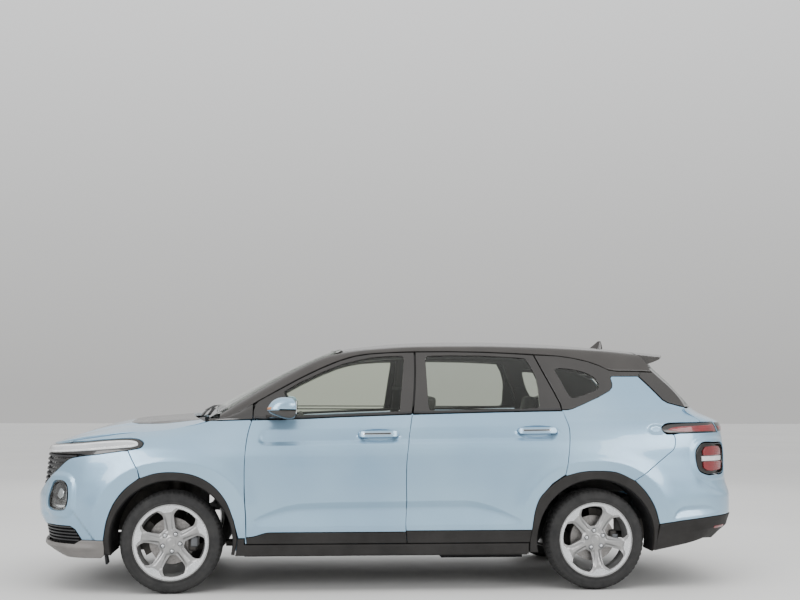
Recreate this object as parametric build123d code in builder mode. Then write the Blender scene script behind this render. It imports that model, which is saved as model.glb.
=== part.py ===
from build123d import *
import os
from math import cos, sin, radians, pi

# Compact minivan with three seat rows, millimetres.
# X runs from the nose (-) to the tail (+), Y is across (left side is -Y), Z is up.
# Ground at Z = 0, origin under the middle of the outline.

# ---------------------------------------------------------------- driving sizes
LENGTH = 4855.0
WHEELBASE = 2800.0
FRONT_OVERHANG = 962.0
AXLE_F = FRONT_OVERHANG - LENGTH / 2          # front axle in the part frame
AXLE_R = AXLE_F + WHEELBASE
BODY_HALF = 933.0                              # half width over the doors
AXLE_Z = 332.0                                 # loaded tyre radius
TYRE_R = 332.0
TYRE_W = 220.0
RIM_R = 228.0                                  # bead seat
FLANGE_R = 246.0
WHEEL_Y = 792.0                                # wheel centre plane
KINGPIN_Y = 735.0
ARCH_R = 405.0
SHUT_GAP = 6.0                                 # panel gap
DOOR_SKIN = 26.0
DOOR_INSET = 16.0                              # inner door frame stands back from the skin edge
GLASS_T = 5.0
HINGE_Y = 918.0
HINGE_F = 529.0                                # door hinge lines, from the front axle
HINGE_R = 1597.0
HOOD_HINGE = (215.0, 1098.0)                   # from the front axle, height
GATE_HINGE = (3112.0, 1596.0)
STEER_C = (905.0, -385.0, 1000.0)              # steering wheel centre
STEER_TILT = 25.0
ROOF_TOP = 1671.0


def X(a):
    """Place measured from the front axle -> part frame."""
    return a + AXLE_F


# ---------------------------------------------------------------- shape tables
# Plan outline, right half: (from front axle, half width)
PLAN = [(-876, 600), (-790, 768), (-610, 866), (-400, 912), (0, 930), (1200, BODY_HALF),
        (2700, 931), (3200, 905), (3500, 862), (3690, 790), (3790, 680)]
NOSE_X, TAIL_X = -962.0, 3893.0

# Side silhouette on the centre line: (from front axle, height)
PROFILE = [(-880, 205), (-925, 260), (-962, 360), (-962, 640), (-948, 820), (-905, 935),
           (-700, 1010), (-430, 1090), (-150, 1132), (60, 1149), (163, 1156), (1090, 1601),
           (1300, 1636), (1600, 1664), (2000, ROOF_TOP), (2450, 1663), (2900, 1636), (3330, 1596),
           (3490, 1566), (3455, 1538), (3400, 1500), (3655, 1200), (3775, 1150), (3838, 1075), (3850, 900),
           (3853, 725), (3893, 620), (3893, 520), (3862, 440), (3800, 300), (3700, 205)]

# Outer side section: (half width, height)
SECTION = [(898, 205), (906, 330), (925, 560), (BODY_HALF, 760), (926, 955), (903, 1000), (870, 1085),
           (818, 1180), (640, 1580)]

# Door outlines in side view: (from front axle, height)
B_LINE = [(1600, 1586), (1528, 314)]
FRONT_DOOR = [(502, 314), (484, 355), (474, 548), (469, 740), (473, 902), (491, 1064),
              (510, 1129), (530, 1238), (687, 1325), (957, 1466), (1092, 1523), (1194, 1554),
              (1296, 1571), (1433, 1581)] + B_LINE
REAR_TOP = [(1845, 1590), (2053, 1588), (2261, 1581), (2430, 1571)]
C_LINE = [(2483, 1455), (2537, 1339), (2585, 1232), (2593, 1139), (2614, 1099), (2619, 1040),
          (2617, 953), (2606, 854), (2590, 764)]
REAR_ARCH_EDGE = [(2490, 705), (2415, 606), (2385, 528), (2357, 400), (2336, 314)]

FRONT_GLASS = [(722, 1300), (822, 1364), (1022, 1458), (1123, 1497), (1224, 1522), (1326, 1542),
               (1427, 1551), (1538, 1553), (1502, 1186), (809, 1170)]
REAR_GLASS = [(1682, 1553), (2041, 1556), (2247, 1550), (2372, 1540), (2411, 1473), (2438, 1405),
              (2443, 1206), (2174, 1199), (1690, 1192)]
QUARTER_GLASS = [(2577, 1465), (2605, 1474), (2730, 1460), (2799, 1438), (2854, 1405), (2872, 1360),
                 (2853, 1325), (2727, 1281), (2685, 1274), (2644, 1312)]

# Body side behind the doors, and the roof rail with the A-pillar
QUARTER = [(2436, 1578), (2489, 1460), (2543, 1344), (2591, 1235), (2599, 1142), (2620, 1101),
           (2625, 1040), (2623, 953), (2612, 854), (2596, 758), (2700, 700), (2900, 700), (3070, 722),
           (3135, 757), (3205, 813), (3289, 886), (3338, 930), (3350, 962), (3352, 1000),
           (3300, 1040), (3300, 1108), (3480, 1110), (3500, 1190), (3436, 1225), (3395, 1325), (3325, 1398),
           (3249, 1474), (3160, 1590)]
RAIL = [(302, 1150), (430, 1166), (530, 1244), (687, 1331), (957, 1472), (1092, 1529),
        (1194, 1560), (1296, 1577), (1433, 1587), (1611, 1593), (1845, 1596), (2053, 1594),
        (2261, 1587), (2436, 1578), (3160, 1590), (3160, 1640), (1000, 1640), (880, 1508), (552, 1318)]

FENDER = [(-197, 765), (-235, 800), (-262, 873), (-280, 915), (-205, 975), (-222, 1000), (-359, 1029),
          (-164, 1044), (97, 1082), (300, 1116), (505, 1123), (485, 1064), (467, 902), (463, 740),
          (468, 548), (478, 352), (470, 240), (380, 240)]


def plan_points(inset=0.0):
    pts = [(X(a), b - inset) for a, b in PLAN]
    return pts


def prism_side(table, y0, y1):
    """Side-view outline pushed through from Y = -y0 to Y = -y1 (left side)."""
    with BuildPart() as p:
        with BuildSketch(Plane.XZ.offset(y0)):
            with BuildLine():
                Polyline(*[(X(a), b) for a, b in table], close=True)
            make_face()
        extrude(amount=y1 - y0)
    return p.part


def prism_section(table, a0, a1):
    """Section outline (half width, height) on the left side, pushed along X."""
    with BuildPart() as p:
        with BuildSketch(Plane.YZ.offset(X(a0))):
            with BuildLine():
                Polyline(*[(-a, b) for a, b in table], close=True)
            make_face()
        extrude(amount=a1 - a0)
    return p.part


def prism_rear(table, a0, a1):
    """Symmetric outline seen along X: (half width, height), upper point first."""
    full = [(-a, b) for a, b in table] + [(a, b) for a, b in reversed(table) if a > 0]
    with BuildPart() as p:
        with BuildSketch(Plane.YZ.offset(X(a0))):
            with BuildLine():
                Polyline(*full, close=True)
            make_face()
        extrude(amount=a1 - a0)
    return p.part


def plan_shell(depth, z0, z1, skip=0.0):
    """Upright wall that follows the plan outline, between two depths under it."""
    pts = [(X(a), b) for a, b in PLAN]
    with BuildPart() as p:
        with BuildSketch(Plane.XY.offset(z0)):
            with BuildLine():
                ThreePointArc((pts[0][0], -pts[0][1]), (X(NOSE_X), 0), pts[0])
                Polyline(*pts)
                ThreePointArc(pts[-1], (X(TAIL_X), 0), (pts[-1][0], -pts[-1][1]))
                Polyline(*[(a, -b) for a, b in reversed(pts)])
            make_face()
            if skip:
                offset(amount=-skip, kind=Kind.INTERSECTION, mode=Mode.REPLACE)
            offset(amount=-depth, kind=Kind.INTERSECTION, mode=Mode.SUBTRACT)
        extrude(amount=z1 - z0)
    return p.part


def arch(a, r, y0, y1):
    """Round wheel opening on the left side."""
    with BuildPart() as p:
        with BuildSketch(Plane.XZ.offset(y0)):
            with Locations((X(a), AXLE_Z)):
                Circle(r)
            with Locations((X(a), AXLE_Z - r / 2)):
                Rectangle(2 * r, r)
        extrude(amount=y1 - y0)
    return p.part


def save(part, name):
    part.label = name
    export_step(part, "parts/" + name + ".step")


def mirrored(part):
    with BuildPart() as p:
        mirror(part, about=Plane.XZ)
    return p.part


def both_sides(part):
    with BuildPart() as p:
        add(part)
        mirror(part, about=Plane.XZ)
    return p.part


os.makedirs("parts", exist_ok=True)

# ---------------------------------------------------------------- section bands
OUTER = SECTION
door_skin_band = prism_section(
    OUTER + [(629, 1580), (806, 1178), (842, 1085), (876, 1000), (899, 950), (907, 760), (899, 560), (880, 330), (872, 205)],
    400, 2700)
door_inner_band = prism_section(
    [(885, 205), (890, 330), (905, 560), (913, 760), (905, 950), (882, 1000), (848, 1085), (809, 1180), (632, 1580),
     (601, 1580), (768, 1204), (796, 1100), (820, 980), (828, 760), (824, 560), (804, 205)],
    400, 2700)
wall_inner_band = prism_section(
    [(785, 215), (798, 560), (798, 940), (770, 1100), (744, 1190), (584, 1590), (530, 1590), (684, 1215), (712, 1080),
     (735, 940), (735, 215)],
    440, 2660)
upper_band = prism_section(
    [(866, 1092), (818, 1180), (638, 1583), (590, 1618), (533, 1618), (533, 1575), (682, 1215), (712, 1092), (790, 1090)],
    260, 3560)
glass_band = prism_section(
    [(810, 1180), (632, 1580), (632 - GLASS_T * 1.1, 1580), (810 - GLASS_T * 1.1, 1180)], 600, 3000)
body_lower = prism_section([(0, 205)] + OUTER + [(0, 1580)], -980, 3900)
profile_full = prism_side(PROFILE, -980, 980)

# ---------------------------------------------------------------- doors
# (name, outline, glass outline)
REAR_DOOR = [(a + SHUT_GAP, b) for a, b in reversed(B_LINE)] + REAR_TOP + C_LINE + REAR_ARCH_EDGE
DOORS = [("door_front", FRONT_DOOR, FRONT_GLASS), ("door_rear", REAR_DOOR, REAR_GLASS)]


def inner_outline(table, inset, y0, y1):
    """Outline shrunk by inset, pushed through the left side."""
    with BuildPart() as p:
        with BuildSketch(Plane.XZ.offset(y0)):
            with BuildLine():
                Polyline(*[(X(a), b) for a, b in table], close=True)
            make_face()
            offset(amount=-inset, kind=Kind.INTERSECTION, mode=Mode.REPLACE)
        extrude(amount=y1 - y0)
    return p.part


apertures = []
for name, table, pane in DOORS:
    full = prism_side(table, 500, 1000)
    core = inner_outline(table, DOOR_INSET, 500, 1000)
    pane_hole = prism_side(pane, 500, 1000)
    with BuildPart() as skin:
        add(door_skin_band)
        add(full, mode=Mode.INTERSECT)
    with BuildPart() as core_part:
        add(door_inner_band)
        add(core, mode=Mode.INTERSECT)
    with BuildPart() as door:
        add(skin.part)
        add(core_part.part)
        add(pane_hole, mode=Mode.SUBTRACT)
    with BuildPart() as pane_part:
        add(glass_band)
        add(pane_hole, mode=Mode.INTERSECT)
    apertures.append(inner_outline(table, 62, 400, 1000))
    save(door.part, name + "_left")
    save(mirrored(door.part), name + "_right")
    save(pane_part.part, name.replace("door", "door_glass") + "_left")
    save(mirrored(pane_part.part), name.replace("door", "door_glass") + "_right")

# Door mirrors: foot on the sail corner, housing outboard of the glass
with BuildPart() as door_mirror:
    with BuildSketch(Plane.YZ.offset(X(640))):
        with BuildLine():
            Polyline((-822, 1150), (-880, 1168), (-880, 1130), (-925, 1128), (-1030, 1150), (-1043, 1190),
                     (-1030, 1255), (-960, 1274), (-890, 1262), (-862, 1196), (-800, 1196), close=True)
        make_face()
    extrude(amount=150)
    chamfer(edges().filter_by(Axis.Z).sort_by(Axis.Y)[:1], length=20)
    add(door_skin_band, mode=Mode.SUBTRACT)
    add(door_inner_band, mode=Mode.SUBTRACT)
mirror_solid = door_mirror.part.solids().sort_by(Axis.Y)[0]
with BuildPart() as door_mirror_left:
    add(mirror_solid)
save(door_mirror_left.part, "door_mirror_left")
save(mirrored(door_mirror_left.part), "door_mirror_right")

# ---------------------------------------------------------------- body sides
quarter_prism = prism_side(QUARTER, 400, 1000)
rail_prism = prism_side(RAIL, 400, 1000)
frame_prism = prism_side([(445, 240), (445, 1120), (500, 1190), (687, 1338), (957, 1478), (1194, 1566), (1433, 1590),
                          (2053, 1592), (2300, 1588), (2440, 1578), (2595, 1235), (2640, 1100), (2640, 900),
                          (2596, 758), (2490, 722), (2425, 640), (2392, 560), (2350, 240)], 400, 1000)
quarter_pane = prism_side(QUARTER_GLASS, 400, 1000)
quarter_shell = plan_shell(190, 690, 1181)
lower_part_cut = prism_side([(2400, 600), (3600, 600), (3600, 1181), (2400, 1181)], 400, 1000)
rear_arch = arch(WHEELBASE, ARCH_R, 400, 1000)
front_arch = arch(0, ARCH_R, 400, 1000)
with BuildPart() as quarter_low:
    add(body_lower)
    add(quarter_shell, mode=Mode.INTERSECT)
    add(quarter_prism, mode=Mode.INTERSECT)
    add(lower_part_cut, mode=Mode.INTERSECT)
with BuildPart() as quarter_up:
    add(upper_band)
    add(quarter_prism, mode=Mode.INTERSECT)
with BuildPart() as rail:
    add(upper_band)
    add(rail_prism, mode=Mode.INTERSECT)
with BuildPart() as frame_side:
    add(wall_inner_band)
    add(frame_prism, mode=Mode.INTERSECT)
    for hole in apertures:
        add(hole, mode=Mode.SUBTRACT)
with BuildPart() as side_left:
    add(quarter_low.part)
    add(quarter_up.part)
    add(rail.part)
    add(frame_side.part)
    add(quarter_pane, mode=Mode.SUBTRACT)
    add(rear_arch, mode=Mode.SUBTRACT)
side_raw = side_left.part
with BuildPart() as quarter_window:
    add(glass_band)
    add(quarter_pane, mode=Mode.INTERSECT)
save(both_sides(quarter_window.part), "quarter_windows")
print("side solids", len(side_raw.solids()), [round(s.volume / 1e6) for s in side_raw.solids()])

# ---------------------------------------------------------------- roof panel
# Crowned sections: (from front axle, centre height, edge height, half width)
ROOF = [(1093, 1600, 1545, 562), (1300, 1636, 1583, 576), (1650, 1666, 1608, 583), (2050, ROOF_TOP, 1612, 584),
        (2500, 1660, 1604, 583), (2900, 1636, 1590, 577), (3166, 1611, 1572, 568)]
ROOF_T = 38.0
with BuildPart() as roof:
    for a, zc, ze, hw in ROOF:
        with BuildSketch(Plane.YZ.offset(X(a))):
            with BuildLine():
                ThreePointArc((-hw, ze), (0, zc), (hw, ze))
                Line((hw, ze), (hw, ze - ROOF_T))
                ThreePointArc((hw, ze - ROOF_T), (0, zc - ROOF_T), (-hw, ze - ROOF_T))
                Line((-hw, ze - ROOF_T), (-hw, ze))
            make_face()
    loft(ruled=True)
# Shark-fin aerial over the rear bows
with BuildPart() as fin:
    with BuildSketch(Plane.XZ.offset(-22)):
        with BuildLine():
            Polyline((X(2930), 1618), (X(2960), 1660), (X(3000), 1692), (X(3045), 1696), (X(3075), 1618), close=True)
        make_face()
    extrude(amount=44)
    chamfer(edges().sort_by(Axis.Z)[-4:], length=6)
with BuildPart() as roof_all:
    add(roof.part)
    add(fin.part)
roof_keep = roof_all.part

# ---------------------------------------------------------------- windshield
SCREEN_BASE = (163.0, 1156.0)
SCREEN_TOP = (1086.0, 1598.0)
SCREEN_SAG = 42.0
run = Vector(SCREEN_TOP[0] - SCREEN_BASE[0], 0, SCREEN_TOP[1] - SCREEN_BASE[1])
screen_plane = Plane(origin=(X(SCREEN_BASE[0]), 0, SCREEN_BASE[1]), x_dir=(0, 1, 0), z_dir=run.normalized())
SAG_EDGE = SCREEN_SAG * 1.45                    # drop of the pane at 760 from the centre


def screen_arc_block(d0, d1, half, start, stop):
    """Crowned block along the windshield line, between two depths under its outer face."""
    drop = SAG_EDGE * (half / 760.0) ** 2
    at = screen_plane.offset(start)
    with BuildPart() as p:
        with BuildSketch(at):
            with BuildLine():
                ThreePointArc((-half, -drop - d0), (0, -d0), (half, -drop - d0))
                Line((half, -drop - d0), (half, -drop - d1))
                ThreePointArc((half, -drop - d1), (0, -d1), (-half, -drop - d1))
                Line((-half, -drop - d1), (-half, -drop - d0))
            make_face()
        extrude(amount=stop - start)
    return p.part


screen_tool = screen_arc_block(-160, 7, 900, -120, run.length + 60)
screen_sheet = screen_arc_block(0, 6, 900, 6, run.length - 6)
# Plan outline of the pane: half width at the base and at the top
with BuildPart() as screen_plan:
    with BuildSketch(Plane.XY.offset(1000)):
        with BuildLine():
            Polyline((X(150), -700), (X(330), -708), (X(1100), -560), (X(1100), 560), (X(330), 708), (X(150), 700), close=True)
        make_face()
    extrude(amount=800)
with BuildPart() as windshield:
    add(screen_sheet)
    add(screen_plan.part, mode=Mode.INTERSECT)
with BuildPart() as side_cut:
    add(side_raw)
    add(screen_tool, mode=Mode.SUBTRACT)
    add(windshield.part, mode=Mode.SUBTRACT)
    add(roof_keep, mode=Mode.SUBTRACT)
side_main = side_cut.part.solids().sort_by(SortBy.VOLUME)[-1]
save(roof_keep, "roof_panel")

# ---------------------------------------------------------------- hood
# Crowned sections: (from front axle, centre height, edge height, half width)
HOOD = [(-900, 938, 905, 640), (-700, 1009, 968, 716), (-430, 1089, 1010, 768), (-150, 1131, 1044, 768),
        (60, 1149, 1078, 772), (226, 1166, 1100, 774)]
HOOD_T = 30.0
with BuildPart() as hood_full:
    for a, zc, ze, hw in HOOD:
        with BuildSketch(Plane.YZ.offset(X(a))):
            with BuildLine():
                ThreePointArc((-hw, ze), (0, zc), (hw, ze))
                Line((hw, ze), (hw, ze - HOOD_T))
                ThreePointArc((hw, ze - HOOD_T), (0, zc - HOOD_T), (-hw, ze - HOOD_T))
                Line((-hw, ze - HOOD_T), (-hw, ze))
            make_face()
    loft(ruled=True)
hood_core = prism_side([(-1000, 850), (-1000, 1300), (300, 1300), (300, 850)], -980, 980)
with BuildPart() as hood_plan:
    with BuildSketch(Plane.XY.offset(850)):
        with BuildLine():
            ThreePointArc((X(226), -774), (X(62), 0), (X(226), 774))
            Line((X(226), 774), (X(-920), 774))
            Line((X(-920), 774), (X(-920), -774))
            Line((X(-920), -774), (X(226), -774))
        make_face()
    extrude(amount=450)
with BuildPart() as hood:
    add(hood_full.part)
    add(hood_plan.part, mode=Mode.INTERSECT)
save(hood.part, "hood")
# Space kept free around the hood
with BuildPart() as hood_zone_loft:
    for a, zc, ze, hw in HOOD:
        with BuildSketch(Plane.YZ.offset(X(a if a > -900 else a - SHUT_GAP))):
            with BuildLine():
                ThreePointArc((-hw - SHUT_GAP, ze - HOOD_T - SHUT_GAP), (0, zc - HOOD_T - SHUT_GAP), (hw + SHUT_GAP, ze - HOOD_T - SHUT_GAP))
                Line((hw + SHUT_GAP, ze - HOOD_T - SHUT_GAP), (hw + SHUT_GAP, ze + 200))
                Line((hw + SHUT_GAP, ze + 200), (-hw - SHUT_GAP, ze + 200))
                Line((-hw - SHUT_GAP, ze + 200), (-hw - SHUT_GAP, ze - HOOD_T - SHUT_GAP))
            make_face()
    loft(ruled=True)
hood_zone = hood_zone_loft.part
with BuildPart() as windshield_done:
    add(windshield.part)
    add(hood_zone, mode=Mode.SUBTRACT)
save(windshield_done.part, "windshield")
print("screen", len(windshield_done.part.solids()), windshield_done.part.volume / 1e6)

# ---------------------------------------------------------------- fenders
fender_shell = plan_shell(64, 230, 1140)
fender_prism = prism_side(FENDER, 700, 1000)
with BuildPart() as fender_left:
    add(body_lower)
    add(fender_shell, mode=Mode.INTERSECT)
    add(fender_prism, mode=Mode.INTERSECT)
    add(front_arch, mode=Mode.SUBTRACT)
# Inner rail of the fender that carries the hood edge and the hinge
fender_rail = prism_side([(-330, 940), (-330, 985), (-150, 1010), (60, 1040), (226, 1062), (430, 1100), (455, 1112),
                          (455, 1050), (300, 960), (-100, 900)], 790, 880)
with BuildPart() as fender_all:
    add(fender_left.part)
    add(fender_rail)
fender_main = fender_all.part.solids().sort_by(SortBy.VOLUME)[-1]
with BuildPart() as fender_cut:
    add(fender_main)
    add(side_main, mode=Mode.SUBTRACT)
    add(windshield.part, mode=Mode.SUBTRACT)
    add(screen_tool, mode=Mode.SUBTRACT)
    add(hood_zone, mode=Mode.SUBTRACT)
fender_main = fender_cut.part.solids().sort_by(SortBy.VOLUME)[-1]

# ---------------------------------------------------------------- front end
DRL = [(-800, 962), (-613, 969), (-484, 981), (-355, 992), (-278, 996), (-222, 989), (-203, 966), (-225, 937),
       (-290, 922), (-483, 910), (-612, 900), (-830, 890)]
LOW_LAMP = [(-900, 690), (-890, 712), (-731, 719), (-704, 690), (-695, 637), (-694, 572), (-708, 533), (-734, 523),
            (-900, 527)]
front_cut = prism_side([(-1000, 205), (-1000, 905), (-820, 905), (-640, 955), (-370, 1022), (-228, 995), (-205, 970), (-285, 915),
                        (-268, 873), (-240, 800), (-203, 760), (-395, 560), (-450, 360), (-455, 205)], -980, 980)
bumper_shell = plan_shell(96, 205, 1040)
drl_prism = prism_side(DRL, -980, 980)
low_prism = prism_side(LOW_LAMP, -980, 980)
lamp_shell = plan_shell(58, 205, 1040, 4)
GRILLE = [(0, 902), (600, 898), (660, 880), (640, 790), (560, 742), (0, 735)]
grille_prism = prism_rear(GRILLE, -980, -700)
lamp_centre = prism_rear([(0, 1040), (470, 1040), (470, 205), (0, 205)], -1000, -600)
INTAKE = [(0, 440), (520, 440), (600, 395), (560, 318), (0, 300)]
intake_prism = prism_rear(INTAKE, -980, -700)
# Everything below is cut out of the solid outer form
with BuildPart() as half_sum:
    add(body_lower)
    mirror(body_lower, about=Plane.XZ)
full_lower = half_sum.part
with BuildPart() as nose_form:
    add(full_lower)
    add(profile_full, mode=Mode.INTERSECT)
    add(front_cut, mode=Mode.INTERSECT)
    add(hood_zone, mode=Mode.SUBTRACT)
nose_block = nose_form.part
with BuildPart() as bumper_front:
    add(nose_block)
    add(bumper_shell, mode=Mode.INTERSECT)
    add(drl_prism, mode=Mode.SUBTRACT)
    add(grille_prism, mode=Mode.SUBTRACT)
    with BuildSketch(Plane.YZ.offset(X(-1000))):
        with Locations((0, 372)):
            SlotOverall(1040, 118)
    extrude(amount=400, mode=Mode.SUBTRACT)
with BuildPart() as low_lamp_seat:
    add(nose_block)
    add(lamp_shell, mode=Mode.INTERSECT)
    add(low_prism, mode=Mode.INTERSECT)
    add(lamp_centre, mode=Mode.SUBTRACT)
with BuildPart() as drl_seat:
    add(nose_block)
    add(bumper_shell, mode=Mode.INTERSECT)
    add(drl_prism, mode=Mode.INTERSECT)
with BuildPart() as headlamps:
    add(drl_seat.part)
    add(lamp_centre, mode=Mode.SUBTRACT)
    add(low_lamp_seat.part)
with BuildPart() as bumper_front_cut:
    add(bumper_front.part)
    add(low_lamp_seat.part, mode=Mode.SUBTRACT)
    for y in (-75, 75):
        with Locations(Plane(origin=(X(-962) - 1, y, 560), z_dir=(-1, 0, 0))):
            Hole(radius=3.0, depth=60)
    with Locations(Plane(origin=(X(-935), 400, 650), z_dir=(-1, 0, 0))):
        Hole(radius=8.0, depth=150)
with BuildPart() as fender_lamp_cut:
    add(fender_main)
    add(headlamps.part, mode=Mode.SUBTRACT)
    add(bumper_front.part, mode=Mode.SUBTRACT)
fender_main = fender_lamp_cut.part.solids().sort_by(SortBy.VOLUME)[-1]
save(fender_main, "fender_left")
save(mirrored(fender_main), "fender_right")
bumper_main = bumper_front_cut.part.solids().sort_by(SortBy.VOLUME)[-1]
with BuildPart() as grille:
    add(nose_block)
    add(plan_shell(60, 205, 1040, 8), mode=Mode.INTERSECT)
    add(grille_prism, mode=Mode.INTERSECT)
    add(headlamps.part, mode=Mode.SUBTRACT)
print("bumper solids", len(bumper_front_cut.part.solids()), "headlamps", len(headlamps.part.solids()),
      "grille", len(grille.part.solids()))
save(bumper_main, "front_bumper")
save(headlamps.part, "headlamps")
save(grille.part.solids().sort_by(SortBy.VOLUME)[-1], "grille")

# ---------------------------------------------------------------- tailgate
# Rear-view outline: (half width, height)
GATE_OUT = [(0, 1620), (560, 1600), (594, 1560), (664, 1390), (722, 1215), (735, 1120), (690, 1045), (640, 1010),
            (610, 760), (590, 738), (0, 734)]
GATE_PANE = [(0, 1490), (540, 1482), (585, 1440), (640, 1240), (620, 1216), (0, 1206)]
gate_prism = prism_rear(GATE_OUT, 3100, 3900)
gate_upper_prism = prism_side([(3172, 1640), (3172, 1555), (3290, 1500), (3342, 1455), (3590, 1180), (3600, 1120), (3900, 1120),
                               (3900, 1640)], -980, 980)
gate_lower_prism = prism_side([(3500, 1181), (3500, 734), (3900, 734), (3900, 1181)], -980, 980)
with BuildPart() as gate_low:
    add(full_lower)
    add(profile_full, mode=Mode.INTERSECT)
    add(plan_shell(90, 700, 1181), mode=Mode.INTERSECT)
    add(gate_lower_prism, mode=Mode.INTERSECT)
with BuildPart() as tail_form:
    add(profile_full)
    add(gate_upper_prism, mode=Mode.INTERSECT)
gate_pane_prism = prism_rear(GATE_PANE, 3300, 3760)
with BuildPart() as tailgate_raw:
    add(gate_low.part)
    add(tail_form.part)
    add(gate_prism, mode=Mode.INTERSECT)
    add(gate_pane_prism, mode=Mode.SUBTRACT)
    for y in (-85, 85):
        with Locations(Plane(origin=(X(3849), y, 900), z_dir=(1, 0, 0))):
            Hole(radius=3.0, depth=60)
gate_solid = tailgate_raw.part.solids().sort_by(SortBy.VOLUME)[-1]
pane_band = prism_side([(3412, 1486), (3655, 1200), (3650.5, 1196), (3407.5, 1482)], -980, 980)
with BuildPart() as gate_pane:
    add(pane_band)
    add(gate_pane_prism, mode=Mode.INTERSECT)
print("gate solids", len(tailgate_raw.part.solids()), [round(s.volume / 1e6, 1) for s in tailgate_raw.part.solids()],
      "pane", gate_pane.part.volume / 1e6, gate_solid.bounding_box())
save(gate_solid, "tailgate")
save(gate_pane.part, "tailgate_glass")

# ---------------------------------------------------------------- rear bumper and lamps
REAR_CUT = [(3344, 1033), (3358, 1000), (3358, 958), (3344, 924), (3295, 875), (3211, 803), (3141, 749), (3100, 700), (3225, 440),
            (3225, 205), (3950, 205), (3950, 730), (3950, 1033)]
LOW_TAIL = [(3566, 935), (3592, 962), (3626, 975), (3960, 975), (3960, 751), (3659, 741), (3609, 751), (3568, 779)]
HIGH_TAIL = [(3296, 1055), (3292, 1078), (3312, 1092), (3345, 1099), (3960, 1106), (3960, 1041)]
with BuildPart() as tail_block:
    add(full_lower)
    add(profile_full, mode=Mode.INTERSECT)
tail_solid = tail_block.part
gate_clear = prism_rear([(0, 1660), (640, 1640), (672, 1400), (730, 1222), (742, 1108), (696, 1036), (648, 1006), (617, 756), (592, 728),
                         (0, 727)], 3100, 3960)
with BuildPart() as low_tail:
    add(tail_solid)
    add(plan_shell(56, 205, 1181, 3), mode=Mode.INTERSECT)
    add(prism_side(LOW_TAIL, -980, 980), mode=Mode.INTERSECT)
    add(gate_clear, mode=Mode.SUBTRACT)
with BuildPart() as high_tail:
    add(tail_solid)
    add(plan_shell(56, 205, 1181, 2), mode=Mode.INTERSECT)
    add(prism_side(HIGH_TAIL, -980, 980), mode=Mode.INTERSECT)
    add(gate_clear, mode=Mode.SUBTRACT)
with BuildPart() as tail_lamps:
    add(low_tail.part)
    add(high_tail.part)
with BuildPart() as bumper_rear:
    add(tail_solid)
    add(plan_shell(96, 205, 1181), mode=Mode.INTERSECT)
    add(prism_side(REAR_CUT, -980, 980), mode=Mode.INTERSECT)
    add(gate_clear, mode=Mode.SUBTRACT)
    add(low_tail.part, mode=Mode.SUBTRACT)
    with Locations(Plane(origin=(X(3893), 430, 380), z_dir=(1, 0, 0))):
        Hole(radius=8.0, depth=150)
rear_main = bumper_rear.part.solids().sort_by(SortBy.VOLUME)[-1]
with BuildPart() as side_done:
    add(side_main)
    add(high_tail.part, mode=Mode.SUBTRACT)
    add(gate_clear, mode=Mode.SUBTRACT)
    add(rear_main, mode=Mode.SUBTRACT)
    add(fender_main, mode=Mode.SUBTRACT)
side_final = side_done.part.solids().sort_by(SortBy.VOLUME)[-1]
print("rear bumper", [round(s.volume / 1e6, 1) for s in bumper_rear.part.solids()], "tail lamps",
      len(tail_lamps.part.solids()), "side", [round(s.volume / 1e6, 1) for s in side_done.part.solids()])
save(side_final, "body_side_left")
save(mirrored(side_final), "body_side_right")
save(rear_main, "rear_bumper")
save(tail_lamps.part, "tail_lamps")

# ---------------------------------------------------------------- floor, bulkhead, cowl
FLOOR = [(448, 252), (2440, 252), (2560, 440), (3740, 440), (3740, 480), (2530, 480), (2412, 292), (490, 292),
         (490, 1080), (448, 1080), (448, 1036), (90, 1036), (90, 1018), (448, 1018)]
with BuildPart() as floor_pan:
    with BuildSketch(Plane.XZ.offset(-732)):
        with BuildLine():
            Polyline(*[(X(a), b) for a, b in FLOOR], close=True)
        make_face()
    extrude(amount=1464)
    for side in (-1, 1):
        with BuildSketch(Plane.XY.offset(240)):
            with Locations((X(WHEELBASE), side * 730)):
                Rectangle(2 * ARCH_R + 20, 220)
        extrude(amount=300, mode=Mode.SUBTRACT)
with BuildPart() as floor_cut:
    add(floor_pan.part)
    add(side_final, mode=Mode.SUBTRACT)
    add(mirrored(side_final), mode=Mode.SUBTRACT)
    add(fender_main, mode=Mode.SUBTRACT)
    add(mirrored(fender_main), mode=Mode.SUBTRACT)
    add(rear_main, mode=Mode.SUBTRACT)
floor_main = floor_cut.part.solids().sort_by(SortBy.VOLUME)[-1]
save(floor_main, "floor_pan")

# ---------------------------------------------------------------- dashboard and console
sx, sy, sz = STEER_C
axis_dir = Vector(cos(radians(STEER_TILT)), 0, sin(radians(STEER_TILT)))     # towards the driver
steer_plane = Plane(origin=(X(sx), sy, sz), x_dir=(0, 1, 0), z_dir=axis_dir)
with BuildPart() as dashboard:
    with BuildSketch(Plane.XZ.offset(-688)):
        with BuildLine():
            Polyline((X(494), 1086), (X(300), 1086), (X(300), 1108), (X(690), 1142), (X(742), 1090), (X(700), 900),
                     (X(640), 800), (X(494), 780), close=True)
        make_face()
    extrude(amount=1376)
    with BuildSketch(Plane.XZ.offset(-130)):
        with BuildLine():
            Polyline((X(600), 880), (X(600), 296), (X(1500), 296), (X(1500), 600), (X(1080), 600), (X(760), 880), close=True)
        make_face()
    extrude(amount=260)
    with BuildSketch(steer_plane.offset(-330)):
        Circle(34)
    extrude(amount=300)
save(dashboard.part, "dashboard")

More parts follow.
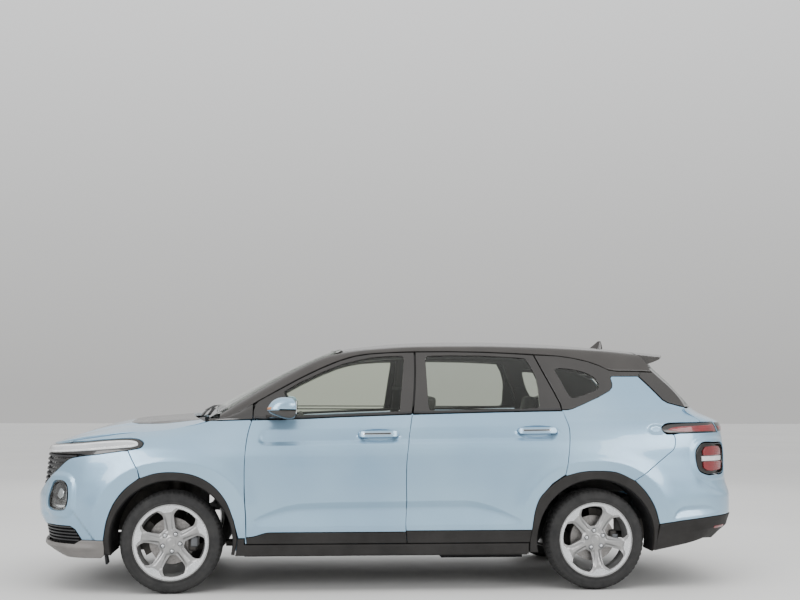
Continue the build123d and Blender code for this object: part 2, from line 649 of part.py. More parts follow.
STEER_R = 182.0
with BuildPart() as steering_wheel:
    with BuildSketch(Plane(origin=steer_plane.origin + steer_plane.x_dir * STEER_R, x_dir=steer_plane.x_dir, z_dir=steer_plane.y_dir)):
        Circle(15)
    revolve(axis=Axis(steer_plane.origin, axis_dir), revolution_arc=360)
    with BuildSketch(steer_plane.offset(-22)):
        Circle(62)
    extrude(amount=32)
    with BuildSketch(steer_plane.offset(-12)):
        for u, v, w, h in ((115, 0, 140, 34), (-115, 0, 140, 34), (0, 115, 34, 140)):
            with Locations((u, v)):
                Rectangle(w, h)
    extrude(amount=14)
save(steering_wheel.part, "steering_wheel")

# ---------------------------------------------------------------- seats
# (from front axle, floor height, places as (Y, width))
SEATS = [(1040, 292, [(-385, 480), (385, 480)]), (1900, 292, [(-390, 480), (390, 480)]), (2640, 482, [(0, 1060)])]
with BuildPart() as seats:
    for a, base, places in SEATS:
        rise = 0 if base > 400 else 60
        back = 400 if base > 400 else 500
        for y, w in places:
            with BuildSketch(Plane.XZ.offset(-y - w / 2)):
                with BuildLine():
                    Polyline((X(a), base + 150 + rise), (X(a + 30), base + 290 + rise), (X(a + 470), base + 250 + rise),
                             (X(a + 610), base + 250 + rise + back * 0.75), (X(a + 640), base + 250 + rise + back),
                             (X(a + 700), base + 250 + rise + back), (X(a + 715), base + 600), (X(a + 600), base + 130 + rise),
                             (X(a + 520), base + 90 + rise), (X(a + 500), base), (X(a + 80), base), (X(a + 60), base + 120 + rise), close=True)
                make_face()
            extrude(amount=w)
            heads = (0,) if w < 600 else (-270, 270)
            for h in heads:
                with BuildSketch(Plane.XZ.offset(-y - h - 125)):
                    with BuildLine():
                        Polyline((X(a + 648), base + 240 + rise + back), (X(a + 640), base + 275 + rise + back),
                                 (X(a + 662), base + 440 + rise + back), (X(a + 725), base + 440 + rise + back),
                                 (X(a + 735), base + 290 + rise + back), (X(a + 695), base + 240 + rise + back), close=True)
                    make_face()
                extrude(amount=250)
print("seats", len(seats.part.solids()))
save(seats.part, "seats")

# ---------------------------------------------------------------- sill cladding and jacking rails
with BuildPart() as sill:
    with BuildSketch(Plane.YZ.offset(X(474))):
        with BuildLine():
            Polyline((-700, 236), (-880, 236), (-896, 250), (-900, 302), (-806, 302), (-790, 250), (-700, 250), close=True)
        make_face()
    extrude(amount=1862)
with BuildPart() as sill_cut:
    add(sill.part)
    add(side_final, mode=Mode.SUBTRACT)
    add(floor_main, mode=Mode.SUBTRACT)
    add(fender_main, mode=Mode.SUBTRACT)
save(both_sides(sill_cut.part.solids().sort_by(SortBy.VOLUME)[-1]), "sill_cladding")

# ---------------------------------------------------------------- engine, tank, exhaust
with BuildPart() as engine_block:
    with Locations((X(-130), 0, 620)):
        Box(560, 820, 520)
save(engine_block.part, "engine_block")
with BuildPart() as fuel_tank:
    with Locations((X(2080), -120, 214)):
        Box(560, 900, 72)
save(fuel_tank.part, "fuel_tank")
with BuildPart() as exhaust:
    with BuildLine():
        FilletPolyline((X(300), 60, 214), (X(1600), 60, 214), (X(1860), 400, 214), (X(3330), 400, 214), radius=200)
    with BuildSketch(Plane(origin=(X(300), 60, 214), z_dir=(1, 0, 0))):
        Circle(26)
    sweep()
    with Locations((X(3440), 400, 300)):
        Box(260, 420, 190)
    with Locations((X(3620), 480, 300)):
        Cylinder(radius=28, height=160, rotation=(0, 90, 0))
print("exhaust", exhaust.part.volume / 1e6)
save(exhaust.part, "exhaust")

# ---------------------------------------------------------------- front suspension
with BuildPart() as suspension:
    with Locations((X(-40), 0, 240)):
        Box(520, 700, 44)
    for side in (-1, 1):
        with Locations((X(0), side * (290 + KINGPIN_Y) / 2, 240)):
            Box(110, KINGPIN_Y - 330, 30)
        with Locations((X(0), side * KINGPIN_Y, 240)):
            Cylinder(radius=28, height=32)
        with Locations((X(0), side * (460 + KINGPIN_Y) / 2, 424)):
            Box(90, KINGPIN_Y - 500, 24)
        with Locations((X(0), side * KINGPIN_Y, 424)):
            Cylinder(radius=28, height=26)
        with Locations((X(0), side * 540, 545)):
            Cylinder(radius=55, height=610)
save(suspension.part, "front_suspension")

# ---------------------------------------------------------------- wheel arch liners
with BuildPart() as liners:
    for a, inner in ((0, 462), (WHEELBASE, 640)):
        outer_y = 838
        with BuildSketch(Plane.XZ.offset(inner)):
            with Locations((X(a), AXLE_Z)):
                Circle(ARCH_R - 1)
            with Locations((X(a), AXLE_Z)):
                Circle(ARCH_R - 7, mode=Mode.SUBTRACT)
            with Locations((X(a), AXLE_Z - 300)):
                Rectangle(1000, 520, mode=Mode.SUBTRACT)
        extrude(amount=outer_y - inner)
liner_cut_floor = [floor_main, side_final, fender_main, bumper_main, suspension.part]
with BuildPart() as liners_cut:
    add(liners.part)
    for piece in liner_cut_floor:
        add(piece, mode=Mode.SUBTRACT)
liner_solids = [s for s in liners_cut.part.solids() if s.volume > 3e5]
with BuildPart() as liners_all:
    for s in liner_solids:
        add(s)
        mirror(s, about=Plane.XZ)
print("liners", len(liners_all.part.solids()))
save(liners_all.part, "wheel_arch_liners")

# ---------------------------------------------------------------- rear axle beam
with BuildPart() as rear_axle:
    with Locations((X(2610), 0, 320)):
        Box(90, 1200, 90)
    for side in (-1, 1):
        with Locations((X(2730), side * 590, 320)):
            Box(420, 60, 70)
        with BuildSketch(Plane(origin=(X(WHEELBASE), side * 600, AXLE_Z), x_dir=(1, 0, 0), z_dir=(0, side, 0))):
            Circle(78)
        extrude(amount=150)
        with Locations((X(2700), side * 560, 380)):
            Cylinder(radius=50, height=110)
        with BuildSketch(Plane(origin=(X(WHEELBASE), side * 745, AXLE_Z), x_dir=(1, 0, 0), z_dir=(0, side, 0))):
            with BuildLine():
                a0, a1 = (40, 95)
                ro, ri = 196, 60
                p = [(r * cos(radians(t)), (1 if side < 0 else -1) * r * sin(radians(t))) for r, t in ((ro, a0), (ro, (a0 + a1) / 2), (ro, a1), (ri, a1), (ri, (a0 + a1) / 2), (ri, a0))]
                ThreePointArc(p[0], p[1], p[2])
                Line(p[2], p[3])
                ThreePointArc(p[3], p[4], p[5])
                Line(p[5], p[0])
            make_face()
        extrude(amount=18)
print("rear axle", len(rear_axle.part.solids()))
save(rear_axle.part, "rear_axle_beam")

# ---------------------------------------------------------------- knuckles and wheels
with BuildPart() as knuckle:
    with Locations((X(0), -KINGPIN_Y, AXLE_Z)):
        Cylinder(radius=30, height=140)
    with BuildSketch(Plane(origin=(X(0), -690, AXLE_Z), x_dir=(1, 0, 0), z_dir=(0, -1, 0))):
        Circle(62)
    extrude(amount=70)
    with BuildSketch(Plane(origin=(X(0), -742, AXLE_Z), x_dir=(1, 0, 0), z_dir=(0, -1, 0))):
        with BuildLine():
            p = [(r * cos(radians(t)), r * sin(radians(t))) for r, t in ((196, 140), (196, 175), (196, 210), (50, 210), (50, 175), (50, 140))]
            ThreePointArc(p[0], p[1], p[2])
            Line(p[2], p[3])
            ThreePointArc(p[3], p[4], p[5])
            Line(p[5], p[0])
        make_face()
    extrude(amount=20)
save(knuckle.part, "knuckle_left")
save(mirrored(knuckle.part), "knuckle_right")

HUB_IN, HUB_OUT = 766.0, 872.0
DISC_R, DISC_T = 150.0, 26.0
BARREL = 208.0
# Rim half section: (radius, distance from the centre line of the car)
RIM_SECTION = [(BARREL, 690), (FLANGE_R, 686), (FLANGE_R, 698), (RIM_R, 706), (RIM_R, 872), (FLANGE_R, 882),
               (FLANGE_R, 898), (BARREL, 892)]
TYRE_SECTION = [(RIM_R, 706), (RIM_R + 12, 700), (268, 686), (300, 684), (322, 694), (TYRE_R, 718), (TYRE_R, 868), (322, 890),
                (300, 901), (268, 900), (RIM_R + 14, 884), (RIM_R, 872)]
with BuildPart() as rim:
    with BuildSketch(Plane.YZ.offset(X(0))):
        with BuildLine():
            Polyline(*[(-y, AXLE_Z + r) for r, y in RIM_SECTION], close=True)
        make_face()
    revolve(axis=Axis((X(0), 0, AXLE_Z), (0, 1, 0)), revolution_arc=360)
    with BuildSketch(Plane(origin=(X(0), -846, AXLE_Z), x_dir=(1, 0, 0), z_dir=(0, -1, 0))):
        Circle(BARREL + 4)
        with PolarLocations(0, 5, start_angle=61):
            Polygon((80, -22), (192, -72), (200, 0), (192, 72), (80, 22), align=None, mode=Mode.SUBTRACT)
    extrude(amount=30)
    with BuildSketch(Plane(origin=(X(0), -HUB_IN, AXLE_Z), x_dir=(1, 0, 0), z_dir=(0, -1, 0))):
        Circle(74)
    extrude(amount=HUB_OUT - HUB_IN)
    with BuildSketch(Plane(origin=(X(0), -HUB_IN - 4, AXLE_Z), x_dir=(1, 0, 0), z_dir=(0, -1, 0))):
        Circle(DISC_R)
    extrude(amount=DISC_T)
print("rim", len(rim.part.solids()), rim.part.volume / 1e6)
with BuildPart() as tyre:
    with BuildSketch(Plane.YZ.offset(X(0))):
        with BuildLine():
            Polyline(*[(-y, AXLE_Z + r) for r, y in TYRE_SECTION], close=True)
        make_face()
    revolve(axis=Axis((X(0), 0, AXLE_Z), (0, 1, 0)), revolution_arc=360)
with BuildPart() as tyre_cut:
    add(tyre.part)
    add(rim.part, mode=Mode.SUBTRACT)
for place, dx in (("front", 0.0), ("rear", WHEELBASE)):
    rim_here = rim.part.moved(Location((dx, 0, 0)))
    tyre_here = tyre_cut.part.moved(Location((dx, 0, 0)))
    save(rim_here, "rim_" + place + "_left")
    save(mirrored(rim_here), "rim_" + place + "_right")
    save(tyre_here, "tyre_" + place + "_left")
    save(mirrored(tyre_here), "tyre_" + place + "_right")
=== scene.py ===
import bpy
import math
import numpy as np
from mathutils import Vector, Matrix
from mathutils.geometry import delaunay_2d_cdt


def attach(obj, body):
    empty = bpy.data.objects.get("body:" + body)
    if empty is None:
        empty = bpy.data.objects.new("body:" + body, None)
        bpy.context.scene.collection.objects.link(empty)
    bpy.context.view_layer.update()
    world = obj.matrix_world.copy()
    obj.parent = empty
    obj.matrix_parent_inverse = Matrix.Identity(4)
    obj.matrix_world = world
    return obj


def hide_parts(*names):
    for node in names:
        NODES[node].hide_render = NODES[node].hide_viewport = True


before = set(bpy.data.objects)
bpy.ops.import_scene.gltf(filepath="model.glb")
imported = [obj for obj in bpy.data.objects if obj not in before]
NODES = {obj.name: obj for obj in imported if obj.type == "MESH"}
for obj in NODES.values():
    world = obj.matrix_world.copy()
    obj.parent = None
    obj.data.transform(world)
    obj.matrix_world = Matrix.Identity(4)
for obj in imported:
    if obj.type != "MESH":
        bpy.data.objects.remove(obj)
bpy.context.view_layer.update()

# Lengths along the vehicle are written from the front axle; OX brings them into the row frame.
OX = -1.4655
AXR = 2.8

# ------------------------------------------------------------------ curves


def smooth(a, b, x):
    t = np.clip((np.asarray(x, float) - a) / (b - a), 0, 1)
    return t * t * (3 - 2 * t)


def slopes(xk, yk):
    h = np.diff(xk)
    if yk.ndim > 1:
        h = h[:, None]
    d = np.diff(yk, axis=0) / h
    m = np.zeros_like(yk)
    if len(xk) > 2:
        h1, h2, a, b = h[:-1], h[1:], d[:-1], d[1:]
        den = (2 * h2 + h1) / np.where(a == 0, 1e-12, a) + (h2 + 2 * h1) / np.where(b == 0, 1e-12, b)
        m[1:-1] = np.where(a * b > 0, 3 * (h1 + h2) / den, 0)
    m[0], m[-1] = d[0], d[-1]
    return m


def mono(pts):
    """Curve through (x, y) points that never overshoots them."""
    xk = np.array([p[0] for p in pts], float)
    yk = np.array([p[1] for p in pts], float)
    m = slopes(xk, yk)

    def f(x):
        x = np.asarray(x, float)
        xc = np.clip(x, xk[0], xk[-1])
        k = np.clip(np.searchsorted(xk, xc) - 1, 0, len(xk) - 2)
        h = xk[k + 1] - xk[k]
        t = (xc - xk[k]) / h
        y = (yk[k] * (1 + 2 * t) * (1 - t) ** 2 + m[k] * h * t * (1 - t) ** 2
             + yk[k + 1] * t * t * (3 - 2 * t) + m[k + 1] * h * t * t * (t - 1))
        return y + np.where(x > xk[-1], (x - xk[-1]) * m[-1], 0) + np.where(x < xk[0], (x - xk[0]) * m[0], 0)
    return f


def ramp(t, r):
    """0 below zero, t above it, rounded over r each side."""
    return np.where(t < -r, 0, np.where(t > r, t, (t + r) ** 2 / (4 * r)))


# ------------------------------------------------------------------ plan outline of the body
PLAN = np.array([(-0.962, 0.0), (-0.956, 0.22), (-0.936, 0.42), (-0.895, 0.58), (-0.83, 0.70), (-0.735, 0.79),
                 (-0.60, 0.852), (-0.42, 0.898), (-0.15, 0.926), (0.30, 0.934), (1.0, 0.935), (1.8, 0.936),
                 (2.6, 0.936), (3.0, 0.928), (3.30, 0.905), (3.52, 0.866), (3.67, 0.806), (3.765, 0.72),
                 (3.825, 0.60), (3.862, 0.44), (3.885, 0.24), (3.893, 0.0)])


def sample_plan():
    p = np.vstack([[PLAN[1][0], -PLAN[1][1]], PLAN, [PLAN[-2][0], -PLAN[-2][1]]])
    out = []
    for i in range(1, len(p) - 2):
        p0, p1, p2, p3 = p[i - 1], p[i], p[i + 1], p[i + 2]
        t01, t12, t23 = [max(np.hypot(*(b - a)) ** 0.5, 1e-6) for a, b in ((p0, p1), (p1, p2), (p2, p3))]
        m1 = (p2 - p1) + t12 * ((p1 - p0) / t01 - (p2 - p0) / (t01 + t12))
        m2 = (p2 - p1) + t12 * ((p3 - p2) / t23 - (p3 - p1) / (t12 + t23))
        t = np.linspace(0, 1, 60, endpoint=False)[:, None]
        out.append((2 * t ** 3 - 3 * t ** 2 + 1) * p1 + (t ** 3 - 2 * t ** 2 + t) * m1
                   + (-2 * t ** 3 + 3 * t ** 2) * p2 + (t ** 3 - t ** 2) * m2)
    return np.vstack(out + [p[-2][None]])


PP = sample_plan()
SL = np.concatenate([[0], np.cumsum(np.hypot(*np.diff(PP, axis=0).T))])
STOT = float(SL[-1])
TG = np.gradient(PP, SL, axis=0)
TG /= np.hypot(TG[:, 0], TG[:, 1])[:, None]


def plan(s):
    """Point and outward normal of the plan outline; past either end it goes on round the other half."""
    s = np.asarray(s, float)
    flip = (s < 0) | (s > STOT)
    q = np.where(s < 0, -s, np.where(s > STOT, 2 * STOT - s, s))
    sg = np.where(flip, -1.0, 1.0)
    x = np.interp(q, SL, PP[:, 0])
    y = np.interp(q, SL, PP[:, 1]) * sg
    tx = np.interp(q, SL, TG[:, 0])
    ty = np.interp(q, SL, TG[:, 1])
    n = np.hypot(tx, ty)
    return x, y, -ty / n, tx / n * sg, q


_mid = (PP[:, 0] > -0.95) & (PP[:, 0] < 3.88)


def s_of_x(x):
    return np.interp(x, PP[_mid, 0], SL[_mid])


# ------------------------------------------------------------------ body side below the belt
ZL = np.array([0.18, 0.235, 0.30, 0.36, 0.43, 0.50, 0.60, 0.70, 0.80, 0.88, 0.93, 0.965, 1.00, 1.04, 1.08, 1.12, 1.18])
SEC = [
    (-1.20, [.300, .125, .062, .050, .036, .008, .000, .022, .034, .040, .056, .105, .180, .26, .34, .42, .54]),
    (-0.90, [.290, .120, .062, .050, .034, .006, .001, .022, .034, .041, .058, .105, .180, .26, .34, .42, .54]),
    (-0.74, [.200, .085, .055, .044, .028, .008, .002, .014, .026, .036, .054, .095, .165, .24, .32, .40, .52]),
    (-0.55, [.090, .052, .036, .026, .014, .006, .001, .003, .010, .020, .034, .062, .120, .20, .28, .36, .48]),
    (-0.30, [.070, .046, .030, .020, .010, .004, .000, .000, .003, .010, .020, .036, .068, .145, .23, .31, .43]),
    (0.10, [.064, .044, .028, .020, .010, .005, .001, .000, .001, .004, .011, .022, .040, .078, .135, .20, .30]),
    (0.45, [.060, .042, .030, .022, .008, .005, .002, .000, .000, .003, .009, .018, .032, .052, .078, .110, .165]),
    (1.00, [.060, .042, .030, .022, .008, .005, .002, .000, .000, .003, .009, .017, .030, .045, .062, .083, .118]),
    (2.40, [.060, .042, .030, .022, .008, .005, .002, .000, .000, .003, .009, .017, .030, .045, .062, .083, .116]),
    (2.90, [.060, .042, .030, .022, .008, .004, .001, .000, .002, .007, .014, .021, .030, .042, .057, .078, .112]),
    (3.30, [.070, .046, .034, .026, .010, .003, .000, .002, .008, .015, .021, .027, .034, .044, .058, .080, .116]),
    (3.60, [.110, .070, .050, .034, .014, .003, .001, .012, .024, .030, .034, .038, .043, .050, .062, .088, .140]),
    (3.76, [.190, .110, .062, .042, .022, .004, .003, .026, .038, .040, .043, .047, .052, .058, .070, .104, .180]),
    (4.20, [.260, .140, .072, .044, .030, .002, .003, .036, .043, .041, .043, .047, .053, .058, .072, .108, .190]),
]
_sx = np.array([r[0] for r in SEC])
_so = np.array([r[1] for r in SEC])
_mz = slopes(ZL, _so.T)


def _sec_at(i, z):
    zc = np.clip(z, ZL[0], ZL[-1])
    k = np.clip(np.searchsorted(ZL, zc) - 1, 0, len(ZL) - 2)
    h = ZL[k + 1] - ZL[k]
    t = (zc - ZL[k]) / h
    y = (_so[i, k] * (1 + 2 * t) * (1 - t) ** 2 + _mz[k, i] * h * t * (1 - t) ** 2
         + _so[i, k + 1] * t * t * (3 - 2 * t) + _mz[k + 1, i] * h * t * t * (t - 1))
    return y + (z - zc) * np.where(z > zc, _mz[-1, i], _mz[0, i])


def base_off(x, z):
    x = np.clip(x, _sx[0], _sx[-1])
    j = np.clip(np.searchsorted(_sx, x) - 1, 0, len(_sx) - 2)
    h = _sx[j + 1] - _sx[j]
    t = (x - _sx[j]) / h
    a, b = _sec_at(j, z), _sec_at(j + 1, z)
    jm, jp = np.maximum(j - 1, 0), np.minimum(j + 2, len(_sx) - 1)
    am, bp = _sec_at(jm, z), _sec_at(jp, z)
    d = (b - a) / h
    dm = np.where(j > 0, (a - am) / np.maximum(_sx[j] - _sx[jm], 1e-9), d)
    dp = np.where(j < len(_sx) - 2, (bp - b) / np.maximum(_sx[jp] - _sx[j + 1], 1e-9), d)
    m0 = np.where(dm * d > 0, 2 * dm * d / (dm + d + 1e-15), 0)
    m1 = np.where(dp * d > 0, 2 * dp * d / (dp + d + 1e-15), 0)
    return a * (1 + 2 * t) * (1 - t) ** 2 + m0 * h * t * (1 - t) ** 2 + b * t * t * (3 - 2 * t) + m1 * h * t * t * (t - 1)


def lift(x):
    return 0.016 * (np.clip(x, 0.3, 3.0) - 1.5) * smooth(-0.2, 0.6, x)


def groove(x, z):
    """Long recess under the shoulder, with rounded ends."""
    zl, zu = 0.968 + lift(x), 1.074 + lift(x)
    zm = zl + 0.024
    D = 0.021
    depth = (ramp(z - zl, 0.004) - ramp(z - zm, 0.004)) / 0.024 * D
    depth = depth - (ramp(z - zm, 0.004) - ramp(z - zu, 0.005)) / (zu - zm) * D
    a = np.clip((z - (zl + zu) / 2) / 0.052, -1, 1)
    e = 0.05 * (1 - np.sqrt(np.maximum(1 - a * a, 0)))
    return depth * smooth(0.545 + e, 0.590 + e, x) * (1 - smooth(2.515 - e, 2.560 - e, x))


_zt = mono([(0.50, 0.432), (0.514, 0.451), (0.553, 0.489), (0.598, 0.514), (0.643, 0.533), (0.695, 0.552), (0.760, 0.570),
            (0.825, 0.581), (0.955, 0.588), (1.085, 0.590), (1.50, 0.595), (1.80, 0.599), (1.909, 0.599), (1.976, 0.593),
            (2.042, 0.577), (2.109, 0.556), (2.175, 0.529), (2.242, 0.495), (2.308, 0.462), (2.33, 0.446)])


def scallop(x, z):
    """Hollow along the foot of the doors."""
    zt, zb = _zt(x), 0.428 + 0.008 * (x - 0.5) / 1.8
    H = np.maximum(zt - zb, 0.004)
    D = 0.034 * np.clip(H / 0.16, 0, 1)
    zk = zt - 0.30 * H
    d = (ramp(zt - z, 0.0045) - ramp(zk - z, 0.010)) / (0.30 * H) * D - (ramp(zk - z, 0.010) - ramp(zb - z, 0.0045)) / (0.70 * H) * D
    return d * smooth(0.505, 0.56, x) * (1 - smooth(2.26, 2.325, x))


def flare(x, z):
    """Outward swell that ends in a crease round each wheel opening."""
    out = np.zeros_like(x + z)
    for cx in (0.0, AXR):
        dx, dz = np.abs(x - cx), np.maximum(z - 0.332, 0)
        rho = (dx ** 2.25 + dz ** 2.25 + 1e-9) ** (1 / 2.25)
        t = rho - 0.521
        A = 0.015
        s = smooth(-0.006, 0.006, t)
        inner = A - 0.16 * np.maximum(-t, 0)
        outer = A * np.exp(-(np.maximum(t, 0) / 0.055) ** 1.6)
        out = out + (inner * (1 - s) + outer * s) * np.where(rho < 0.75, 1, 0) * smooth(0.36, 0.60, z)
    return out


def side_off(x, z):
    zz = z - lift(x) * smooth(0.85, 0.95, z)
    return base_off(x, zz) + groove(x, z) + scallop(x, z) - flare(x, z)


def side(s, z, extra=None):
    """Body skin below the belt at arc length s along the plan and height z."""
    s, z = np.broadcast_arrays(np.asarray(s, float), np.asarray(z, float))
    x, y, nx, ny, q = plan(s)
    st = np.where(q < 0.9, x - 0.25 * np.clip(0.9 - q, 0, 1) ** 2,
                  np.where(q > STOT - 0.9, x + 0.35 * np.clip(q - (STOT - 0.9), 0, 1) ** 2, x))
    o = side_off(st, z)
    if extra is not None:
        o = o + extra(q, x, z)
    return np.stack([x - nx * o, y - ny * o, z], -1)


# ------------------------------------------------------------------ upper body
_yb = mono([(0.20, 0.70), (0.30, 0.742), (0.50, 0.782), (0.80, 0.806), (1.20, 0.818), (2.0, 0.820), (2.6, 0.808),
            (3.0, 0.788), (3.3, 0.760), (3.55, 0.726)])


def belt_z(x):
    return np.interp(x, [0.225, 0.506, 0.809, 1.088, 1.488, 1.892, 2.163, 2.435, 2.593, 3.0, 3.5],
                     [1.116, 1.124, 1.131, 1.145, 1.160, 1.172, 1.179, 1.185, 1.188, 1.196, 1.20])


def green(x, z):
    """Side glass and pillars."""
    x, z = np.broadcast_arrays(np.asarray(x, float), np.asarray(z, float))
    t = z - 1.165
    return np.stack([x, _yb(x) - (0.400 + 0.18 * np.clip(t, -0.1, 0.6)) * t, z], -1)


roof_c = mono([(1.00, 1.577), (1.109, 1.609), (1.29, 1.633), (1.40, 1.646), (1.545, 1.658), (1.70, 1.665), (1.90, 1.670),
               (2.13, 1.671), (2.43, 1.665), (2.58, 1.658), (2.87, 1.639), (3.02, 1.628), (3.17, 1.613), (3.32, 1.598),
               (3.44, 1.581), (3.52, 1.566)])
roof_e = mono([(1.00, 1.523), (1.093, 1.549), (1.30, 1.587), (1.65, 1.610), (2.05, 1.614), (2.50, 1.606), (2.90, 1.590),
               (3.17, 1.566), (3.5, 1.530)])
roof_w = mono([(1.00, 0.553), (1.093, 0.562), (1.30, 0.577), (1.65, 0.584), (2.05, 0.585), (2.50, 0.584), (2.90, 0.578),
               (3.17, 0.566), (3.5, 0.545)])
drip = mono([(0.300, 1.118), (0.360, 1.138), (0.420, 1.171), (0.553, 1.251), (0.687, 1.325), (0.821, 1.399), (0.957, 1.466), (1.092, 1.523),
             (1.194, 1.554), (1.296, 1.571), (1.433, 1.581), (1.611, 1.588), (1.845, 1.590), (2.053, 1.588), (2.261, 1.581),
             (2.470, 1.570), (2.610, 1.561), (2.78, 1.546), (3.0, 1.520), (3.25, 1.483)])


def roof(x, y):
    x, y = np.broadcast_arrays(np.asarray(x, float), np.asarray(y, float))
    c, e, w = roof_c(x), roof_e(x), roof_w(x)
    t = np.abs(y) / w
    return np.stack([x, y, c - (c - e) * (0.55 * t ** 2 + 0.45 * t ** 4)], -1)


WSC = np.array([(0.150, 1.149), (0.283, 1.219), (0.425, 1.297), (0.568, 1.374), (0.748, 1.464), (0.892, 1.529), (1.037, 1.586),
                (1.106, 1.609)])
_wsl = np.concatenate([[0], np.cumsum(np.hypot(*np.diff(WSC, axis=0).T))])
WS_L = float(_wsl[-1])
_wx = mono(list(zip(_wsl, WSC[:, 0])))
_wz = mono(list(zip(_wsl, WSC[:, 1])))


def screen(t, y):
    """Windshield: t metres up its centre line, y across."""
    t, y = np.broadcast_arrays(np.asarray(t, float), np.asarray(y, float))
    x, z = _wx(t), _wz(t)
    dx, dz = _wx(t + 1e-3) - x, _wz(t + 1e-3) - z
    l = np.hypot(dx, dz)
    drop = np.interp(t, [0, 0.5, WS_L], [0.062, 0.043, 0.028]) * (np.abs(y) / 0.70) ** 2.1
    return np.stack([x + dz / l * drop, y, z - dx / l * drop], -1)


hood_c = mono([(-0.905, 0.915), (-0.889, 0.943), (-0.86, 0.957), (-0.82, 0.972), (-0.751, 0.996), (-0.682, 1.020), (-0.612, 1.044),
               (-0.543, 1.066), (-0.473, 1.086), (-0.403, 1.102), (-0.333, 1.115), (-0.263, 1.125), (-0.193, 1.131),
               (-0.123, 1.136), (-0.052, 1.141), (0.018, 1.147), (0.08, 1.152), (0.25, 1.168)])
hood_drop = mono([(-0.905, 0.006), (-0.86, 0.010), (-0.80, 0.020), (-0.70, 0.036), (-0.60, 0.052), (-0.488, 0.069), (-0.36, 0.079),
                  (-0.16, 0.090), (0.10, 0.070), (0.228, 0.052)])


def hood(x, y):
    x, y = np.broadcast_arrays(np.asarray(x, float), np.asarray(y, float))
    ye = np.interp(x, [-0.9, -0.86, -0.80, -0.72, -0.62, -0.50, -0.3, 0.3], [0.42, 0.55, 0.655, 0.722, 0.762, 0.777, 0.780, 0.780])
    t = np.abs(y) / ye
    z = hood_c(x) - hood_drop(x) * (0.62 * t ** 2 + 0.38 * t ** 4)
    # two soft creases that run back from the nose
    c = 0.50 + 0.09 * smooth(-0.85, 0.2, x)
    z = z + 0.006 * smooth(-0.84, -0.55, x) * (1 - smooth(-0.05, 0.15, x)) * (
        smooth(c - 0.17, c - 0.01, np.abs(y)) - smooth(c - 0.01, c + 0.045, np.abs(y)))
    return np.stack([x, y, z], -1)


# ------------------------------------------------------------------ mesh tools


def normals_of(S, uv, h=4e-4):
    a = S(uv[:, 0] + h, uv[:, 1]) - S(uv[:, 0] - h, uv[:, 1])
    b = S(uv[:, 0], uv[:, 1] + h) - S(uv[:, 0], uv[:, 1] - h)
    n = np.cross(a, b)
    return n / np.maximum(np.linalg.norm(n, axis=1), 1e-12)[:, None]


def inside(poly, pts):
    """Even-odd test of many points against one polygon."""
    x, y = pts[:, 0], pts[:, 1]
    c = np.zeros(len(pts), bool)
    n = len(poly)
    j = n - 1
    for i in range(n):
        xi, yi = poly[i]
        xj, yj = poly[j]
        if yi != yj:
            cond = ((yi > y) != (yj > y)) & (x < (xj - xi) * (y - yi) / (yj - yi) + xi)
            c ^= cond
        j = i
    return c


def dist_to(poly, pts):
    d = np.full(len(pts), 1e9)
    q = np.asarray(poly)
    for a, b in zip(q, np.roll(q, -1, axis=0)):
        ab = b - a
        L = max(float(ab @ ab), 1e-16)
        t = np.clip(((pts - a) @ ab) / L, 0, 1)
        d = np.minimum(d, np.hypot(*(pts - a - t[:, None] * ab).T))
    return d


def area2(poly):
    q = np.asarray(poly)
    r = np.roll(q, -1, axis=0)
    return 0.5 * float(np.sum(q[:, 0] * r[:, 1] - r[:, 0] * q[:, 1]))


def resample(poly, step):
    q = np.asarray(poly, float)
    out = []
    for a, b in zip(q, np.roll(q, -1, axis=0)):
        n = max(1, int(math.ceil(np.hypot(*(b - a)) / step)))
        out.append(a + (b - a) * np.linspace(0, 1, n, endpoint=False)[:, None])
    return np.vstack(out)


def shrink(poly, d):
    """Moves a counter-clockwise outline inwards by d."""
    q = np.asarray(poly, float)
    e = np.roll(q, -1, axis=0) - q
    e /= np.maximum(np.hypot(e[:, 0], e[:, 1]), 1e-12)[:, None]
    n = np.stack([-e[:, 1], e[:, 0]], 1)
    p = np.roll(n, 1, axis=0)
    m = n + p
    k = 1 + np.sum(n * p, axis=1)
    return q + d * m / np.maximum(k, 0.35)[:, None]


def rounded(poly, r, seg=5):
    """Polygon with each corner rounded; r is one radius or one for each corner."""
    q = [np.array(p, float) for p in poly]
    n = len(q)
    rs = [r] * n if np.isscalar(r) else list(r)
    out = []
    for i in range(n):
        a, b, c = q[i - 1], q[i], q[(i + 1) % n]
        u, v = a - b, c - b
        lu, lv = np.hypot(*u), np.hypot(*v)
        u, v = u / lu, v / lv
        cosA = float(np.clip(u @ v, -1, 1))
        half = math.acos(cosA) / 2
        if half > 1.50 or rs[i] <= 0:
            out.append(b)
            continue
        d = min(rs[i] / math.tan(half), 0.45 * lu, 0.45 * lv)
        for k in range(seg + 1):
            t = k / seg
            out.append((b + u * d) * (1 - t) ** 2 + b * 2 * t * (1 - t) + (b + v * d) * t * t)
    return np.array(out)


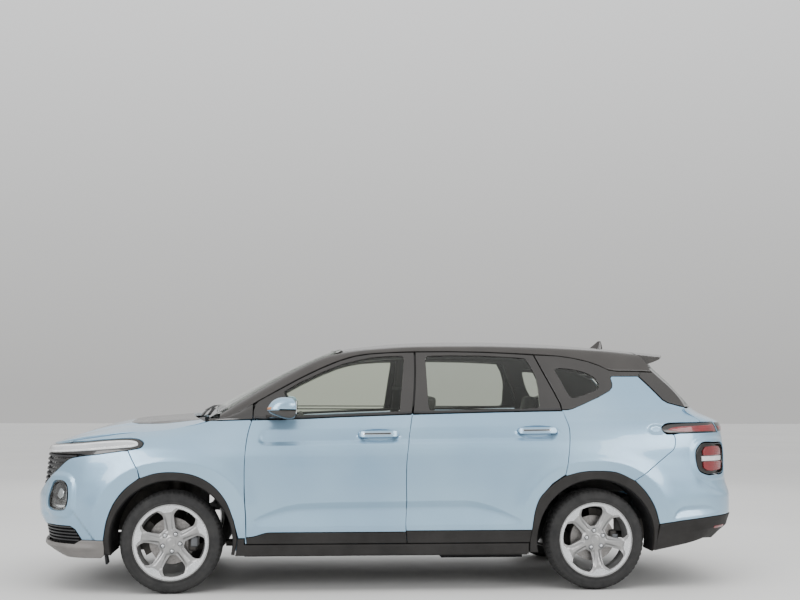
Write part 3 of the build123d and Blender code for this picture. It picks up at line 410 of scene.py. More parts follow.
def soft_line(pts, step=0.012, closed=False):
    """Points along a smooth curve through pts."""
    p = np.asarray(pts, float)
    p = np.vstack([p[-1], p, p[0], p[1]]) if closed else np.vstack([2 * p[0] - p[1], p, 2 * p[-1] - p[-2]])
    out = []
    for i in range(1, len(p) - 2):
        p0, p1, p2, p3 = p[i - 1], p[i], p[i + 1], p[i + 2]
        t01, t12, t23 = [max(np.linalg.norm(b - a) ** 0.5, 1e-6) for a, b in ((p0, p1), (p1, p2), (p2, p3))]
        m1 = (p2 - p1) + t12 * ((p1 - p0) / t01 - (p2 - p0) / (t01 + t12))
        m2 = (p2 - p1) + t12 * ((p3 - p2) / t23 - (p3 - p1) / (t12 + t23))
        n = max(1, int(math.ceil(np.linalg.norm(p2 - p1) / step)))
        t = np.linspace(0, 1, n, endpoint=False)[:, None]
        out.append((2 * t ** 3 - 3 * t ** 2 + 1) * p1 + (t ** 3 - 2 * t ** 2 + t) * m1
                   + (-2 * t ** 3 + 3 * t ** 2) * p2 + (t ** 3 - t ** 2) * m2)
    if not closed:
        out.append(p[-2][None])
    return np.vstack(out)


def triangulate(loops, grid, margin):
    """Delaunay mesh of the region inside loops[0] and outside the others, with inner points on a grid."""
    outer = loops[0]
    lo, hi = outer.min(0), outer.max(0)
    gx = np.arange(lo[0] + grid[0] * 0.37, hi[0], grid[0])
    gy = np.arange(lo[1] + grid[1] * 0.41, hi[1], grid[1])
    P = np.stack(np.meshgrid(gx, gy), -1).reshape(-1, 2)
    if len(P):
        ok = inside(outer, P)
        P = P[ok]
        for h in loops[1:]:
            P = P[~inside(h, P)]
        for h in loops:
            if len(P):
                P = P[dist_to(h, P) > margin]
    ring = np.vstack(loops)
    pts = np.vstack([ring, P]) if len(P) else ring
    edges = []
    k = 0
    for h in loops:
        n = len(h)
        edges += [(k + i, k + (i + 1) % n) for i in range(n)]
        k += n
    sc = 100.0
    v, e, f, ov, oe, of_ = delaunay_2d_cdt([Vector((float(a) * sc, float(b) * sc)) for a, b in pts], edges, [], 0, 1e-7, True)
    V = np.array([(p.x / sc, p.y / sc) for p in v])
    F = np.array([(t[0], t[i], t[i + 1]) for t in f for i in range(1, len(t) - 1)], int)
    c = V[F].mean(1)
    ok = inside(outer, c)
    for h in loops[1:]:
        ok &= ~inside(h, c)
    F = F[ok]
    a = V[F]
    cr = (a[:, 1, 0] - a[:, 0, 0]) * (a[:, 2, 1] - a[:, 0, 1]) - (a[:, 1, 1] - a[:, 0, 1]) * (a[:, 2, 0] - a[:, 0, 0])
    F = F[np.abs(cr) > 1e-12]
    cr = cr[np.abs(cr) > 1e-12]
    F[cr < 0] = F[cr < 0][:, ::-1]
    # which output vertex is each input ring vertex
    idx = np.full(len(pts), -1, int)
    for i, o in enumerate(ov):
        for k2 in o:
            idx[k2] = i
    return V, F, idx


def make_mesh(name, V, F, smooth_shade=True, N=None, sharp=None):
    me = bpy.data.meshes.new(name)
    me.from_pydata([tuple(p) for p in np.asarray(V, float)], [], [tuple(int(i) for i in f) for f in F])
    me.update()
    if smooth_shade:
        me.polygons.foreach_set("use_smooth", [True] * len(me.polygons))
    if N is not None:
        me.normals_split_custom_set_from_vertices([tuple(n) for n in N])
    elif sharp is not None:
        me.set_sharp_from_angle(angle=math.radians(sharp))
    ob = bpy.data.objects.new(name, me)
    bpy.context.scene.collection.objects.link(ob)
    return ob


PIECES = {}


def finish_piece(ob, mat, body="body_shell", replaces=()):
    if mat is not None:
        ob.data.materials.clear()
        ob.data.materials.append(mat)
    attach(ob, body)
    if replaces:
        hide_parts(*replaces)
    PIECES[ob.name] = ob
    return ob


def slab(name, outline, S, mat, body="body_shell", holes=(), gap=0.002, r=0.0025, thick=0.016, grid=(0.012, 0.008), step=0.010,
         back_grid=0.05, side_y=-1, slot=None, replaces=(), proud=0.0, S_back=None, both=False, frame_x=True, flip=False):
    """Closed panel on surface S with rounded edges. The outline is the shut line; gap is what it stands back from it.
    side_y -1 puts it on the left (-Y), +1 on the right; both makes one piece with two halves."""
    outer = np.asarray(outline, float)
    if area2(outer) < 0:
        outer = outer[::-1]
    loops0 = [resample(outer, step)]
    for h in holes:
        q = np.asarray(h, float)
        if area2(q) > 0:
            q = q[::-1]
        loops0.append(resample(q, step))

    def at(d):
        return [shrink(l, d) for l in loops0]
    L0 = at(gap + r)
    V2, F, idx = triangulate(L0, grid, min(grid) * 0.55)
    nr = sum(len(l) for l in L0)
    P = S(V2[:, 0], V2[:, 1])
    N = normals_of(S, V2)
    sgn = -1.0 if flip else 1.0
    # orient the outward normal
    N *= sgn
    P = P + N * proud
    verts = [P]
    norms = [N]
    faces = []
    fw = F[:, ::-1] if flip else F
    faces.append(fw)
    n0 = len(P)
    ringv = idx[:nr].copy()
    prev = ringv
    total = n0
    rings = []
    for ph in (30, 60, 90):
        a = math.radians(ph)
        q = np.vstack(at(gap + r * (1 - math.sin(a))))
        base = S(q[:, 0], q[:, 1])
        n = normals_of(S, q) * sgn
        pr = np.vstack(at(gap + r + 0.004))
        inward = S(pr[:, 0], pr[:, 1]) - base
        inward -= n * np.sum(inward * n, axis=1)[:, None]
        inward /= np.maximum(np.linalg.norm(inward, axis=1), 1e-12)[:, None]
        rings.append((base + n * (proud - r * (1 - math.cos(a))), n * math.cos(a) - inward * math.sin(a)))
    base, n, inward = rings[-1][0], normals_of(S, np.vstack(at(gap))) * sgn, -rings[-1][1]
    if S_back is None:
        low = base - n * (thick - r)
    else:
        q = np.vstack(at(gap))
        low = S_back(q[:, 0], q[:, 1])
    rings.append((low, -inward))
    rings.append((low, -n))
    starts = np.concatenate([[0], np.cumsum([len(l) for l in L0])])
    nxt = np.concatenate([np.roll(np.arange(a, b), -1) for a, b in zip(starts[:-1], starts[1:])])
    for k, (p, nn) in enumerate(rings):
        cur = np.arange(total, total + nr)
        verts.append(p)
        norms.append(nn)
        if k < 4:
            a, b = prev, cur
            q = np.stack([a, b, b[nxt], a[nxt]], 1)
            if flip:
                q = q[:, ::-1]
            faces.append(q)
        prev = cur
        total += nr
    # back
    L4 = at(gap)
    Vb, Fb, ib = triangulate(L4, (back_grid, back_grid), back_grid * 0.5)
    if S_back is None:
        Pb = S(Vb[:, 0], Vb[:, 1]) + normals_of(S, Vb) * sgn * (proud - thick)
    else:
        Pb = S_back(Vb[:, 0], Vb[:, 1])
    Nb = -normals_of(S, Vb) * sgn
    mp = np.arange(total, total + len(Vb))
    ringb = np.arange(total - nr, total)
    mp2 = mp.copy()
    mp2[ib[:nr]] = ringb
    verts.append(Pb)
    norms.append(Nb)
    fb = mp2[Fb]
    fb = fb if flip else fb[:, ::-1]
    faces.append(fb)
    V = np.vstack(verts)
    NN = np.vstack(norms)
    FF = [tuple(f) for block in faces for f in block]
    # drop unused vertices
    used = np.zeros(len(V), bool)
    for f in FF:
        for i in f:
            used[i] = True
    re = np.cumsum(used) - 1
    V, NN = V[used], NN[used]
    FF = [tuple(int(re[i]) for i in f) for f in FF]
    V = V + np.array([OX, 0, 0])

    def build(nm, sy, bd):
        v, nn, ff = V.copy(), NN.copy(), FF
        if sy < 0:
            v[:, 1] *= -1
            nn[:, 1] *= -1
            ff = [f[::-1] for f in FF]
        return v, nn, ff
    if both:
        v1, n1, f1 = build(name, -1, body)
        v2, n2, f2 = build(name, 1, body)
        k = len(v1)
        ob = make_mesh(name, np.vstack([v1, v2]), f1 + [tuple(i + k for i in f) for f in f2], N=np.vstack([n1, n2]))
    else:
        v, nn, ff = build(name, side_y, body)
        ob = make_mesh(name, v, ff, N=nn)
    return finish_piece(ob, mat, body, replaces)


def pair(name, outline, S, mat, bodies, replaces=None, **kw):
    """The same panel on both sides, each riding on its own body."""
    for side_name, sy, bd in (("left", -1, bodies[0]), ("right", 1, bodies[1])):
        slab(name + "_" + side_name, outline, S, mat, body=bd, side_y=sy,
             replaces=[n + "_" + side_name for n in (replaces or ())], **kw)

# ------------------------------------------------------------------ materials


class Mat:
    """Small helper for node materials."""

    def __init__(self, name):
        self.m = bpy.data.materials.new(name)
        self.m.use_nodes = True
        self.nt = self.m.node_tree
        self.b = self.nt.nodes["Principled BSDF"]

    def node(self, kind, **props):
        n = self.nt.nodes.new(kind)
        for k, v in props.items():
            if k.startswith("in_"):
                key = k[3:]
                n.inputs[int(key) if key.isdigit() else key.replace("_", " ")].default_value = v
            else:
                setattr(n, k, v)
        return n

    def link(self, a, b):
        self.nt.links.new(a, b)

    def coords(self):
        if not hasattr(self, "tc"):
            self.tc = self.node("ShaderNodeTexCoord")
        return self.tc.outputs["Object"]

    def noise(self, scale, detail=3.0, rough=0.55, vec=None):
        n = self.node("ShaderNodeTexNoise")
        n.inputs["Scale"].default_value = scale
        n.inputs["Detail"].default_value = detail
        n.inputs["Roughness"].default_value = rough
        self.link(vec or self.coords(), n.inputs["Vector"])
        return n.outputs["Fac"]

    def ramp(self, fac, stops):
        r = self.node("ShaderNodeValToRGB")
        cr = r.color_ramp
        while len(cr.elements) < len(stops):
            cr.elements.new(0.5)
        for e, (p, c) in zip(cr.elements, stops):
            e.position = p
            e.color = (*c, 1) if len(c) == 3 else c
        self.link(fac, r.inputs["Fac"])
        return r.outputs["Color"]

    def rough(self, fac, lo, hi, a=0.3, b=0.7):
        r = self.node("ShaderNodeMapRange")
        r.inputs["From Min"].default_value = a
        r.inputs["From Max"].default_value = b
        r.inputs["To Min"].default_value = lo
        r.inputs["To Max"].default_value = hi
        self.link(fac, r.inputs["Value"])
        self.link(r.outputs["Result"], self.b.inputs["Roughness"])
        return r

    def bump(self, height, strength, dist=0.001, base=None):
        n = self.node("ShaderNodeBump")
        n.inputs["Strength"].default_value = strength
        n.inputs["Distance"].default_value = dist
        self.link(height, n.inputs["Height"])
        if base is not None:
            self.link(base, n.inputs["Normal"])
        self.link(n.outputs["Normal"], self.b.inputs["Normal"])
        return n.outputs["Normal"]

    def set(self, **kw):
        for k, v in kw.items():
            key = k.replace("_", " ")
            s = self.b.inputs[key]
            if key in ("Base Color", "Coat Tint", "Sheen Tint", "Emission Color", "Specular Tint"):
                v = (*v, 1)
            s.default_value = v
        return self


def hexc(h):
    h = h.lstrip("#")
    c = [int(h[i:i + 2], 16) / 255 for i in (0, 2, 4)]
    return tuple(x / 12.92 if x <= 0.04045 else ((x + 0.055) / 1.055) ** 2.4 for x in c)


def paint_material(name, c_lo, c_hi, rough=0.30, metallic=0.55):
    """Metallic lacquer: fine flake under a clear coat, a little mottling, faint orange peel."""
    m = Mat(name)
    big = m.noise(1.4, 2.0)
    flake = m.noise(90.0, 2.0, 0.5)
    mix = m.node("ShaderNodeMath", operation="MULTIPLY_ADD")
    m.link(flake, mix.inputs[0])
    mix.inputs[1].default_value = 0.10
    m.link(big, mix.inputs[2])
    m.link(m.ramp(mix.outputs[0], [(0.35, c_lo), (0.85, c_hi)]), m.b.inputs["Base Color"])
    m.set(Metallic=metallic, Coat_Weight=1.0, Coat_Roughness=0.035)
    m.rough(m.noise(35.0, 3.0), rough - 0.03, rough + 0.04)
    m.bump(m.noise(55.0, 1.0), 0.010, 0.0006)
    return m.m


def plastic_material(name, c_lo, c_hi, rough=0.55, grain=900.0, strength=0.25, spec=0.5):
    m = Mat(name)
    m.link(m.ramp(m.noise(6.0, 4.0, 0.6), [(0.3, c_lo), (0.7, c_hi)]), m.b.inputs["Base Color"])
    v = m.node("ShaderNodeTexVoronoi")
    v.inputs["Scale"].default_value = grain
    m.link(m.coords(), v.inputs["Vector"])
    m.bump(v.outputs["Distance"], strength, 0.0006)
    m.rough(m.noise(18.0, 4.0), rough - 0.06, rough + 0.08)
    m.set(Specular_IOR_Level=spec)
    return m.m


def gloss_material(name, c_lo, c_hi, rough=0.10, coat=1.0):
    m = Mat(name)
    m.link(m.ramp(m.noise(3.0, 3.0), [(0.3, c_lo), (0.7, c_hi)]), m.b.inputs["Base Color"])
    m.rough(m.noise(22.0, 4.0), rough, rough + 0.06)
    m.set(Coat_Weight=coat, Coat_Roughness=0.03)
    m.bump(m.noise(55.0, 1.0), 0.008, 0.0006)
    return m.m


def metal_material(name, c_lo, c_hi, rough=0.3, metallic=1.0, scale=40.0, strength=0.1):
    m = Mat(name)
    m.link(m.ramp(m.noise(scale * 0.3, 4.0), [(0.3, c_lo), (0.7, c_hi)]), m.b.inputs["Base Color"])
    m.rough(m.noise(scale, 4.0), rough - 0.06, rough + 0.10)
    m.set(Metallic=metallic)
    m.bump(m.noise(scale * 8, 3.0), strength, 0.0006)
    return m.m


M = {}
M["paint"] = paint_material("paint_sky_blue", hexc("#86A9C4"), hexc("#9ABBD2"), rough=0.32, metallic=0.55)
# darker copy of the body blue for the panels under the hood and in the bay: painted shade
M["inner_paint_shaded"] = paint_material("inner_blue_painted_shade", hexc("#54748F"), hexc("#618199"), rough=0.42, metallic=0.30)
M["roof"] = gloss_material("lacquer_black_roof", (0.024, 0.0215, 0.020), (0.034, 0.031, 0.0285), 0.20, 0.35)
M["gloss"] = gloss_material("gloss_black", (0.016, 0.0145, 0.0135), (0.024, 0.022, 0.0205), 0.10, 0.55)
M["clad"] = plastic_material("cladding_grained", (0.013, 0.012, 0.0115), (0.022, 0.0205, 0.0195), 0.62, 500.0, 0.25, 0.3)
# light grey raised to the tone of the lip's lit top: part own grey plastic, part painted highlight
M["clad_soft"] = plastic_material("lip_satin_grey", (0.150, 0.142, 0.135), (0.190, 0.180, 0.172), 0.45, 500.0, 0.12, 0.4)
M["dark"] = plastic_material("under_black", (0.008, 0.008, 0.009), (0.016, 0.016, 0.017), 0.75, 400.0, 0.3, 0.3)
M["trim"] = plastic_material("trim_black", (0.012, 0.012, 0.013), (0.020, 0.020, 0.021), 0.42, 1200.0, 0.15)
M["rubber"] = plastic_material("rubber_seal", (0.010, 0.010, 0.010), (0.018, 0.018, 0.018), 0.65, 500.0, 0.1, 0.3)
M["inner"] = plastic_material("interior_trim", (0.045, 0.043, 0.041), (0.062, 0.060, 0.057), 0.58, 1000.0, 0.3, 0.35)
M["inner_dark"] = plastic_material("interior_dark", (0.018, 0.018, 0.018), (0.028, 0.027, 0.027), 0.52, 1000.0, 0.3, 0.35)
M["chrome"] = metal_material("bright_trim", (0.55, 0.57, 0.60), (0.66, 0.68, 0.70), 0.14, 1.0, 30.0, 0.03)
M["machined"] = metal_material("machined_alloy", (0.60, 0.62, 0.64), (0.74, 0.75, 0.77), 0.24, 0.92, 60.0, 0.06)
M["alloy_dark"] = metal_material("alloy_grey", (0.105, 0.110, 0.117), (0.150, 0.156, 0.165), 0.36, 0.75, 50.0, 0.06)
M["steel"] = metal_material("steel_worn", (0.20, 0.20, 0.20), (0.34, 0.33, 0.32), 0.38, 1.0, 60.0, 0.15)
M["cast"] = metal_material("cast_iron", (0.050, 0.048, 0.046), (0.095, 0.088, 0.080), 0.62, 0.7, 45.0, 0.5)
M["body_struct"] = metal_material("primed_steel", (0.090, 0.10, 0.112), (0.14, 0.152, 0.165), 0.42, 0.3, 30.0, 0.12)


def two_tone_material(name, low, high, z_cut):
    """Painted structure: a darker copy of the body colour below z_cut, painted shade on the inner faces of the
    openings, black above it, where the window frames close on it.
    """
    m = Mat(name)
    sep = m.node("ShaderNodeSeparateXYZ")
    m.link(m.coords(), sep.inputs[0])
    t = m.node("ShaderNodeMapRange")
    t.inputs["From Min"].default_value = z_cut - 0.004
    t.inputs["From Max"].default_value = z_cut + 0.004
    m.link(sep.outputs["Z"], t.inputs["Value"])
    r = m.ramp(t.outputs["Result"], [(0.0, low), (1.0, high)])
    n = m.ramp(m.noise(2.0, 3.0), [(0.3, (0.90, 0.90, 0.90)), (0.7, (1, 1, 1))])
    mx = m.node("ShaderNodeMix", data_type="RGBA", blend_type="MULTIPLY")
    mx.inputs["Factor"].default_value = 1.0
    m.link(r, mx.inputs["A"])
    m.link(n, mx.inputs["B"])
    m.link(mx.outputs["Result"], m.b.inputs["Base Color"])
    m.rough(m.noise(35.0, 3.0), 0.38, 0.48)
    m.set(Metallic=0.25, Coat_Weight=0.4, Coat_Roughness=0.1)
    m.bump(m.noise(60.0, 2.0), 0.02, 0.0006)
    return m.m


def fabric_material(name, c_lo, c_hi):
    m = Mat(name)
    w = m.node("ShaderNodeTexWave", wave_type="BANDS", bands_direction="Y")
    w.inputs["Scale"].default_value = 260.0
    w.inputs["Distortion"].default_value = 1.5
    m.link(m.coords(), w.inputs["Vector"])
    n = m.noise(700.0, 2.0)
    mx = m.node("ShaderNodeMath", operation="ADD")
    m.link(w.outputs["Fac"], mx.inputs[0])
    m.link(n, mx.inputs[1])
    m.link(m.ramp(m.noise(9.0, 4.0), [(0.3, c_lo), (0.7, c_hi)]), m.b.inputs["Base Color"])
    m.bump(mx.outputs[0], 0.35, 0.0012)
    m.set(Roughness=0.85, Sheen_Weight=0.25, Sheen_Roughness=0.4)
    return m.m


# darker body blue below the cut is painted shade on the inner faces; the black above it is real two-tone
M["frame_shaded_two_tone"] = two_tone_material("frame_shaded_two_tone", hexc("#6585A0"), (0.012, 0.0115, 0.011), 1.150)
M["fabric"] = fabric_material("seat_fabric", (0.050, 0.049, 0.048), (0.085, 0.083, 0.080))
M["fabric_side"] = fabric_material("seat_bolster", (0.028, 0.027, 0.027), (0.044, 0.043, 0.042))
M["leather"] = plastic_material("wrapped_leather", (0.020, 0.019, 0.019), (0.032, 0.031, 0.030), 0.46, 1400.0, 0.35, 0.45)
M["lining"] = fabric_material("head_lining_cloth", (0.30, 0.295, 0.285), (0.36, 0.355, 0.345))
M["mirror"] = metal_material("mirror_silver", (0.78, 0.80, 0.82), (0.82, 0.84, 0.86), 0.06, 1.0, 10.0, 0.0)
M["carpet"] = fabric_material("floor_carpet", (0.018, 0.018, 0.018), (0.034, 0.033, 0.032))


def glass_material(name, tint, rough=0.0, density=1.0):
    """Tinted pane: a thin sheet that lets part of the light through, with real gloss."""
    m = Mat(name)
    tr = m.node("ShaderNodeBsdfTransparent")
    tr.inputs["Color"].default_value = (*tint, 1)
    gl = m.node("ShaderNodeBsdfGlossy")
    gl.inputs["Color"].default_value = (1, 1, 1, 1)
    gl.inputs["Roughness"].default_value = 0.03
    fr = m.node("ShaderNodeLayerWeight")
    fr.inputs["Blend"].default_value = 0.10
    mix = m.node("ShaderNodeMixShader")
    m.link(fr.outputs["Facing"], mix.inputs[0])
    m.link(tr.outputs[0], mix.inputs[1])
    m.link(gl.outputs[0], mix.inputs[2])
    out = m.nt.nodes["Material Output"]
    m.link(mix.outputs[0], out.inputs["Surface"])
    m.nt.nodes.remove(m.b)
    return m.m


def clear_material(name, tint, rough=0.02, alpha_tr=0.9, ior=1.49):
    m = Mat(name)
    n = m.noise(60.0, 2.0)
    m.link(m.ramp(n, [(0.3, tint), (0.7, tuple(min(1, c * 1.06) for c in tint))]), m.b.inputs["Base Color"])
    m.set(Transmission_Weight=alpha_tr, Roughness=rough, IOR=ior)
    return m.m


M["glass"] = glass_material("window_glass", (0.925, 0.945, 0.900))
M["glass_rear"] = glass_material("rear_side_glass", (0.890, 0.910, 0.875))
M["glass_screen"] = glass_material("windshield_glass", (0.935, 0.955, 0.935))
M["glass_dark"] = glass_material("privacy_glass", (0.56, 0.59, 0.575))


def lens_material(name, col, rough=0.06, spec=0.6, stripes=None):
    m = Mat(name)
    v = m.noise(25.0, 2.0)
    m.link(m.ramp(v, [(0.35, tuple(c * 0.8 for c in col)), (0.7, col)]), m.b.inputs["Base Color"])
    if stripes:
        w = m.node("ShaderNodeTexWave", wave_type="BANDS", bands_direction=stripes[0])
        w.inputs["Scale"].default_value = stripes[1]
        m.link(m.coords(), w.inputs["Vector"])
        m.bump(w.outputs["Fac"], 0.5, 0.002)
    m.set(Coat_Weight=1.0, Coat_Roughness=0.02)
    m.rough(v, rough, rough + 0.05)
    return m.m


M["red"] = lens_material("lens_red", (0.20, 0.006, 0.010), 0.12, stripes=("Z", 26.0))
M["red_dark"] = lens_material("lens_red_dark", (0.085, 0.004, 0.006), 0.10)
M["amber"] = lens_material("lens_amber", (0.45, 0.16, 0.03), 0.12)
M["white_lens"] = lens_material("lens_white", (0.72, 0.74, 0.75), 0.10, stripes=("X", 22.0))
M["reflector"] = metal_material("lamp_reflector", (0.70, 0.72, 0.74), (0.82, 0.83, 0.85), 0.12, 1.0, 25.0, 0.05)
M["clear"] = glass_material("lamp_cover", (0.955, 0.965, 0.965))


def tyre_material():
    m = Mat("tyre_rubber")
    m.link(m.ramp(m.noise(12.0, 5.0, 0.6), [(0.3, (0.013, 0.013, 0.0135)), (0.75, (0.030, 0.0295, 0.029))]), m.b.inputs["Base Color"])
    m.rough(m.noise(30.0, 4.0), 0.62, 0.82)
    m.bump(m.noise(500.0, 3.0), 0.25, 0.0006)
    m.set(Specular_IOR_Level=0.35)
    return m.m


M["tyre"] = tyre_material()
M["plate"] = plastic_material("blank_plate", (0.62, 0.62, 0.60), (0.70, 0.70, 0.68), 0.45, 300.0, 0.05)

# ------------------------------------------------------------------ outlines on the side skin (arc length, height)


def sx(pts):
    """(x from the front axle, z) -> (arc length, z)."""
    return np.array([(float(s_of_x(a)), b) for a, b in pts])


F_FRONT = [(0.484, 0.318), (0.483, 0.478), (0.475, 0.601), (0.469, 0.745), (0.470, 0.858), (0.482, 1.005), (0.502, 1.095), (0.512, 1.123)]
B_CUT = [(1.577, 1.166), (1.565, 1.106), (1.547, 0.982), (1.531, 0.843), (1.528, 0.713), (1.531, 0.548), (1.526, 0.434), (1.536, 0.318)]
C_CUT = [(2.596, 1.190), (2.613, 1.130), (2.628, 1.071), (2.622, 0.960), (2.607, 0.858), (2.590, 0.766)]
R_ARCH = [(2.500, 0.706), (2.462, 0.664), (2.417, 0.612), (2.387, 0.536), (2.364, 0.395)]
belt_line = [(a, float(belt_z(a)) - 0.004) for a in np.linspace(0.52, 1.575, 14)]
belt_line2 = [(a, float(belt_z(a)) - 0.004) for a in np.linspace(1.583, 2.594, 14)]

front_edge = soft_line(sx(F_FRONT), 0.02)
b_edge = soft_line(sx(B_CUT), 0.02)
c_edge = soft_line(sx(C_CUT), 0.02)
arch_edge = soft_line(sx(R_ARCH), 0.02)



def handle_cups(q, x, z):
    """Shallow bowls under the door handles."""
    out = 0
    for cx, cz in ((1.348, 1.0185), (2.413, 1.0430)):
        u, w = (x - cx) / 0.160, (z - cz) / 0.046
        out = out + 0.012 * (1 - smooth(0.66, 1.0, np.sqrt(u * u + w * w)))
    return out


SIDE = lambda s, z: side(s, z, extra=handle_cups)


def split_loop(loop, zc):
    """Lower and upper part of a loop, cut at height zc."""
    def clip(poly, keep_above):
        out = []
        n = len(poly)
        for i in range(n):
            a, b = poly[i], poly[(i + 1) % n]
            ia, ib = (a[1] > zc) == keep_above, (b[1] > zc) == keep_above
            if ia:
                out.append(a)
            if ia != ib:
                t = (zc - a[1]) / (b[1] - a[1])
                out.append(a + (b - a) * t)
        return np.array(out)
    return clip(loop, False), clip(loop, True)


front_door = np.vstack([front_edge, sx(belt_line), b_edge])
rear_door = np.vstack([b_edge[::-1], sx(belt_line2), c_edge, arch_edge, sx([(2.352, 0.318)])])
clad_drop = lambda s: -0.030 * (1 - smooth(float(s_of_x(0.500)), float(s_of_x(0.640)), s))


def split_line(loop, zc, fn):
    """Like split_loop, along the line z = zc + fn(s)."""
    flat = np.array([(a, b - float(fn(a))) for a, b in loop])
    parts = []
    for part in split_loop(flat, zc):
        out = []
        n = len(part)
        for i in range(n):
            a, b = part[i], part[(i + 1) % n]
            out.append((a[0], a[1] + float(fn(a[0]))))
            if abs(a[1] - zc) < 1e-9 and abs(b[1] - zc) < 1e-9 and abs(a[0] - b[0]) > 0.2:
                for t in np.linspace(0, 1, 61)[1:-1]:
                    q = a[0] + (b[0] - a[0]) * t
                    out.append((q, zc + float(fn(q))))
        parts.append(np.array(out))
    return parts


fd_low, fd_up = split_line(front_door, 0.3935, clad_drop)
rd_low, rd_up = split_loop(rear_door, 0.4005)
GRID = (0.018, 0.0060)
GRID_F = (0.0165, 0.0060)

DB_F = ("front_door_left", "front_door_right")
DB_R = ("rear_door_left", "rear_door_right")
BS = ("body_shell", "body_shell")

pair("door_skin_front", fd_up, SIDE, M["paint"], DB_F, grid=GRID_F, thick=0.016, flip=True, slot="paint")
pair("door_skin_rear", rd_up, SIDE, M["paint"], DB_R, grid=GRID, thick=0.016, flip=True, slot="paint")
pair("door_cladding_front", fd_low, SIDE, M["clad"], DB_F, grid=(0.03, 0.01), thick=0.018, gap=0.0022, r=0.004, proud=0.003, flip=True, slot="cladding")
pair("door_cladding_rear", rd_low, SIDE, M["clad"], DB_R, grid=(0.03, 0.01), thick=0.018, gap=0.0022, r=0.004, proud=0.003, flip=True, slot="cladding")


# ------------------------------------------------------------------ wheel-opening cladding, an annulus round each axle
CLAD_F = [(-0.438, 0.345), (-0.412, 0.471), (-0.366, 0.583), (-0.298, 0.672), (-0.205, 0.745), (-0.100, 0.777), (0.020, 0.784),
          (0.148, 0.763), (0.262, 0.702), (0.350, 0.600), (0.402, 0.478), (0.428, 0.345)]
CLAD_R = [(2.352, 0.338), (2.363, 0.395), (2.387, 0.536), (2.417, 0.612), (2.462, 0.664), (2.586, 0.752), (2.699, 0.781), (2.804, 0.787), (2.935, 0.777),
          (3.060, 0.722), (3.139, 0.640), (3.196, 0.545), (3.230, 0.440)]


def arch_arc(cx, r, z0, z1, n=40, front_first=True):
    a0 = math.asin((z0 - 0.332) / r)
    a1 = math.asin((z1 - 0.332) / r)
    ang = np.linspace(math.pi - a0, a1, n)
    return [(cx + r * math.cos(a), 0.332 + r * math.sin(a)) for a in ang]


ARCH_IN = 0.400
front_ring = np.vstack([soft_line(sx(CLAD_F), 0.015), sx([(0.412, 0.246)]), sx(arch_arc(0.0, ARCH_IN, 0.246, 0.246)[::-1]), sx([(-0.398, 0.246), (-0.432, 0.246)])])
rear_ring = np.vstack([sx([(2.352, 0.250)]), soft_line(sx(CLAD_R), 0.015), sx([(3.222, 0.262), (3.195, 0.252)]), sx(arch_arc(AXR, ARCH_IN, 0.250, 0.252)[::-1])])


def clad_surface(s, z):
    return side(s, z, extra=lambda q, x, zz: -0.004)


pair("arch_cladding_front", front_ring, clad_surface, M["clad"], BS, grid=(0.014, 0.012), thick=0.034, r=0.007, gap=0.001, flip=True, slot="cladding")
pair("arch_cladding_rear", rear_ring, clad_surface, M["clad"], BS, grid=(0.014, 0.012), thick=0.034, r=0.007, gap=0.001, flip=True, slot="cladding")

# sill cladding under the doors
sill = np.vstack([sx([(0.4145, 0.240), (2.348, 0.240), (2.348, 0.3150), (0.4745, 0.3150), (0.4745, 0.354), (0.430, 0.354), (0.424, 0.300)])])
pair("sill_cover", sill, SIDE, M["clad"], BS, grid=(0.05, 0.02), thick=0.060, r=0.008, gap=0.001, proud=0.003, flip=True, slot="cladding")

# ------------------------------------------------------------------ front fender
HOODLINE = [(-0.492, 1.0135), (-0.359, 1.031), (-0.164, 1.048), (0.0, 1.066), (0.097, 1.082), (0.175, 1.099), (0.232, 1.116)]
DRL_TOP = [(-0.222, 0.997), (-0.270, 1.0035), (-0.361, 0.9995), (-0.492, 0.990)]
FENDER_LOW = [(-0.203, 0.752), (-0.219, 0.806), (-0.231, 0.825), (-0.268, 0.888), (-0.284, 0.923)]
DRL_LOOP = [(-0.800, 0.968), (-0.658, 0.974), (-0.507, 0.988), (-0.361, 0.9985), (-0.270, 1.0020), (-0.221, 0.9925), (-0.192, 0.972), (-0.203, 0.948), (-0.239, 0.936),
            (-0.291, 0.926), (-0.409, 0.911), (-0.545, 0.893), (-0.616, 0.883), (-0.683, 0.866)]
OVAL = [(-0.291, 0.925), (-0.239, 0.935), (-0.200, 0.946), (-0.186, 0.972), (-0.214, 0.996), (-0.268, 1.003)]
TONGUE = [(-0.507, 0.9915), (-0.604, 0.9815), (-0.700, 0.9765), (-0.770, 0.9735), (-0.696, 0.986), (-0.604, 0.999)]
# the fender's rear edge gives way a little where the door's edge swings past it
rear_cut = np.array([(a - 0.0018 * float(smooth(0.36, 0.44, b) * (1 - smooth(0.66, 0.74, b))), b) for a, b in front_edge])
fender = np.vstack([
    soft_line(sx(FENDER_LOW), 0.015),
    soft_line(sx([(-0.289, 0.925), (-0.239, 0.934), (-0.199, 0.946), (-0.187, 0.972), (-0.216, 0.995), (-0.268, 1.0045), (-0.361, 1.002), (-0.480, 0.993)]), 0.012),
    sx(TONGUE),
    soft_line(sx(HOODLINE), 0.02),
    sx([(0.300, 1.1165), (0.400, 1.1195), (0.500, 1.1225)]),
    rear_cut[::-1][1:],
    sx([(0.478, 0.357), (0.434, 0.357)]),
    soft_line(sx(CLAD_F[::-1][1:-4]), 0.015),
])
pair("fender_skin", fender, SIDE, M["paint"], BS, grid=GRID, thick=0.018, replaces=("fender",), flip=True, slot="paint")

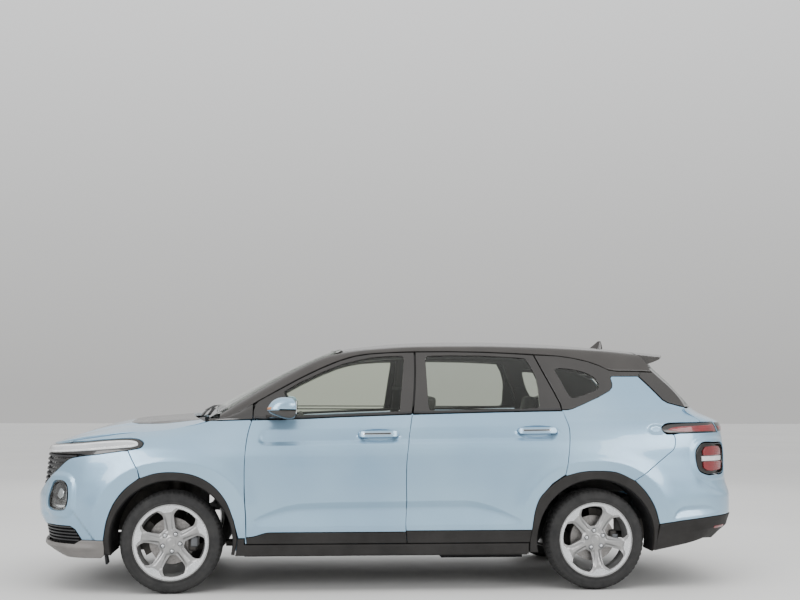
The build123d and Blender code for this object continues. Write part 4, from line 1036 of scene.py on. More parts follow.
# ------------------------------------------------------------------ quarter panel below the belt
REARLINE = [(3.063, 0.724), (3.150, 0.782), (3.237, 0.846), (3.300, 0.893), (3.345, 0.928), (3.360, 0.962), (3.362, 1.004), (3.352, 1.026),
            (3.300, 1.031), (3.284, 1.045), (3.274, 1.070), (3.290, 1.092), (3.320, 1.104), (3.410, 1.108)]
def recess_extra(q, x, z):
    """Oval recess in front of the upper tail lamp."""
    u = (x - 3.235) / 0.075
    w = (z - 1.062 - 0.02 * (x - 3.235)) / 0.040
    d = np.sqrt(u * u + w * w)
    return 0.010 * (1 - smooth(0.42, 1.0, d)) * smooth(-1.0, -0.4, u * 0 + 1)


quarter_S = lambda s, z: side(s, z, extra=recess_extra)

# ------------------------------------------------------------------ wheels


def polar(r, deg):
    return np.array([r * math.cos(math.radians(deg)), r * math.sin(math.radians(deg))])


def rim_depth(x, z, phase):
    """How far the face lies inboard of the flange, for one spoke axis every 72 degrees from phase."""
    r = np.hypot(x, z)
    a = np.degrees(np.arctan2(z, x))
    d = (a - phase + 36) % 72 - 36                      # angle from the nearest spoke axis
    along = r * np.cos(np.radians(d))
    across = r * np.abs(np.sin(np.radians(d)))
    # the plate: hub low, spokes climbing to the pads
    base = np.interp(r, [0, 0.034, 0.045, 0.085, 0.12, 0.16, 0.19, 0.205, 0.222, 0.24, 0.2461],
                     [0.026, 0.027, 0.030, 0.034, 0.031, 0.024, 0.0175, 0.0140, 0.0090, 0.0060, 0.0055])
    half = np.interp(r, [0.05, 0.09, 0.14, 0.18, 0.20], [0.019, 0.0215, 0.026, 0.036, 0.046])
    chamfer = 0.011 * smooth(0.38, 1.15, across / half) * (1 - smooth(0.175, 0.205, r)) * smooth(0.065, 0.09, r)
    ridge = -0.0030 * (1 - smooth(0.12, 0.88, across / half)) * smooth(0.05, 0.09, r) * (1 - smooth(0.17, 0.19, r))
    return base + chamfer + ridge


def window(phase, k):
    c = phase + 36 + 72 * k
    pts = [polar(0.0900, c - 12), polar(0.0900, c + 12), polar(0.132, c + 21.5), polar(0.176, c + 24.0), polar(0.203, c + 20.0), polar(0.2165, c + 17.0),
           polar(0.2185, c + 8), polar(0.219, c), polar(0.2185, c - 8), polar(0.2165, c - 17.0), polar(0.203, c - 20.0), polar(0.176, c - 24.0), polar(0.132, c - 21.5)]
    return rounded(pts, [0.008, 0.008, 0.05, 0.04, 0.02, 0.010, 0, 0, 0, 0.010, 0.02, 0.04, 0.05], 5)


def lathe(name, prof, mat, body, centre, sy, seg=128, closed=True, radial=None, sharp=30, replaces=()):
    """Turned part round the wheel axis: prof is (radius, Y) with Y counted outwards."""
    prof = np.asarray(prof, float)
    n = len(prof)
    ang = np.linspace(0, 2 * math.pi, seg, endpoint=False)
    A, I = np.meshgrid(ang, np.arange(n), indexing="ij")
    R, Y = prof[I, 0], prof[I, 1]
    if radial is not None:
        R = R + radial(A, I, R, Y)
    V = np.stack([R * np.cos(A) + centre[0] + OX, sy * Y, R * np.sin(A) + centre[1]], -1).reshape(-1, 3)
    F = []
    m = n if closed else n - 1
    for i in range(seg):
        j = (i + 1) % seg
        for k in range(m):
            l = (k + 1) % n
            q = (i * n + k, j * n + k, j * n + l, i * n + l)
            F.append(q if sy > 0 else q[::-1])
    ob = make_mesh(name, V, F, sharp=sharp)
    return finish_piece(ob, mat, body, replaces)


def join_meshes(name, parts):
    """parts: list of (V, F, material index)."""
    V, F, MI = [], [], []
    k = 0
    for v, f, mi in parts:
        V.append(np.asarray(v, float))
        F += [tuple(int(i) + k for i in q) for q in f]
        MI += [mi] * len(f)
        k += len(v)
    return np.vstack(V), F, MI


TYRE_PROF = [(0.232, 0.885), (0.240, 0.893), (0.2475, 0.8985), (0.2535, 0.9005), (0.2580, 0.8985), (0.2610, 0.8975), (0.272, 0.9002), (0.284, 0.9008),
             (0.2865, 0.8998), (0.2890, 0.9000), (0.3000, 0.8955), (0.3030, 0.8958), (0.3100, 0.8915), (0.3125, 0.8918), (0.3180, 0.886),
             (0.3235, 0.8785), (0.3275, 0.868), (0.3296, 0.857), (0.3306, 0.8465), (0.3235, 0.8445), (0.3235, 0.8370), (0.3312, 0.8350),
             (0.3318, 0.822), (0.3320, 0.8125), (0.3242, 0.8105), (0.3242, 0.8005), (0.3320, 0.7985), (0.3320, 0.7855), (0.3242, 0.7835), (0.3242, 0.7735),
             (0.3320, 0.7715), (0.3318, 0.762), (0.3312, 0.7490), (0.3235, 0.7470), (0.3235, 0.7395), (0.3306, 0.7375), (0.3296, 0.727), (0.3275, 0.716),
             (0.3235, 0.7055), (0.3180, 0.698), (0.3100, 0.6925), (0.300, 0.6885), (0.284, 0.6832), (0.2600, 0.6855), (0.2475, 0.6855), (0.240, 0.691),
             (0.232, 0.699), (0.229, 0.72), (0.229, 0.86)]


def tread(A, I, R, Y):
    """Blocks cut across the tread and shoulder."""
    shoulder = smooth(0.8935, 0.884, Y) * smooth(0.860, 0.866, Y) + smooth(0.6905, 0.700, Y) * smooth(0.724, 0.718, Y)
    mid = smooth(0.8465, 0.850, Y) * smooth(0.866, 0.862, Y) * 0 + ((Y > 0.8465) & (Y < 0.8960)) * 1.0 + ((Y < 0.7375) & (Y > 0.688)) * 1.0
    n = 60
    ph = (A * n / (2 * math.pi)) % 1.0
    slot_ = ((ph > 0.42) & (ph < 0.58)) * 1.0
    cut = np.where((Y > 0.8465) & (Y < 0.8905), 1.0, 0) + np.where((Y < 0.7375) & (Y > 0.6935), 1.0, 0)
    ph2 = (A * n / (2 * math.pi) + Y * 14.0) % 1.0
    slot2 = ((ph2 > 0.40) & (ph2 < 0.55)) * 1.0
    cut2 = np.where((Y > 0.742) & (Y < 0.843) & (R > 0.3300), 1.0, 0)
    rim_in = np.where(R > 0.305, 1.0, 0)
    return -0.0055 * slot_ * cut * rim_in - 0.0045 * slot2 * cut2


def wheel(tag, cx, sy, phase, body, caliper=None):
    c = (cx, 0.332)
    Y0 = 0.8985
    # tyre: four angle steps to a tread block
    lathe("tyre_" + tag + "_v", TYRE_PROF, M["tyre"], body, c, sy, seg=60 * 4, radial=tread, sharp=32, replaces=("tyre_" + tag,))

    # cast face with its five windows
    def face(u, v):
        return np.stack([u + cx, Y0 - rim_depth(u, v, phase), v + 0.332], -1)
    circle = [polar(0.2445, a) for a in np.arange(0, 360, 3)]
    ob = slab("rim_face_" + tag, circle, face, M["alloy"], body=body, holes=[window(phase, k) for k in range(5)], gap=0.0, r=0.0035, thick=0.022,
              grid=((0.0049, 0.0049)), step=0.006, back_grid=0.03, side_y=sy, slot="alloy", replaces=("rim_" + tag,), flip=True)
    # machined ring, and a machined pad at the outer end of each spoke
    lathe("rim_ring_" + tag, [(0.2225, Y0 - 0.0100), (0.2225, Y0 - 0.0024), (0.2236, Y0 - 0.0014), (0.2378, Y0 - 0.0014), (0.2390, Y0 - 0.0022), (0.2400, Y0 - 0.0034), (0.2436, Y0 - 0.0034),
                              (0.2446, Y0 - 0.0044), (0.2446, Y0 - 0.0100)], M["machined"], body, c, sy, seg=144, sharp=25)

    def pad_face(u, v):
        u, v = np.broadcast_arrays(np.asarray(u, float), np.asarray(v, float))
        return np.stack([u + cx, np.full(u.shape, Y0 - 0.0021), v + 0.332], -1)
    arc = [(0.2262 * math.cos(t), 0.2262 * math.sin(t)) for t in np.radians(np.linspace(16.2, -16.2, 9))]
    shape = [(0.1935, -0.0255), (0.1935, 0.0255), (0.2040, 0.0370), (0.2105, 0.0500), (0.2135, 0.0600)] + arc + [(0.2135, -0.0600), (0.2105, -0.0500), (0.2040, -0.0370)]
    for k in range(5):
        t = math.radians(phase + 72 * k)
        turned = [(a * math.cos(t) - b * math.sin(t), a * math.sin(t) + b * math.cos(t)) for a, b in shape]
        slab("rim_pad_%s_%d" % (tag, k + 1), turned, pad_face, M["machined"], body=body, gap=0.0, r=0.0016, thick=0.0165, grid=(0.03, 0.03), step=0.009, back_grid=0.05, side_y=sy, slot="alloy", flip=True)

    # barrel
    lathe("rim_barrel_" + tag, [(0.2458, 0.8975), (0.2462, 0.893), (0.2385, 0.884), (0.2310, 0.872), (0.2290, 0.855), (0.2255, 0.840), (0.2150, 0.825),
                                (0.2130, 0.800), (0.2250, 0.775), (0.2285, 0.745), (0.2290, 0.712), (0.2350, 0.700), (0.2440, 0.692), (0.2460, 0.6865),
                                (0.2420, 0.6865), (0.2330, 0.692), (0.2250, 0.705), (0.2230, 0.745), (0.2190, 0.772), (0.2085, 0.797), (0.2085, 0.822),
                                (0.2155, 0.838), (0.2215, 0.852), (0.2225, 0.868), (0.2260, 0.876), (0.2330, 0.880), (0.2400, 0.888), (0.2405, 0.8975)],
          M["alloy"], body, c, sy, seg=112, sharp=28)
    # brake disc with its hat, and the hub behind the face
    lathe("brake_disc_" + tag, [(0.150, 0.7745), (0.150, 0.7815), (0.141, 0.7825), (0.141, 0.7855), (0.150, 0.7865), (0.150, 0.7935), (0.0855, 0.7940), (0.0830, 0.7965),
                                (0.0800, 0.8330), (0.0760, 0.8400), (0.030, 0.8410), (0.030, 0.7700), (0.070, 0.7700), (0.074, 0.7740)],
          M["disc"], body, c, sy, seg=96, sharp=25)
    # plain cap in the middle
    lathe("hub_cap_" + tag, [(0.0001, Y0 - 0.0205), (0.010, Y0 - 0.0207), (0.020, Y0 - 0.0218), (0.0245, Y0 - 0.0232), (0.0262, Y0 - 0.0225), (0.0290, Y0 - 0.0228),
                             (0.0305, Y0 - 0.0250), (0.0310, Y0 - 0.0400), (0.0001, Y0 - 0.0400)], M["alloy"], body, c, sy, seg=64, sharp=30)
    # wheel nuts in round wells; the wells are dark grey alloy, painted shade in each recess
    parts = []
    for k in range(5):
        a = phase + 36 + 72 * k
        ctr = polar(0.0585, a)
        well = [(0.0160, 0.0300), (0.0160, 0.0285), (0.0150, 0.0275), (0.0138, 0.0283), (0.0132, 0.0345), (0.0001, 0.0345)]
        n = 28
        V, F = [], []
        for i in range(n):
            t = 2 * math.pi * i / n
            for rr, dd in well:
                V.append((ctr[0] + rr * math.cos(t), Y0 - dd, ctr[1] + rr * math.sin(t)))
        for i in range(n):
            j = (i + 1) % n
            for q in range(len(well) - 1):
                F.append((i * 6 + q, i * 6 + q + 1, j * 6 + q + 1, j * 6 + q))
        # index 1 is the dark grey alloy: painted shade in the well
        parts.append((V, F, 1))
        prof = [(0.0106, 0.0340), (0.0106, 0.0245), (0.0098, 0.0222), (0.0080, 0.0208), (0.0052, 0.0198), (0.0001, 0.0195)]
        V, F = [], []
        n = 36
        for i in range(n):
            t = 2 * math.pi * i / n
            hx = 1.0 / max(math.cos(((t % (math.pi / 3)) - math.pi / 6)), 0.8) * 0.92
            for q, (rr, dd) in enumerate(prof):
                f = hx if q < 2 else 1.0
                V.append((ctr[0] + rr * f * math.cos(t), Y0 - dd, ctr[1] + rr * f * math.sin(t)))
        m6 = len(prof)
        for i in range(n):
            j = (i + 1) % n
            for q in range(m6 - 1):
                F.append((i * m6 + q, i * m6 + q + 1, j * m6 + q + 1, j * m6 + q))
        parts.append((V, F, 0))
    V, F, MI = join_meshes("x", parts)
    V[:, 0] += cx + OX
    V[:, 1] *= sy
    V[:, 2] += 0.332
    if sy > 0:
        F = [f[::-1] for f in F]
    F = [f[::-1] for f in F]
    ob = make_mesh("wheel_nuts_" + tag, V, F, sharp=35)
    finish_piece(ob, M["chrome"], body)
    # second slot, dark grey alloy for the wells: painted shade
    ob.data.materials.append(M["alloy_dark"])
    ob.data.polygons.foreach_set("material_index", MI)
    # valve stem
    lathe_small("valve_" + tag, [(0.0001, 0.012), (0.0032, 0.012), (0.0036, 0.006), (0.0036, -0.016), (0.0055, -0.020), (0.0001, -0.020)],
                (cx + polar(0.2105, phase + 36)[0] * 0.985, sy * (Y0 - 0.030), 0.332 + polar(0.2105, phase + 36)[1] * 0.985), M["rubber"], body, sy)


def lathe_small(name, prof, centre, mat, body, sy, seg=20):
    """Little turned part whose axis lies along Y."""
    V, F = [], []
    n = len(prof)
    for i in range(seg):
        t = 2 * math.pi * i / seg
        for r, d in prof:
            V.append((centre[0] + OX + r * math.cos(t), centre[1] + sy * d, centre[2] + r * math.sin(t)))
    for i in range(seg):
        j = (i + 1) % seg
        for q in range(n - 1):
            f = (i * n + q, i * n + q + 1, j * n + q + 1, j * n + q)
            F.append(f if sy > 0 else f[::-1])
    ob = make_mesh(name, V, F, sharp=35)
    return finish_piece(ob, mat, body)


M["alloy"] = metal_material("alloy_silver", (0.30, 0.30, 0.30), (0.39, 0.388, 0.385), 0.34, 0.80, 50.0, 0.05)


def disc_material():
    m = Mat("brake_disc_steel")
    w = m.node("ShaderNodeTexNoise")
    w.inputs["Scale"].default_value = 90.0
    m.link(m.coords(), w.inputs["Vector"])
    m.link(m.ramp(w.outputs["Fac"], [(0.3, (0.20, 0.19, 0.185)), (0.7, (0.30, 0.29, 0.28))]), m.b.inputs["Base Color"])
    m.rough(w.outputs["Fac"], 0.32, 0.48)
    m.set(Metallic=0.9)
    m.bump(m.noise(700.0, 2.0), 0.12, 0.0006)
    return m.m


M["disc"] = disc_material()
wheel("front_left", 0.0, -1, 25.0, "wheel_front_left")
wheel("front_right", 0.0, 1, 25.0, "wheel_front_right")
wheel("rear_left", AXR, -1, 61.0, "wheel_rear_left")
wheel("rear_right", AXR, 1, 61.0, "wheel_rear_right")

# ------------------------------------------------------------------ upper body: frames, pillars, glass, roof
DRIP2 = mono([(0.290, 1.122), (0.360, 1.140), (0.420, 1.171), (0.553, 1.251), (0.687, 1.325), (0.821, 1.399), (0.957, 1.466), (1.092, 1.523),
              (1.194, 1.554), (1.296, 1.571), (1.433, 1.581), (1.611, 1.588), (1.845, 1.590), (2.053, 1.588), (2.261, 1.581),
              (2.470, 1.571), (2.610, 1.562), (2.714, 1.547), (2.819, 1.523), (2.889, 1.498), (2.960, 1.465), (3.02, 1.457), (3.17, 1.457),
              (3.30, 1.452)])
EDGE_Z = mono([(0.20, 1.108), (0.298, 1.162), (0.418, 1.238), (0.552, 1.321), (0.686, 1.398), (0.821, 1.470), (0.957, 1.534), (1.05, 1.566), (1.15, 1.585),
               (1.30, 1.602), (1.65, 1.621), (2.05, 1.625), (2.50, 1.617), (2.90, 1.599), (3.17, 1.576), (3.50, 1.545)])
EDGE_Y = mono([(0.20, 0.705), (0.30, 0.692), (0.55, 0.655), (0.82, 0.617), (1.00, 0.590), (1.10, 0.577), (1.30, 0.579), (1.65, 0.584), (2.05, 0.585),
               (2.50, 0.584), (2.90, 0.578), (3.17, 0.566), (3.50, 0.545)])


def roof(x, y):
    x, y = np.broadcast_arrays(np.asarray(x, float), np.asarray(y, float))
    c, e, w = roof_c(x), EDGE_Z(x), EDGE_Y(x)
    t = np.abs(y) / w
    return np.stack([x, y, c - (c - e) * (0.62 * t ** 2 + 0.38 * t ** 4)], -1)


def rail(x, v):
    """Band between the door tops and the roof or windshield edge; v runs 0 to 0.1."""
    x, v = np.broadcast_arrays(np.asarray(x, float), np.asarray(v, float))
    q = v * 10
    z0 = DRIP2(x)
    y0 = green(x, z0)[..., 1]
    y2, z2 = EDGE_Y(x), EDGE_Z(x)
    h = z2 - z0
    k = np.clip(h * 0.95, 0.02, 0.25)
    y1 = y0 - 0.40 * k
    z1 = z0 + k
    return np.stack([x, y0 * (1 - q) ** 2 + 2 * q * (1 - q) * y1 + q * q * y2, z0 * (1 - q) ** 2 + 2 * q * (1 - q) * z1 + q * q * z2], -1)


def body_up(s, z):
    """Quarter panel and D-pillar: lower skin that turns into the upper one."""
    s, z = np.broadcast_arrays(np.asarray(s, float), np.asarray(z, float))
    x = plan(s)[0]
    w = smooth(1.11, 1.205, z)[..., None]
    return quarter_S(s, z) * (1 - w) + green(x, z) * w


rail_out = np.array([(0.292, -0.0005), (3.268, -0.0005), (3.180, 0.0995), (0.292, 0.0995)])
slab("roof_rails", rail_out, rail, M["roof"], grid=(0.035, 0.011), thick=0.022, gap=0.001, r=0.004, both=True, slot="black_paint", step=0.014, flip=True)

roof_out = np.array([(1.112, -0.566), (1.30, -0.5745), (1.65, -0.5795), (2.05, -0.5805), (2.50, -0.5795), (2.90, -0.5735), (3.172, -0.5615),
                     (3.172, 0.5615), (2.90, 0.5735), (2.50, 0.5795), (2.05, 0.5805), (1.65, 0.5795), (1.30, 0.5745), (1.112, 0.566)])
slab("roof_skin", roof_out, roof, M["roof"], grid=(0.04, 0.028), thick=0.028, gap=0.002, r=0.004, side_y=1, slot="black_paint", replaces=("roof_panel",), step=0.02)

FG = [(0.716, 1.306), (0.822, 1.368), (0.922, 1.416), (1.022, 1.461), (1.123, 1.499), (1.224, 1.524), (1.326, 1.544), (1.427, 1.552), (1.534, 1.5545),
      (1.490, 1.181), (1.088, 1.163), (0.800, 1.151)]
RG = [(1.682, 1.5545), (1.845, 1.5590), (2.041, 1.5585), (2.247, 1.5510), (2.374, 1.5410), (2.411, 1.478), (2.437, 1.408), (2.444, 1.350), (2.444, 1.204), (2.174, 1.197), (1.690, 1.189)]
QG = [(2.577, 1.466), (2.605, 1.475), (2.660, 1.472), (2.730, 1.461), (2.799, 1.440), (2.850, 1.408), (2.872, 1.373), (2.872, 1.348), (2.850, 1.327), (2.797, 1.306),
      (2.727, 1.282), (2.685, 1.273), (2.665, 1.280), (2.644, 1.313), (2.604, 1.402)]
fg = rounded(FG, [0.012, 0, 0, 0, 0.05, 0.05, 0.05, 0.05, 0.022, 0.018, 0, 0.010])
rg = rounded(RG, [0.030, 0.05, 0.05, 0.05, 0.022, 0.05, 0.05, 0.05, 0.030, 0, 0.028])
qg = soft_line(QG, 0.012, closed=True)

F_UP = [(0.5165, 1.1285)] + [(a, float(belt_z(a)) + 0.001) for a in np.linspace(0.60, 1.50, 9)] + [
    (1.5745, 1.1675), (1.5835, 1.235), (1.5935, 1.330), (1.6015, 1.450), (1.6045, 1.5815), (1.433, 1.5765), (1.296, 1.5665), (1.194, 1.5495), (1.092, 1.5185), (0.957, 1.4615),
    (0.821, 1.3945), (0.687, 1.3205), (0.600, 1.2735), (0.553, 1.2465), (0.5300, 1.2240), (0.5170, 1.1800)]
R_UP = [(1.5835, 1.1685)] + [(a, float(belt_z(a)) + 0.001) for a in np.linspace(1.68, 2.50, 9)] + [
    (2.5935, 1.1885), (2.5855, 1.2350), (2.5370, 1.3410), (2.4830, 1.4570), (2.4340, 1.5665), (2.261, 1.5765), (2.053, 1.5835), (1.845, 1.5855), (1.6135, 1.5825), (1.6105, 1.450), (1.6025, 1.330), (1.5925, 1.235)]
pair("window_frame_front", rounded(F_UP, 0.004, 2), green, M["gloss"], DB_F, holes=[fg], grid=(0.03, 0.018), thick=0.020, r=0.0022, gap=0.0018, slot="gloss_black", flip=True)
pair("window_frame_rear", rounded(R_UP, 0.004, 2), green, M["gloss"], DB_R, holes=[rg], grid=(0.03, 0.018), thick=0.020, r=0.0022, gap=0.0018, slot="gloss_black", flip=True)
pair("window_front", fg, green, M["glass"], DB_F, grid=(0.03, 0.02), thick=0.0048, r=0.0006, gap=-0.005, proud=-0.0045, slot="glass", replaces=("door_glass_front",), flip=True)
pair("window_rear", rg, green, M["glass_rear"], DB_R, grid=(0.03, 0.02), thick=0.0048, r=0.0006, gap=-0.005, proud=-0.0045, slot="glass", replaces=("door_glass_rear",), flip=True)

# belt mouldings
BM_F = [(0.530, 1.1295)] + [(a, float(belt_z(a)) - 0.0015) for a in np.linspace(0.62, 1.50, 9)] + [(1.5725, 1.1645), (1.5735, 1.1800)] + [
    (a, float(belt_z(a)) + 0.0140) for a in np.linspace(1.50, 0.62, 9)] + [(0.530, 1.1430)]
BM_R = [(1.5845, 1.1655)] + [(a, float(belt_z(a)) - 0.0015) for a in np.linspace(1.68, 2.50, 9)] + [(2.5915, 1.1865), (2.5895, 1.2020)] + [
    (a, float(belt_z(a)) + 0.0140) for a in np.linspace(2.50, 1.68, 9)] + [(1.5860, 1.1815)]
pair("belt_strip_front", BM_F, green, M["trim"], DB_F, grid=(0.04, 0.008), thick=0.012, r=0.004, gap=0.0006, proud=0.0055, slot="gloss_black", flip=True)
pair("belt_strip_rear", BM_R, green, M["trim"], DB_R, grid=(0.04, 0.008), thick=0.012, r=0.004, gap=0.0006, proud=0.0055, slot="gloss_black", flip=True)

# quarter window in its black surround
Q_OUT = [(2.4405, 1.5665), (2.4890, 1.4590), (2.5430, 1.3430), (2.5915, 1.2365), (2.5995, 1.1935), (2.640, 1.1930), (2.673, 1.1990), (2.721, 1.2180), (2.791, 1.2480), (2.861, 1.2780),
         (2.945, 1.3220), (2.966, 1.3450), (2.971, 1.3720), (2.963, 1.4100), (2.972, 1.4215), (3.0, 1.4225), (3.163, 1.4240), (3.181, 1.4400), (3.1840, 1.4545),
         (3.02, 1.4548), (2.960, 1.4628), (2.889, 1.4958), (2.819, 1.5208), (2.714, 1.5448), (2.610, 1.5598)]
pair("quarter_frame", rounded(Q_OUT, 0.004, 2), green, M["gloss"], BS, holes=[qg], grid=(0.02, 0.012), thick=0.020, r=0.0022, gap=0.0012, slot="gloss_black", flip=True)
slab("quarter_panes", qg, green, M["glass_rear"], holes=(), grid=(0.02, 0.02), thick=0.0048, r=0.0006, gap=-0.005, proud=-0.0045, slot="glass", replaces=("quarter_windows",), both=True, flip=True)

# quarter panel with the D-pillar
DP = [(2.673, 1.1990), (2.721, 1.2180), (2.791, 1.2480), (2.861, 1.2780), (2.945, 1.3220), (2.966, 1.3450), (2.971, 1.3720), (2.963, 1.4100), (2.972, 1.4215), (3.162, 1.4225),
      (3.228, 1.356), (3.276, 1.304), (3.317, 1.259), (3.352, 1.239), (3.436, 1.217), (3.470, 1.210)]
quarter_all = np.vstack([
    c_edge[::-1],
    sx([(2.640, 1.1915)]),
    sx(DP),
    np.array([(5.124, 1.1880), (5.132, 1.1700), (5.160, 1.1500), (5.198, 1.1190), (5.201, 1.1095)]),
    soft_line(sx(REARLINE[::-1]), 0.012),
    soft_line(sx([(3.060, 0.722), (2.935, 0.777), (2.804, 0.787), (2.699, 0.781), (2.594, 0.756)]), 0.015),
])
pair("quarter_skin", quarter_all, body_up, M["paint"], BS, grid=(0.013, 0.0065), thick=0.018, flip=True, slot="paint")
# dark strip between the D-pillar and the tailgate
DS = [(3.172, 1.4215), (3.232, 1.3600), (3.280, 1.3080), (3.321, 1.2630), (3.354, 1.2430), (3.436, 1.2210), (3.470, 1.2150), (3.452, 1.2540), (3.397, 1.3300), (3.327, 1.4000), (3.2750, 1.4505),
      (3.186, 1.4530), (3.181, 1.4400)]
pair("rear_pillar_strip", DS, green, M["gloss"], BS, grid=(0.02, 0.015), thick=0.020, r=0.0025, gap=0.0015, slot="gloss_black", flip=True)

# windshield with its dark border
ws_half = lambda t: float(EDGE_Y(_wx(t) + 0.02)) - 0.0020
ws_foot = lambda y: 0.010 + 0.046 * float(smooth(0.42, 0.58, abs(y)))     # the lower corners stay clear of the opening hood
ts = np.linspace(0.056, WS_L - 0.006, 22)
ws_out = np.array([(t, ws_half(t)) for t in ts] + [(t, -ws_half(t)) for t in ts[::-1]] + [(ws_foot(y), y) for y in np.linspace(-0.680, 0.680, 35)])
bow = lambda t, y: t + 0.075 * (abs(y) / 0.69) ** 2 * max(0, 1 - t / 0.10)
ws_hole = np.array([(t, ws_half(t) - 0.028) for t in np.linspace(0.115, WS_L - 0.055, 20)] + [(t, -ws_half(t) + 0.028) for t in np.linspace(WS_L - 0.055, 0.115, 20)])
slab("windshield_pane", ws_out, screen, M["glass_screen"], grid=(0.04, 0.04), step=0.02, thick=0.0055, r=0.0008, gap=0.001, proud=-0.004, side_y=1, slot="glass", replaces=("windshield",), flip=True)
slab("windshield_border", ws_out, screen, M["gloss"], holes=[rounded(ws_hole, 0.03, 4)], grid=(0.04, 0.04), step=0.018, thick=0.0016, r=0.0004, gap=0.0014, proud=-0.0106, side_y=1, slot="gloss_black", flip=True)

# ------------------------------------------------------------------ tailgate, upper half
gx_c = mono([(1.19, 3.665), (1.213, 3.634), (1.252, 3.600), (1.309, 3.542), (1.374, 3.491), (1.432, 3.433), (1.490, 3.376), (1.56, 3.300), (1.60, 3.26)])
gx_s = mono([(1.150, 3.526), (1.213, 3.472), (1.254, 3.452), (1.330, 3.397), (1.400, 3.327), (1.476, 3.251), (1.530, 3.205), (1.580, 3.176)])


def gate_up(y, z):
    y, z = np.broadcast_arrays(np.asarray(y, float), np.asarray(z, float))
    xs = gx_s(z)
    W = green(xs, z)[..., 1]
    t = np.minimum(np.abs(y) / W, 1.05)
    xc = gx_c(z)
    return np.stack([xc - (xc - xs) * (0.25 * t ** 2 + 0.75 * t ** 3.6), y, z], -1)


def gate_w(z):
    return float(green(gx_s(z), z)[..., 1])


zz = np.linspace(1.212, 1.528, 16)
gate_frame = np.array([(-gate_w(z) + 0.0005, z) for z in zz] + [(gate_w(z) - 0.0005, z) for z in zz[::-1]])
zz2 = np.linspace(1.228, 1.492, 12)
gate_pane = rounded([(-gate_w(z) + 0.045, z) for z in zz2] + [(gate_w(z) - 0.045, z) for z in zz2[::-1]], 0.02, 4)
slab("tailgate_frame", gate_frame, gate_up, M["gloss"], "tailgate", holes=[gate_pane], grid=(0.02, 0.012), thick=0.030, r=0.003, gap=0.0015, side_y=1, slot="gloss_black", flip=False)
slab("tailgate_pane", gate_pane, gate_up, M["glass_dark"], "tailgate", grid=(0.03, 0.02), thick=0.0048, r=0.0006, gap=-0.006, proud=-0.003, side_y=1, slot="glass", replaces=("tailgate_glass",), flip=False)

# spoiler at the end of the roof
sp_c = mono([(3.172, 1.613), (3.30, 1.603), (3.40, 1.593), (3.49, 1.582), (3.530, 1.577)])


def spoiler_top(x, y):
    x, y = np.broadcast_arrays(np.asarray(x, float), np.asarray(y, float))
    c = sp_c(x)
    e = EDGE_Z(x)
    w = EDGE_Y(x)
    t = np.abs(y) / w
    return np.stack([x, y, c - (c - e) * (0.62 * t ** 2 + 0.38 * t ** 4)], -1)


def spoiler_low(x, y):
    p = spoiler_top(x, y)
    q = p.copy()
    tip = np.interp(np.abs(p[..., 1]), [0.0, 0.10, 0.22, 0.40, 0.55, 0.62], [3.518, 3.505, 3.466, 3.408, 3.360, 3.32])
    rel = np.clip((tip - p[..., 0]) / (tip - 3.185), 0, 1)
    q[..., 2] = p[..., 2] - 0.010 - (0.046 + 0.034 * smooth(0.44, 0.57, np.abs(p[..., 1]))) * rel ** 0.85
    return q


sp_half = [(3.1835, 0.5665), (3.25, 0.5665), (3.32, 0.5640), (3.352, 0.5520), (3.372, 0.5100), (3.408, 0.400), (3.440, 0.305), (3.466, 0.220), (3.494, 0.130), (3.510, 0.065), (3.518, 0.0)]
sp_out = sp_half + [(a, -b) for a, b in sp_half[::-1] if b > 1e-3]
slab("spoiler", rounded(sp_out, 0.006, 3), spoiler_top, M["roof"], "tailgate", grid=(0.02, 0.02), thick=0.03, r=0.005, gap=0.001, side_y=1, S_back=spoiler_low, slot="black_paint", step=0.015)

# ------------------------------------------------------------------ inner structure: apertures, pillars, door cores and trims


def shell(d):
    """Body side pushed in by d, given by (x from the front axle, height)."""
    def S(x, z):
        x, z = np.broadcast_arrays(np.asarray(x, float), np.asarray(z, float))
        s = s_of_x(x)
        xx, yy, nx, ny, q = plan(s)
        y_low = yy - base_off(x, z)
        w = smooth(1.11, 1.205, z)
        g = green(x, z)[..., 1]
        return np.stack([x, y_low * (1 - w) + g * w - d, z], -1)
    return S


def skin_xz(d):
    """The finished body side with its hollows, pushed in by d, given by (x from the front axle, height)."""
    def S(x, z):
        x, z = np.broadcast_arrays(np.asarray(x, float), np.asarray(z, float))
        s = s_of_x(x)
        xx, yy, nx, ny, q = plan(s)
        y_low = yy - side_off(x, z) / np.maximum(ny, 0.5)
        w = smooth(1.11, 1.205, z)
        g = green(x, z)[..., 1]
        return np.stack([x, y_low * (1 - w) + g * w - d, z], -1)
    return S


def hinge_side(d, deepest):
    """Like skin_xz, but set back where a door's leading edge swings in as the door opens."""
    def S(x, z):
        x, z = np.broadcast_arrays(np.asarray(x, float), np.asarray(z, float))
        zone = (1 - smooth(0.56, 0.66, x)) + smooth(1.465, 1.490, x) * (1 - smooth(1.63, 1.68, x))
        p = skin_xz(d)(x, z)
        y = p[..., 1] - 0.060 * zone * (1 - smooth(1.15, 1.22, z))
        return np.stack([x, np.maximum(y, shell(deepest)(x, z)[..., 1]), z], -1)
    return S


